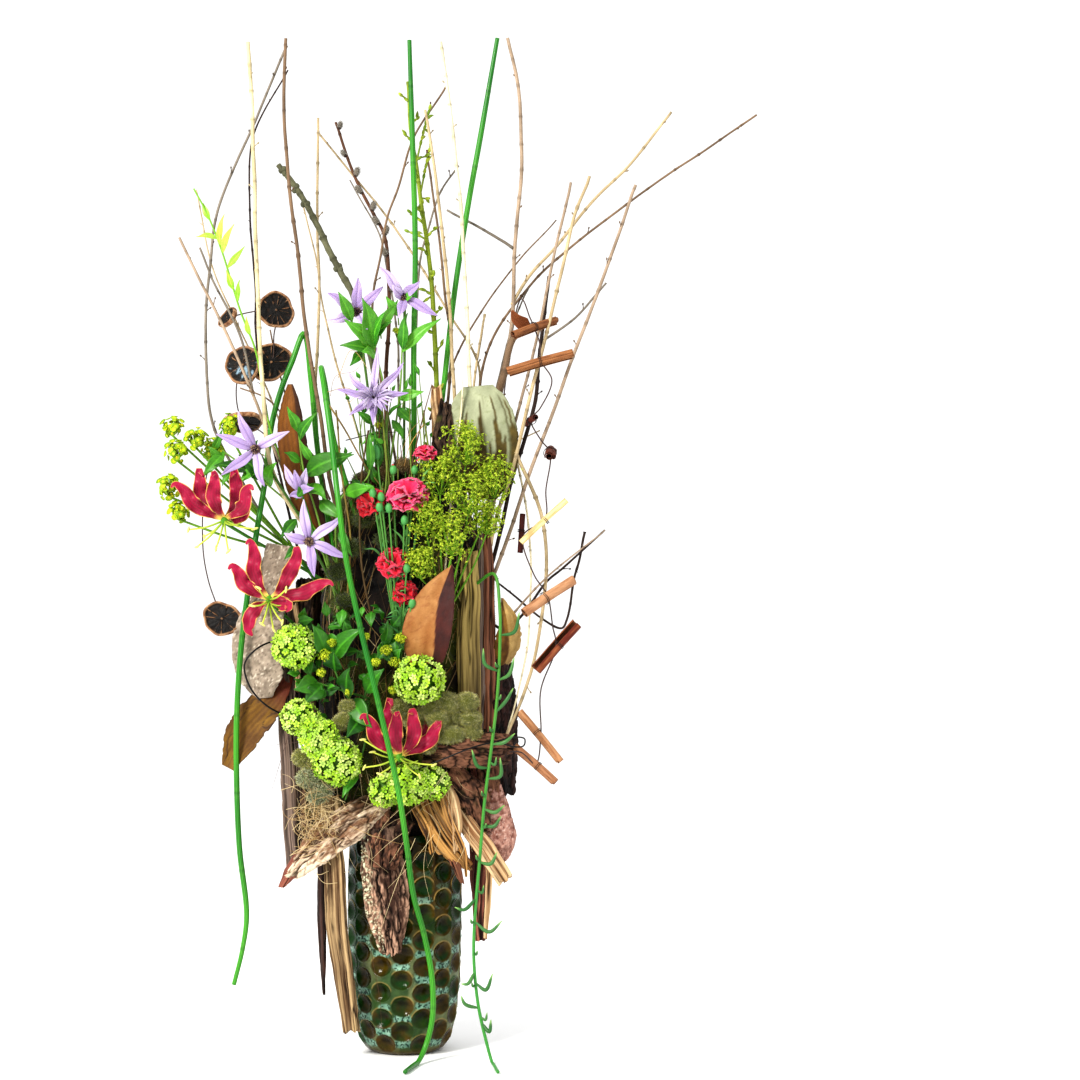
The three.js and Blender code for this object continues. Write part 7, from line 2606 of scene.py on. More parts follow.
def leaf(shape, start, tip, width, tones, seed, arch=0.12, fold=0.22, columns=11):
    """A pointed leaf with a sunken midrib and side veins that rise a little."""
    random = np.random.default_rng(seed)
    start, tip = np.array(start, float), np.array(tip, float)
    reach = tip - start
    length = np.linalg.norm(reach)
    out = unit(np.array([0.45 * math.sin(seed), -1, 0.4 + 0.3 * math.cos(seed * 1.7)]))
    side = unit(np.cross(out, reach))
    spine = [
        start,
        start + reach * 0.35 + out * length * arch + side * length * 0.04 * math.sin(seed * 2.1),
        start + reach * 0.72 + out * length * arch * 0.9,
        tip,
    ]
    shade, age = random.uniform(0.75, 1.15), random.random()

    def tint(u, t, under):
        vein = np.cos((t * LEAF_VEINS - np.abs(u) * VEIN_SLANT) * FULL)
        rib = np.exp(-((u / 0.07) ** 2))
        colour = mix(
            tones[0],
            tones[1],
            0.2 + 0.55 * age + 0.16 * smoothstep(0.4, 1, vein) + 0.1 * np.sin(3 * t + seed),
        )
        colour = mix(colour, tones[1] * 1.15, 0.7 * rib)
        colour = mix(colour, tones[2], 0.6 * under)
        return colour * shade

    def ripple(t, u):
        vein = np.cos((t * LEAF_VEINS - np.abs(u) * VEIN_SLANT) * FULL)
        return 0.12 * vein * (1 - np.abs(u)) * width / 14 + 0.05 * width * np.sin(11 * t + seed) * u * u

    widths = [1.2, 0.62 * width, 0.97 * width, 0.94 * width, 0.66 * width, 0.3 * width, 0.5]
    spacing = max(1.3, length / 22)
    blade(
        shape, spine, out, widths, tint,
        thick=0.5, spacing=spacing, columns=columns, fold=fold, ripple=ripple,
    )


def stems_of(shape, facts, colour, slim=1.0):
    """The foliage's stalks. Returns where they run."""
    foot = np.array(facts["foot"], float)
    tube(shape, spline([facts["root"], foot], 3), 2.6 * slim, colour, 9)
    ball(shape, foot, 3.6 * slim, colour, 8, 10)
    runs = []
    for i, line in enumerate(facts["stems"]):
        run = spline([foot + np.array([i - 1, 0.7 * i, 1.3 * i]), *line], 3)
        tube(shape, run, [2.0 * slim, 1.3 * slim], colour, 9)
        runs.append(run)
    return np.vstack(runs)


def foliage(name, facts, seed):
    """A leafy group: its stems, its leaves and the stalk of each leaf."""
    leaves, stems = Shape(), Shape()
    tones = LEAF_TONES[name]
    run = stems_of(stems, facts, tones[2], 0.75)
    for k, (start, tip, width) in enumerate(facts["leaves"]):
        leaf(leaves, run[nearest(run, start)], tip, width, tones, seed + k)
    make(name + "_leaves", leaves, "leaf", [name])
    make(name + "_stems", stems, "green_stem", [name])


for k, (group_name, facts) in enumerate(FOLIAGE.items()):
    foliage(group_name, facts, 401 + 40 * k)

# More leaves than the solids have: the start, the tip and the width of each
MORE_LEAVES = {
    "leaves_top": [
        ((-37, -40, 849), (-12, -58, 867), 13), ((-37, -40, 849), (-59, -56, 862), 12),
        ((-60, -44, 868), (-76, -50, 903), 15),
        ((-49, -42, 832), (-62, -56, 815), 12), ((-27, -40, 859), (-6, -44, 894), 13),
        ((1, -44, 891), (18, -48, 908), 9),
        ((-6, -40, 875), (-20, -46, 898), 12), ((-4, -40, 776), (25, -52, 785), 15),
        ((-6, -40, 766), (11, -50, 747), 12),
        ((-13, -38, 752), (1, -46, 728), 11), ((-27, -40, 738), (-48, -52, 723), 12),
        ((-37, -40, 747), (-55, -50, 763), 10),
    ],
    "leaves_left": [
        ((-29, -50, 693), (-33, -58, 739), 13), ((-26, -50, 674), (-40, -62, 702), 12),
        ((-97, -60, 657), (-67, -76, 633), 17),
        ((-106, -60, 702), (-119, -70, 727), 11), ((-120, -58, 702), (-138, -66, 713), 13),
        ((-125, -56, 634), (-143, -66, 612), 14),
        ((-59, -58, 681), (-35, -70, 659), 13), ((-85, -60, 692), (-58, -70, 713), 14),
        ((-171, -46, 693), (-191, -56, 676), 16),
        ((-197, -44, 693), (-213, -52, 674), 13), ((-212, -42, 702), (-230, -50, 721), 12),
        ((-226, -42, 714), (-213, -50, 740), 10),
        ((-183, -46, 707), (-171, -52, 728), 12), ((-116, -56, 619), (-94, -66, 596), 14),
        ((-121, -56, 601), (-138, -66, 587), 12),
        ((-72, -62, 624), (-58, -74, 591), 12),
    ],
}
for k, (group_name, rows) in enumerate(MORE_LEAVES.items()):
    extra = Shape()
    for i, (start, tip, width) in enumerate(rows):
        leaf(extra, start, tip, width, LEAF_TONES[group_name], 601 + 30 * k + i)
        tube(
            extra,
            spline([np.array(start, float) + np.array([0, 14.0, -9]), start], 3),
            [1.0, 0.8],
            LEAF_TONES[group_name][2],
            6,
        )
    make(group_name + "_more", extra, "leaf")


LOW_LEAVES = 130
# Where they grow, in pixels of the photo: a slanted patch round its heart, without its lower right corner
LOW_ACROSS = (298, 402)
LOW_DOWN = (600, 722)
LOW_HEART = (345, 660)
LOW_REACH = (60, 90, 80)
LOW_CORNER = (334, 676)


def low_mass():
    """The dark low leaves: many small lobed ones round the larger, on short stalks."""
    leaves, stems = Shape(), Shape()
    random = np.random.default_rng(641)
    tones = LEAF_TONES["leaves_low"]
    for k in range(LOW_LEAVES):
        px, py = random.uniform(*LOW_ACROSS), random.uniform(*LOW_DOWN)
        right, down = (px - LOW_HEART[0]) / LOW_REACH[0], py - LOW_HEART[1]
        above = right - down / LOW_REACH[1] > 1.15
        below = right + down / LOW_REACH[2] > 1.4
        if above or below or (px > LOW_CORNER[0] and py > LOW_CORNER[1]):
            continue
        depth = random.uniform(-84, -66)
        start = np.array(place_at(px, py, depth))
        turn = random.uniform(0, FULL)
        reach = random.uniform(8, 21)
        tip = start + np.array([math.cos(turn) * reach, -random.uniform(2, 10), math.sin(turn) * reach])
        leaf(leaves, start, tip, random.uniform(0.55, 0.95) * reach, tones, 650 + k, fold=0.3, columns=9)
        tube(stems, spline([start + np.array([0, 16.0, -6]), start], 4), [0.9, 0.7], tones[2], 5)
    make("leaves_low_mass", leaves, "leaf")
    make("leaves_low_stalks", stems, "green_stem")


def place_at(px, py, y):
    """A place in the frame from a pixel of the photo, at a depth."""
    near = 1 - y / EYE[1]
    return EYE[0] + (px - PHOTO_MIDDLE) * PIXEL * near, y, EYE[2] + (PHOTO_MIDDLE - py) * PIXEL * near


low_mass()


def little_flowers():
    """Small yellow-green heads among the low leaves, and a few at the top."""
    shape = Shape()
    random = np.random.default_rng(731)
    for centre, radius in (
        ((-88, -90, 476), 9), ((-17, -92, 482), 8), ((-1, -90, 496), 7), ((-29, -92, 468), 6),
        ((-7, -90, 468), 7),
        ((-93, -90, 456), 6), ((-80, -90, 491), 6), ((-41, -86, 498), 5), ((-9, -92, 436), 6),
        ((-60, -92, 433), 5),
        ((-29, -46, 746), 5), ((-8, -44, 858), 4), ((7, -80, 587), 5),
    ):
        centre = np.array(centre, float)
        n = int(7 * radius)
        d = spread(n)
        places = centre + d * radius * random.uniform(0.5, 1.0, (n, 1)) * (1, 0.7, 0.8)
        tone = mix(rgb("8fa81c"), rgb("d8e04a"), random.random(n))
        stamp(
            shape,
            STAR_POINTS,
            STAR_FACES,
            tone,
            facing(unit(d + np.array([0, -0.8, 0.4])), random.uniform(0, 6, n)),
            places,
            random.uniform(1.9, 2.8, n),
        )
        for place in places[::4]:
            tube(shape, spline([centre + np.array([0, 10.0, -8]), place], 3), [0.5, 0.4], rgb("6f8f2a"), 5)
    make("little_flowers", shape, "mantle")


little_flowers()


# ---------------------------------------------------------------- the string of bananas
BANANA_TONES = (rgb("5a9440"), rgb("386e3c"))
STRING_RADIUS = 1.9
STRING_CLEAR = 2.1  # how high the string's middle lies on the surface
BEAD_CLEAR = 3.0
BEAD_RADII = np.array([0.9, 2.1, 2.6, 2.5, 1.9, 0.5])


def string_of_bananas():
    """The hanging string, with a small curved leaf at each hook."""
    shape = Shape()
    green, blue = BANANA_TONES
    path = spline(STRING_PATH, 2.5)
    path[:, 2] = np.maximum(path[:, 2], STRING_CLEAR)
    share = np.linspace(0, 1, len(path))
    tube(shape, path, STRING_RADIUS, mix(green, rgb("4f9a4a"), smoothstep(0.2, 0.7, share)), 9)
    hooks = list(BANANAS)
    for k in range(60, len(path) - 40, 15):
        side = 1 if k % 2 else -1
        a = path[k]
        if k % 4 == 1:
            hooks.append((a, moved(a, side * 6.0, -5, -3), moved(a, side * 8.0, -7, 6 + k % 5)))
        else:
            hooks.append((a, moved(a, side * 3.0, -4, -1), moved(a, side * 4.5, -6, 4)))
    for k, (start, middle, tip) in enumerate(hooks):
        start = path[nearest(path, start)]
        hook = spline([start, middle, tip], 1.2)
        size = 0.88 if k < len(BANANAS) else 0.62
        hook[:, 2] = np.maximum(hook[:, 2], BEAD_CLEAR)
        tone = mix(blue, rgb("6c9a5c"), 0.15 + 0.5 * ((k * 7) % 5) / 5)
        ends = mix(tone, rgb("96bc70"), smoothstep(0.75, 1, np.linspace(0, 1, len(hook))))
        tube(shape, hook, BEAD_RADII * size, ends, 10)
    make("string_of_bananas_beads", shape, "banana_leaf", ["string_of_bananas"])


string_of_bananas()


# ---------------------------------------------------------------- dried leaves
def dried(
    name, slot, spine, out, widths, tint, *, thick=1.6, fold=0.1, wave=0.8, ribbed=0.9, ragged=0.05, seed=1,
    spacing=1.8, columns=33,
):
    """A dried leaf: a blade with a torn edge, ribs and a slow wave."""
    shape = Shape()
    path = spline(spine, spacing)
    n = len(path)
    t = np.linspace(0, 1, n)
    half = np.maximum(along(widths, t) / 2, 0.8)
    u = np.linspace(-1, 1, columns)[None, :]
    tears = []
    for side in (-1, 1):
        line = np.stack([t * n * spacing, 0 * t, side * 50 + 0 * t], -1)
        tears.append(
            1 - ragged * (1 + fbm(line, 9, 4, seed))
            - ragged * 1.4 * crease(line, 14, 0.12, seed + 2)
        )
    curl = np.where(u < 0, tears[0][:, None], tears[1][:, None])

    def ripple(tt, uu):
        along_it = tt * n * spacing + 0 * uu
        place = np.stack([uu * half[:, None], 0 * along_it + 3, along_it], -1)
        return wave * np.sin(5 * tt + 2.2 * uu + seed) + ribbed * fbm(
            place, (7, 7, 26), 3, seed + 4,
        ) + 0.4 * fbm(place, 2.4, 2, seed + 5)

    rings, uu, tt = sheet_rings(path, out, half, columns, thick, fold=fold, ripple=ripple, curl=curl)
    front = np.zeros(uu.shape, bool)
    front[:, :columns] = True
    place = np.stack([uu * half[:, None], np.where(front, 5.0, 0.0), tt * n * spacing], -1)
    loft(shape, rings, tint(uu, tt, front, place), place)
    make(name + "_dried", shape, slot, [name])


def front_look(u, t, front, place):
    lit = mix(rgb("b28858"), rgb("956430"), 0.5 + 0.8 * fbm(place, (11, 11, 16), 4, 3))
    veins = crease(place + np.array([0, 0, 2.0]) * np.abs(u)[..., None] * 9, (16, 16, 9), 0.10, 9)
    lit = mix(lit, rgb("7a3c14"), 0.35 * veins + 0.5 * smoothstep(0.93, 1, np.abs(u)))
    shaded = mix(rgb("3a0c04"), rgb("541a08"), 0.5 + fbm(place, (9, 9, 14), 3, 5))
    edge = 0.32 + 0.10 * np.sin(5 * t + 1) - 0.22 * t
    return mix(lit, shaded, smoothstep(edge, edge + 0.05, -u) * front)


def amber_look(u, t, front, place):
    ribs = 0.5 + 0.5 * np.cos(u * 21 + 0.6 * np.sin(4 * t))
    colour = mix(
        rgb("8a5c1c"),
        rgb("58340e"),
        0.35 * ribs + 0.4 * smoothstep(0.2, 0.9, t) * 0.3 + 0.5 * fbm(place, (7, 7, 30), 3, 6),
    )
    colour = mix(colour, rgb("3a1c0a"), 0.85 * smoothstep(0.1, 0.45, -u - 0.5 * (t - 0.5)) * front)
    return mix(colour, rgb("2a140a"), smoothstep(0.93, 1, np.abs(u)) * 0.8)


def tawny_look(u, t, front, place):
    ribs = 0.5 + 0.5 * np.cos((u * 5 + t * 3) * 5)
    colour = mix(rgb("94721e"), rgb("684814"), 0.3 * ribs + 0.6 + 0.8 * fbm(place, (12, 12, 30), 4, 7))
    colour = mix(colour, rgb("6b2f10"), 1 - smoothstep(0.12, 0.38, t))
    # Painted shadow: the mask named thread is a thin winding strip of shadow across the leaf.
    thread = crease(place, (30, 30, 40), 0.03, 12)
    return mix(colour, rgb("3a1f0c"), 0.8 * thread + 0.6 * smoothstep(0.95, 1, np.abs(u)))


def felt_look(u, t, front, place):
    colour = mix(rgb("8f8274"), rgb("b3a596"), 0.5 + 1.2 * fbm(place, (5, 5, 5), 4, 8))
    specks = smoothstep(0.42, 0.6, noise(place, 1.9, 15))
    pits = smoothstep(0.45, 0.62, noise(place, 2.3, 16))
    return mix(mix(colour, rgb("dcd2c2"), 0.8 * specks), rgb("5a4c40"), 0.6 * pits)


def sage_look(u, t, front, place):
    colour = mix(rgb("8e9278"), rgb("b2b69a"), 0.5 + fbm(place, (14, 14, 20), 4, 9))
    colour = mix(colour, rgb("8a8f6c"), 0.5 * crease(place, (26, 26, 12), 0.05, 17))
    # The dark lower part: the leaf's own dark olive, with painted shadow of the twigs and sprays in front of
    # it along its ragged edge.
    blades = 0.5 + 0.3 * np.sin(u * 13 + 1) + 0.22 * np.sin(u * 29 + 2 * t)
    shade = smoothstep(0.02, 0.08, 0.66 * blades + 0.27 - t)
    # Thin dark stripes on the front: partly veins, partly painted shadow.
    stripe = smoothstep(0.95, 0.99, np.cos(u * 9.5 + 0.5 + 0.5 * t)) * smoothstep(0.95, 0.85, t)
    colour = mix(colour, mix(rgb("4a3f16"), rgb("6b5c2a"), 0.5 + fbm(place, 8, 3, 10)), shade)
    return mix(colour, rgb("5a5432"), 0.75 * stripe * front)


def torn_look(u, t, front, place):
    colour = mix(rgb("c2a774"), rgb("8f7440"), 0.5 + 1.1 * fbm(place, (8, 8, 14), 4, 11))
    inner = smoothstep(0.1, 0.2, u - 0.7 * (t - 0.55)) * front
    return mix(colour, mix(rgb("5a3c16"), rgb("8a6a2e"), 0.5 + fbm(place, (5, 5, 12), 3, 12)), inner)


dried(
    "leaf_front", "dry_leaf",
    [(27, -84, 461), (32, -94, 505), (42, -92, 540), (59, -84, 580)],
    (-0.35, -1, 0.1),
    [34, 52, 61, 62, 58, 50, 38, 22, 3],
    front_look, fold=0.12, wave=1.0, ragged=0.012, seed=3,
)
dried(
    "leaf_upper_left", "dry_leaf",
    [(-87, -12, 591), (-116, -34, 657), (-131, -47, 728), (-133, -48, 794)],
    (0.2, -1, 0),
    [6, 12, 20, 27, 32, 35, 37, 38, 37, 36, 33, 27, 19, 6],
    amber_look, fold=0.10, wave=1.0, ragged=0.03, seed=5,
)
dried(
    "leaf_lower_left", "dry_leaf",
    [(-134, -40, 449), (-156, -52, 421), (-184, -56, 386), (-205, -58, 342)],
    (-0.2, -1, 0.2),
    [12, 40, 50, 44, 18],
    tawny_look, fold=0.12, wave=1.4, ragged=0.05, seed=7,
)
dried(
    "leaf_felt", "grey_leaf",
    [(-145, -41, 604), (-154, -50, 551), (-170, -55, 492), (-163, -53, 424)],
    (-0.2, -1, 0.1),
    [34, 40, 42, 46, 56, 66, 67, 58, 22],
    felt_look, thick=3.0, fold=0.08, wave=1.2, ragged=0.05, seed=9,
)
dried(
    "leaf_round", "pale_leaf",
    [(98, -24, 658), (96, -32, 705), (92, -32, 752), (88, -26, 793)],
    (0.1, -1, 0.1),
    [26, 46, 62, 74, 81, 85, 87, 87, 86, 83, 78, 70, 57, 36],
    sage_look, fold=0.06, wave=1.0, ribbed=0.15, ragged=0.02, seed=11,
)
dried(
    "leaf_tan", "tan_leaf",
    [(113, -8, 452), (126, -26, 486), (126, -34, 517), (117, -26, 541)],
    (0.5, -1, 0.2),
    [16, 34, 36, 22, 4],
    torn_look, fold=-0.3, wave=1.6, ragged=0.06, seed=13,
)


# ---------------------------------------------------------------- garlands
QUILLS = [
    dict(ends=[[130, -46, 852], [181, -20, 873]], radius=5),
    dict(ends=[[123, -48, 810], [201, -44, 832]], radius=5.6),
    dict(ends=[[157, -44, 755], [146, -14, 749]], radius=4.4),
    dict(ends=[[173, -40, 709], [175, -6, 718]], radius=6),
    dict(ends=[[141, -34, 641], [138, -40, 595]], radius=4.2),
    dict(ends=[[140, -56, 606], [194, -50, 656]], radius=4.6),
    dict(ends=[[143, -46, 525], [201, -40, 563]], radius=7.6),
    dict(ends=[[157, -36, 456], [206, -30, 511]], radius=7),
    dict(ends=[[138, -30, 407], [187, -40, 348]], radius=4.6),
    dict(ends=[[132, -36, 366], [181, -46, 324]], radius=4.8),
]
CINNAMON_WIRE = [
    [92, 20, 560], [138, 16, 900], [150, -20, 875], [155, -34, 862], [162, -44, 841], [163, -46, 822],
    [176, -44, 799], [162, -38, 766], [151, -30, 753],
    [163, -28, 729], [174, -24, 714], [169, -36, 669], [168, -52, 635], [142, -38, 615], [155, -50, 569],
    [171, -44, 544], [177, -40, 508], [181, -33, 483], [163, -34, 432], [163, -36, 378], [157, -41, 345],
    [138, -50, 360], [100, -52, 355],
]
SLICES = [
    dict(centre=[-156, 12, 887], out=[0.2, -1, 0.1], radius=21),
    dict(centre=[-196, 14, 821], out=[-0.3, -1, 0.1], radius=22),
    dict(centre=[-163, 22, 825], out=[0.25, -1, 0], radius=23),
    dict(centre=[-213, 4, 877], out=[-0.9, -0.7, 0.5], radius=14),
    dict(centre=[-198, 34, 753], out=[0.1, -0.45, -0.9], radius=21),
    dict(centre=[-222, 20, 515], out=[-0.15, -1, 0.1], radius=21),
]
SLICE_WIRE = [
    [
        [-84, 26, 580], [-129, 34, 683], [-176, 38, 741], [-198, 34, 753], [-205, 20, 789], [-196, 14, 821],
        [-179, 20, 825], [-163, 22, 825], [-159, 16, 857], [-156, 12, 887], [-187, 8, 884], [-213, 4, 877],
    ],
    [
        [-198, 34, 753], [-225, 40, 732], [-243, 38, 689], [-247, 32, 604], [-240, 28, 562],
        [-230, 24, 534], [-222, 20, 515],
    ],
]
WIRE_LOOP = [
    [-96, -30, 474], [-140, -62, 492], [-167, -84, 484], [-182, -88, 466], [-177, -88, 441],
    [-162, -84, 421], [-140, -70, 406], [-98, -30, 396],
]

QUILL_LOOKS = [
    (rgb("a4744e"), rgb("70462c"), 1.7), (rgb("aa7a52"), rgb("7a5032"), 1.8),
    (rgb("6a3020"), rgb("3f1a12"), 1.6),
    (rgb("7a4430"), rgb("4a2416"), 1.9), (rgb("5a1f14"), rgb("34100c"), 1.3),
    (rgb("e2d2a0"), rgb("b8996a"), 0.42),
    (rgb("c69c7a"), rgb("9a6c4c"), 1.5), (rgb("743422"), rgb("b47850"), 0.85),
    (rgb("c49a76"), rgb("9c6e4c"), 1.7),
    (rgb("bc8f6e"), rgb("8e6244"), 1.6),
]
WIRE_BROWN = rgb("4a3a36")
WIRE_BLACK = rgb("0c0a0a")


QUILL_STEP = 2.5
QUILL_SHEET = 0.75
QUILL_POINTS = 40


def scroll(shape, ends, radius, turns, outer, inner, seed):
    """A quill: a thin sheet rolled up on itself, with both ends open."""
    start, end = (np.array(one, float) for one in ends)
    path = spline([start, (start + end) / 2 + np.array([0, 0, 0.8]), end], QUILL_STEP)
    n, steps = len(path), QUILL_POINTS
    _, across, up = carried(path, (0.3, 0.2, 1.0))
    angle = np.linspace(0, FULL * turns, steps) + seed
    share = np.linspace(1.0, 0.42 if turns > 1 else 1.0, steps)
    place = np.stack([0 * angle, 0 * angle, angle * radius], -1)
    rings, tints = [], []
    for i in range(n):
        bumps = 1 + 0.03 * fbm(place + np.array([i * QUILL_STEP, 0, 0]), (18, 9, 5), 3, seed)
        big = share * radius * bumps
        small = big - QUILL_SHEET
        circle = np.cos(angle)[:, None] * across[i] + np.sin(angle)[:, None] * up[i]
        ring = np.concatenate([path[i] + circle * big[:, None], (path[i] + circle * small[:, None])[::-1]])
        rings.append(ring)
        streak = fbm(
            np.stack([np.full(steps, i * QUILL_STEP), 0 * angle, angle * radius], -1),
            (16, 5, 2.2),
            3,
            seed + 1,
        )
        skin = mix(outer, inner, 0.3 + 0.9 * streak)
        # Painted shade: the inner face of the roll is darkened, most of all away from its two open ends.
        hollow = mix(inner, inner * 0.35, 0.3 + 0.6 * (i not in (0, n - 1)))
        tints.append(np.concatenate([skin, hollow[None] * np.ones((steps, 1))]))
    rings, tints = np.stack(rings), np.stack(tints)
    m = 2 * steps
    index = np.arange(n * m).reshape(n, m)
    a, b, c, d = index[:-1], np.roll(index[:-1], -1, 1), index[1:], np.roll(index[1:], -1, 1)
    quads = np.stack([a, b, d, c], -1).reshape(-1, 4)
    k = np.arange(steps - 1)
    row, last = index[0], index[-1]
    caps = [
        np.stack([row[k + 1], row[k], row[m - 1 - k], row[m - 2 - k]], -1),
        np.stack([last[k], last[k + 1], last[m - 2 - k], last[m - 1 - k]], -1),
    ]
    across_it = np.broadcast_to(np.concatenate([angle, angle[::-1]]) * radius, rings.shape[:2])
    run = np.broadcast_to((np.arange(n) * QUILL_STEP)[:, None], rings.shape[:2])
    grain = np.stack([across_it, 0 * rings[..., 0], run], -1)
    shape.add(rings, [np.concatenate([quads, *caps])], tints.reshape(-1, 3), grain)


def cinnamon_garland():
    """The quills and leaf scraps, and the wire that holds them."""
    quills, wires = Shape(), Shape()
    for k, (one, (outer, inner, turns)) in enumerate(zip(QUILLS, QUILL_LOOKS)):
        start, end = (np.array(e, float) for e in one["ends"])
        if k in (0, 6):
            start = start + np.array([0, -0.28 * np.linalg.norm(end - start), 0])
        scroll(quills, (start, end), one["radius"], turns, outer, inner, k + 1)
        if turns > 1.55 and one["radius"] > 4.5:
            shift = unit(np.cross(end - start, FRONT)) * one["radius"] * 0.8
            scroll(
                quills,
                (start + shift + (end - start) * 0.02, end + shift * 0.9 - (end - start) * 0.03),
                one["radius"] * 0.62,
                1.5,
                outer * 0.9,
                inner,
                k + 21,
            )
        axis = unit(end - start)
        middle = start + (end - start) * (0.5 + 0.08 * math.sin(k * 3))
        across, up = facing(axis)[0][:, 0], facing(axis)[0][:, 1]
        for lap in range(2):
            turn = np.linspace(0, FULL, 15)[:-1]
            wide = one["radius"] * (1.12 if turns > 1.55 else 1.0)
            ring = (
                middle + axis * (lap - 1) * 1.9 + np.cos(turn)[:, None] * across * wide
                + np.sin(turn)[:, None] * up * wide * 1.15
            )
            tube(wires, spline(np.vstack([ring, ring[:1] + axis * 0.6]), 1.6), 0.36, WIRE_BROWN * 0.5, 6)
    tube(wires, spline(CINNAMON_WIRE, 2.5), 0.85, mix(WIRE_BROWN, rgb("7a6a66"), 0.3), 7)
    scrap = [(148, -34, 862), (135, -44, 872), (129, -50, 881)]
    blade(
        quills, scrap, (-0.4, -1, 0.2), [8, 17, 13, 3], rgb("8a5634"), thick=1.2, spacing=1.6, columns=11,
        fold=0.5,
    )
    make("cinnamon_quills", quills, "cinnamon", ["cinnamon_garland"])
    make("cinnamon_wire", wires, "cinnamon", ["cinnamon_garland"])


cinnamon_garland()


SLICE_SIDES = 144
# Where a slice's rings lie, from its middle to its rim
SLICE_SHARES = np.array([
    0.02, 0.08, 0.14, 0.22, 0.32, 0.42, 0.52, 0.62, 0.70, 0.76, 0.80, 0.84, 0.88, 0.93, 0.98, 1.0,
])


def fruit_slice(shape, centre, out, radius, seed, painted_reflection):
    """A dried slice: a curled rind, dark sunken flesh and pale membranes that run to the middle."""
    turned = facing(unit(np.array(out, float)))[0]
    sides, segments = SLICE_SIDES, 12 + seed % 3
    turn = np.linspace(0, FULL, sides, endpoint=False)
    wander = turn + 0.16 * np.sin(2 * turn + seed) + 0.08 * np.sin(5 * turn + 2 * seed)
    broken = smoothstep(
        -0.35,
        0.1,
        fbm(np.stack([8 * np.cos(turn), 8 * np.sin(turn), 0 * turn], -1), 3, 2, seed),
    )
    membrane = np.abs(np.cos(wander * segments / 2)) ** 30 * broken
    wobble = 1 + 0.065 * np.sin(2 * turn + seed) + 0.045 * np.sin(3 * turn + 2 * seed) + 0.02 * np.sin(
        7 * turn + seed
    )
    rings, tints = [], []
    for half, face in ((1, SLICE_SHARES), (-1, SLICE_SHARES[::-1])):
        for share in face:
            x, y = 0.93 * radius * share * wobble * np.cos(turn), 1.03 * radius * share * wobble * np.sin(
                turn
            )
            spot = np.stack([x, y, np.full(sides, 20.0 * half)], -1)
            lump = fbm(spot, 3.2, 3, seed)
            ray = membrane * smoothstep(0.05, 0.2, share) * smoothstep(-0.3, 0.15, lump)
            flesh = (1 - ray) * smoothstep(0.03, 0.1, share) * (1 - smoothstep(0.84, 0.9, share))
            height = 2.6 - 2.3 * flesh * (0.6 + 0.8 * lump) + 0.5 * lump * (share < 0.9)
            rim = smoothstep(0.95, 1.0, share)
            height = height * (1 - rim * 0.55) + 0.8 * smoothstep(0.8, 0.95, share) * (1 - rim)
            warp = 1.6 * np.sin(turn + seed) * share**2
            rings.append(np.stack([x, y, half * height + warp], -1))
            rind = mix(rgb("caa684"), rgb("7c5236"), 0.5 + fbm(spot, 4, 3, seed + 1))
            pith = rgb("ab8664")
            dark = mix(rgb("120c08"), rgb("3a2416"), smoothstep(0.1, 0.5, lump))
            # Painted reflection: a bluish grey sheen on part of the dark flesh of one slice.
            if painted_reflection:
                dark = mix(
                    dark,
                    rgb("8fa6b4"),
                    smoothstep(0.05, 0.4, fbm(spot, 4.4, 2, seed + 3)) * (x < radius * 0.15),
                )
            colour = mix(pith * (0.75 + 0.5 * lump)[:, None], dark, smoothstep(0.15, 0.6, flesh))
            tints.append(mix(colour, rind, smoothstep(0.9, 0.95, share)))
    rings = np.stack(rings) @ turned.T + np.array(centre, float)
    loft(shape, rings, np.stack(tints))


def slice_garland():
    """The dried fruit slices, and the wires that hold them."""
    shape, wires = Shape(), Shape()
    for k, one in enumerate(SLICES):
        fruit_slice(shape, one["centre"], one["out"], 1.07 * one["radius"], k + 1, k == 1)
    for line in SLICE_WIRE:
        tube(wires, spline(line, 2.5), 0.8, rgb("5a4a46"), 7)
    make("slice_garland_discs", shape, "slice", ["slice_garland"])
    make("slice_garland_wire", wires, "slice", ["slice_garland"])


slice_garland()


# ---------------------------------------------------------------- wires, fibres, moss and lichen
def black_wires():
    """The loops of black wire at the left and at the right."""
    shape = Shape()
    tube(shape, spline(WIRE_LOOP, 2), 1.1, WIRE_BLACK, 9)
    make("wire_loop_left_bent", shape, "black_wire", ["wire_loop_left"])
    other = Shape()
    belt = [
        (23, -96, 345), (53, -98, 357), (83, -98, 369), (112, -92, 376), (133, -84, 380), (144, -82, 378),
        (143, -84, 370), (132, -86, 369), (113, -92, 375),
    ]
    tube(other, spline(belt, 2), 0.9, WIRE_BLACK, 8)
    make("wire_loop_right", other, "black_wire")


black_wires()

RAFFIA_TONES = (rgb("e4d2aa"), rgb("94733f"))


def fibre(shape, points, radius, tone):
    """One thin fibre along a curve."""
    path = spline(points, 3)
    tube(shape, path, [radius * 0.75, radius * 0.6, radius * 0.3], tone, 5)


# In pixels of the photo: the nest's middle and spread, and where loose fibres start at the vase's neck
NEST_FIBRES = 150
NEST_ACROSS = (316, 10)
NEST_DOWN = (822, 22)
NECK_FIBRES = 46
NECK_ACROSS = (300, 470)
NECK_DOWN = (770, 850)


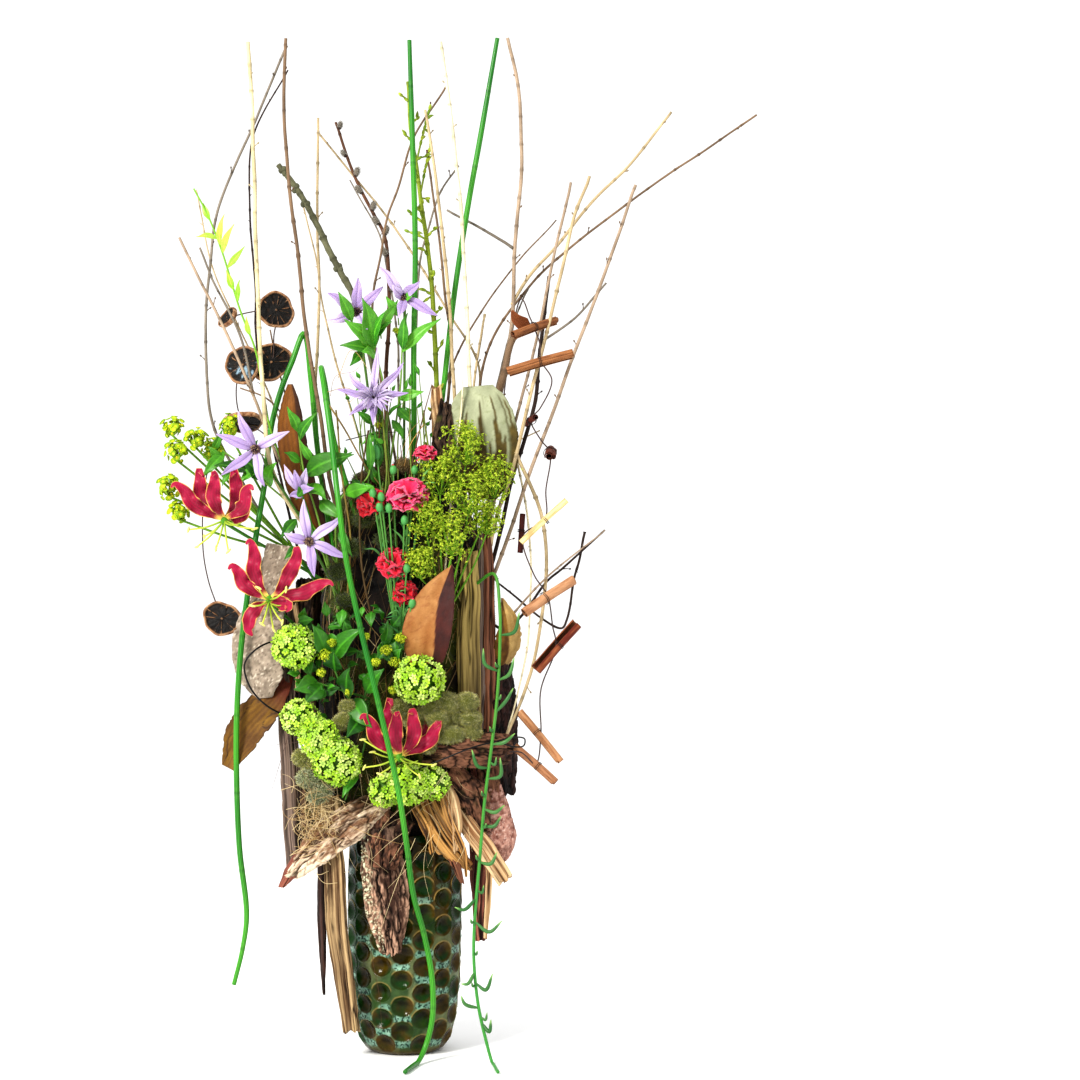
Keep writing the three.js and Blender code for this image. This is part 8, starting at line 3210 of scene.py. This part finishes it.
def raffia_nest():
    """Curled fibres in a nest over the left collar, and thin loose ones round the vase's neck."""
    shape = Shape()
    random = np.random.default_rng(811)
    for _ in range(NEST_FIBRES):
        px, py = random.normal(*NEST_ACROSS), random.normal(*NEST_DOWN)
        depth = random.uniform(-98, -78)
        turn = random.uniform(0, math.pi)
        reach = random.uniform(8, 24)
        a = np.array(place_at(px, py, depth))
        lean = np.array([math.cos(turn), random.uniform(-0.3, 0.2), math.sin(turn)])
        bow = np.array([-math.sin(turn), -0.4, math.cos(turn)]) * random.uniform(-9, 9)
        points = [
            a - lean * reach, a - lean * reach * 0.3 + bow, a + lean * reach * 0.4 + bow * 0.9,
            a + lean * reach,
        ]
        fibre(
            shape,
            points,
            random.uniform(0.28, 0.6),
            mix(RAFFIA_TONES[0], RAFFIA_TONES[1], random.random() ** 1.3),
        )
    for _ in range(NECK_FIBRES):
        px, py = random.uniform(*NECK_ACROSS), random.uniform(*NECK_DOWN)
        a = np.array(place_at(px, py, random.uniform(-102, -84)))
        turn = random.uniform(-2.6, -0.4)
        reach = random.uniform(16, 52)
        end = a + np.array([math.cos(turn) * reach, -4.0, math.sin(turn) * reach])
        middle = (a + end) / 2 + random.normal(0, 3, 3)
        fibre(
            shape, [a, middle, end], random.uniform(0.25, 0.45),
            mix(RAFFIA_TONES[0], rgb("5a3f22"), random.random()),
        )
    for points, radius, tone in (
        (((17, -92, 263), (-3, -98, 215), (-24, -92, 154)), 0.4, RAFFIA_TONES[0]),
        (((39, -94, 268), (14, -100, 236), (-15, -94, 205)), 0.35, RAFFIA_TONES[0]),
        (((34, -92, 277), (27, -98, 229), (34, -92, 191)), 0.3, RAFFIA_TONES[0]),
        (((-59, -98, 278), (-24, -100, 264), (9, -96, 255)), 0.4, rgb("b89a6a")),
        (((-38, -98, 192), (-34, -98, 134), (-24, -96, 76), (-22, -94, 38)), 0.45, rgb("5a3f22")),
        (((-132, -60, 387), (-143, -66, 349), (-153, -64, 316)), 0.5, rgb("6b5450")),
        (((-120, -66, 373), (-138, -66, 371), (-156, -60, 368)), 0.4, rgb("6b5450")),
        (((-158, -60, 210), (-148, -68, 228), (-138, -70, 237)), 0.3, rgb("8a7466")),
        (((-77, -40, 802), (-60, -52, 834), (-43, -56, 815), (-29, -60, 784)), 0.5, rgb("c7a878")),
        (((-91, -40, 785), (-64, -54, 789), (-36, -60, 772), (-8, -56, 780)), 0.5, rgb("b8946a")),
        (((-65, -44, 771), (-47, -60, 784), (-21, -62, 789), (-15, -58, 770)), 0.4, rgb("d8bf94")),
        (((-86, -44, 780), (-79, -52, 803), (-55, -56, 810), (-43, -48, 832)), 0.4, rgb("a0805a")),
        (((25, -50, 747), (9, -60, 721), (2, -58, 697)), 0.7, rgb("c9a46a")),
        (((21, -48, 752), (8, -58, 735), (-8, -56, 692)), 0.4, rgb("b08a5a")),
        (((-68, -40, 728), (-36, -50, 735), (-3, -46, 738)), 0.9, rgb("2a2220")),
        (((-92, -36, 776), (-68, -52, 740), (-43, -58, 697), (-12, -54, 657)), 1.6, rgb("8f7a4f")),
    ):
        fibre(shape, points, radius, tone)
    make("raffia_nest", shape, "raffia")


raffia_nest()


def tufts_at(name, spots, tones, slot, seed, size):
    """Short leaning threads in clumps."""
    shape = Shape()
    random = np.random.default_rng(seed)
    thread = spike(0.5, 5.0)
    for centre, radius, count in spots:
        centre = np.array(centre, float)
        d = unit(spread(count) + random.normal(0, 0.2, (count, 3)))
        places = centre + d * radius * random.uniform(0.7, 1.0, (count, 1)) * (1.1, 0.7, 0.8)
        # Painted shade: the clump's core is a darkened copy of the threads' colour.
        ball(
            shape, centre, (radius * 0.9, radius * 0.6, radius * 0.7), tones[0] * 0.5, 12, 16,
            lambda d: 0.15 * fbm(d * 3, 1.0, 2, seed),
        )
        tone = mix(tones[0], tones[1], random.random(count))
        outs = unit(d + random.normal(0, 0.45, (count, 3)) + np.array([0, -0.2, 0.1]))
        # Painted shade: each thread is darker at its root than at its tip.
        tints = mix(tone[:, None] * 0.5, tone[:, None], np.array([[0, 0, 0, 1.0]]) * np.ones((count, 1)))
        stamp(
            shape, thread, SPIKE_FACES, tints, facing(outs, random.uniform(0, 6, count)), places,
            random.uniform(0.5, 1.0, count) * size,
        )
    make(name, shape, slot)


tufts_at(
    "grey_moss",
    [
        ((-107, -84, 332), 13, 900),
        ((-97, -84, 311), 11, 700),
        ((-77, -86, 375), 9, 500),
        ((-91, -84, 318), 10, 500),
    ],
    (rgb("b0b88a"), rgb("eef0cc")), "moss", 821, 1.3,
)
tufts_at(
    "green_moss",
    [
        ((-59, -62, 601), 15, 700),
        ((-75, -62, 572), 14, 600),
        ((-47, -58, 634), 12, 500),
        ((0, -62, 551), 12, 500),
        ((-67, -62, 539), 12, 500),
        ((-3, -58, 657), 11, 400),
        ((-21, -62, 610), 12, 400),
    ],
    (rgb("55641c"), rgb("98a23c")), "moss", 823, 1.0,
)
tufts_at(
    "roots_moss",
    [
        ((-44, -44, 681), 13, 500),
        ((-22, -46, 690), 14, 500),
        ((1, -42, 698), 13, 500),
        ((-60, -46, 667), 12, 400),
        ((20, -40, 693), 12, 400),
    ],
    (rgb("8a7444"), rgb("dccb94")), "moss", 825, 0.8,
)


COLUMN_FIBRES = 520


def column_fibres():
    """Torn fibres, dark and straw-coloured, all over the front of the moss column."""
    shape = Shape()
    random = np.random.default_rng(831)
    for _ in range(COLUMN_FIBRES):
        turn, z = -math.pi / 2 + random.uniform(-1.25, 1.25), random.uniform(*GROWN)
        reach = random.uniform(8, 30)
        lean = random.normal(0, 0.35)
        spots = []
        for share in (-1, -0.3, 0.4, 1):
            at = column_surface(np.array(turn + lean * share * reach / 90), np.array(z + share * reach))
            spots.append(at + np.array([0, -random.uniform(0.5, 4.5), 0]))
        fibre(
            shape,
            spots,
            random.uniform(0.3, 0.9),
            mix(
                mix(RAFFIA_TONES[1], rgb("2c1c10"), random.random()), RAFFIA_TONES[0], random.random() ** 3,
            ),
        )
    make("column_fibres", shape, "raffia")


column_fibres()


# In pixels of the photo: where the thin stems start
THIN_STEMS = 34
STEMS_ACROSS = (346, 426)
STEMS_DOWN = (470, 520)


def thin_stems():
    """Thin green and brown stems that stand up out of the column's top."""
    shape = Shape()
    random = np.random.default_rng(841)
    for k in range(THIN_STEMS):
        px, py = random.uniform(*STEMS_ACROSS), random.uniform(*STEMS_DOWN)
        depth = random.uniform(-66, -34)
        top = (px + random.normal(0, 9), py - random.uniform(40, 112))
        a, b = np.array(place_at(px, py, depth)), np.array(place_at(*top, depth + 4))
        tone = mix(rgb("3c6a2c"), rgb("8a9a4a"), random.random()) if k % 3 else rgb("6b5236")
        tube(shape, spline([a, (a + b) / 2 + random.normal(0, 3, 3), b], 4), [1.1, 0.9, 0.5], tone, 6)
        if k % 3:
            leaf(
                shape,
                b,
                b + np.array([random.normal(0, 7), -4.0, random.uniform(5, 16)]),
                random.uniform(3.5, 7),
                LEAF_TONES["leaves_left"],
                860 + k,
                columns=7,
            )
    make("thin_stems", shape, "green_stem")


thin_stems()


# ---------------------------------------------------------------- the stage, the lights and the camera
FLOOR_REACH = 30.0  # metres
FLOOR_WHITE = (0.98, 0.98, 0.98, 1)
SKY_WHITE = (1.0, 1.0, 1.0, 1)
SKY_STRENGTH = 0.98


def stage():
    """The pale floor, the even sky and the way the picture is toned."""
    mesh = bpy.data.meshes.new("floor")
    corners = [(x * FLOOR_REACH, y * FLOOR_REACH, 0) for x, y in ((-1, -1), (1, -1), (1, 1), (-1, 1))]
    mesh.from_pydata(corners, [], [(0, 1, 2, 3)])
    floor = bpy.data.objects.new("floor", mesh)
    bpy.context.scene.collection.objects.link(floor)
    material, _, shader = wire_up("pale_floor")
    shader.inputs["Base Color"].default_value = FLOOR_WHITE
    shader.inputs["Roughness"].default_value = 0.6
    mesh.materials.append(material)
    world = bpy.data.worlds.new("studio")
    world.use_nodes = True
    background = world.node_tree.nodes["Background"]
    background.inputs["Color"].default_value = SKY_WHITE
    background.inputs["Strength"].default_value = SKY_STRENGTH
    bpy.context.scene.world = world
    view = bpy.context.scene.view_settings
    view.view_transform = "Standard"
    view.look = "Medium High Contrast"


KEY_PLACE = (-1.7, -2.3, 2.3)
KEY_TARGET = (0, 0, 0.6)
KEY_SIZE = 0.8
KEY_POWER = 118
KEY_COLOUR = (1.0, 0.97, 0.92)


def light(name, place, target, size, power, colour):
    """An area light at a place, turned towards its target."""
    data = bpy.data.lights.new(name, "AREA")
    data.shape = "DISK"
    data.size = size
    data.energy = power
    data.color = colour
    lamp = bpy.data.objects.new(name, data)
    lamp.location = place
    aim = np.array(target) - np.array(place)
    lamp.rotation_mode = "QUATERNION"
    lamp.rotation_quaternion = Vector(aim).to_track_quat("-Z", "Y")
    bpy.context.scene.collection.objects.link(lamp)


def camera():
    """The camera, level and as far away as the photo's."""
    data = bpy.data.cameras.new("camera")
    data.sensor_width = SENSOR
    data.lens = LENS
    data.clip_end = FAR_CLIP
    eye = bpy.data.objects.new("camera", data)
    eye.location = [v * METRE for v in EYE]
    eye.rotation_euler = (math.pi / 2, 0, 0)
    bpy.context.scene.collection.objects.link(eye)
    bpy.context.scene.camera = eye


stage()
light("key", KEY_PLACE, KEY_TARGET, KEY_SIZE, KEY_POWER, KEY_COLOUR)
camera()
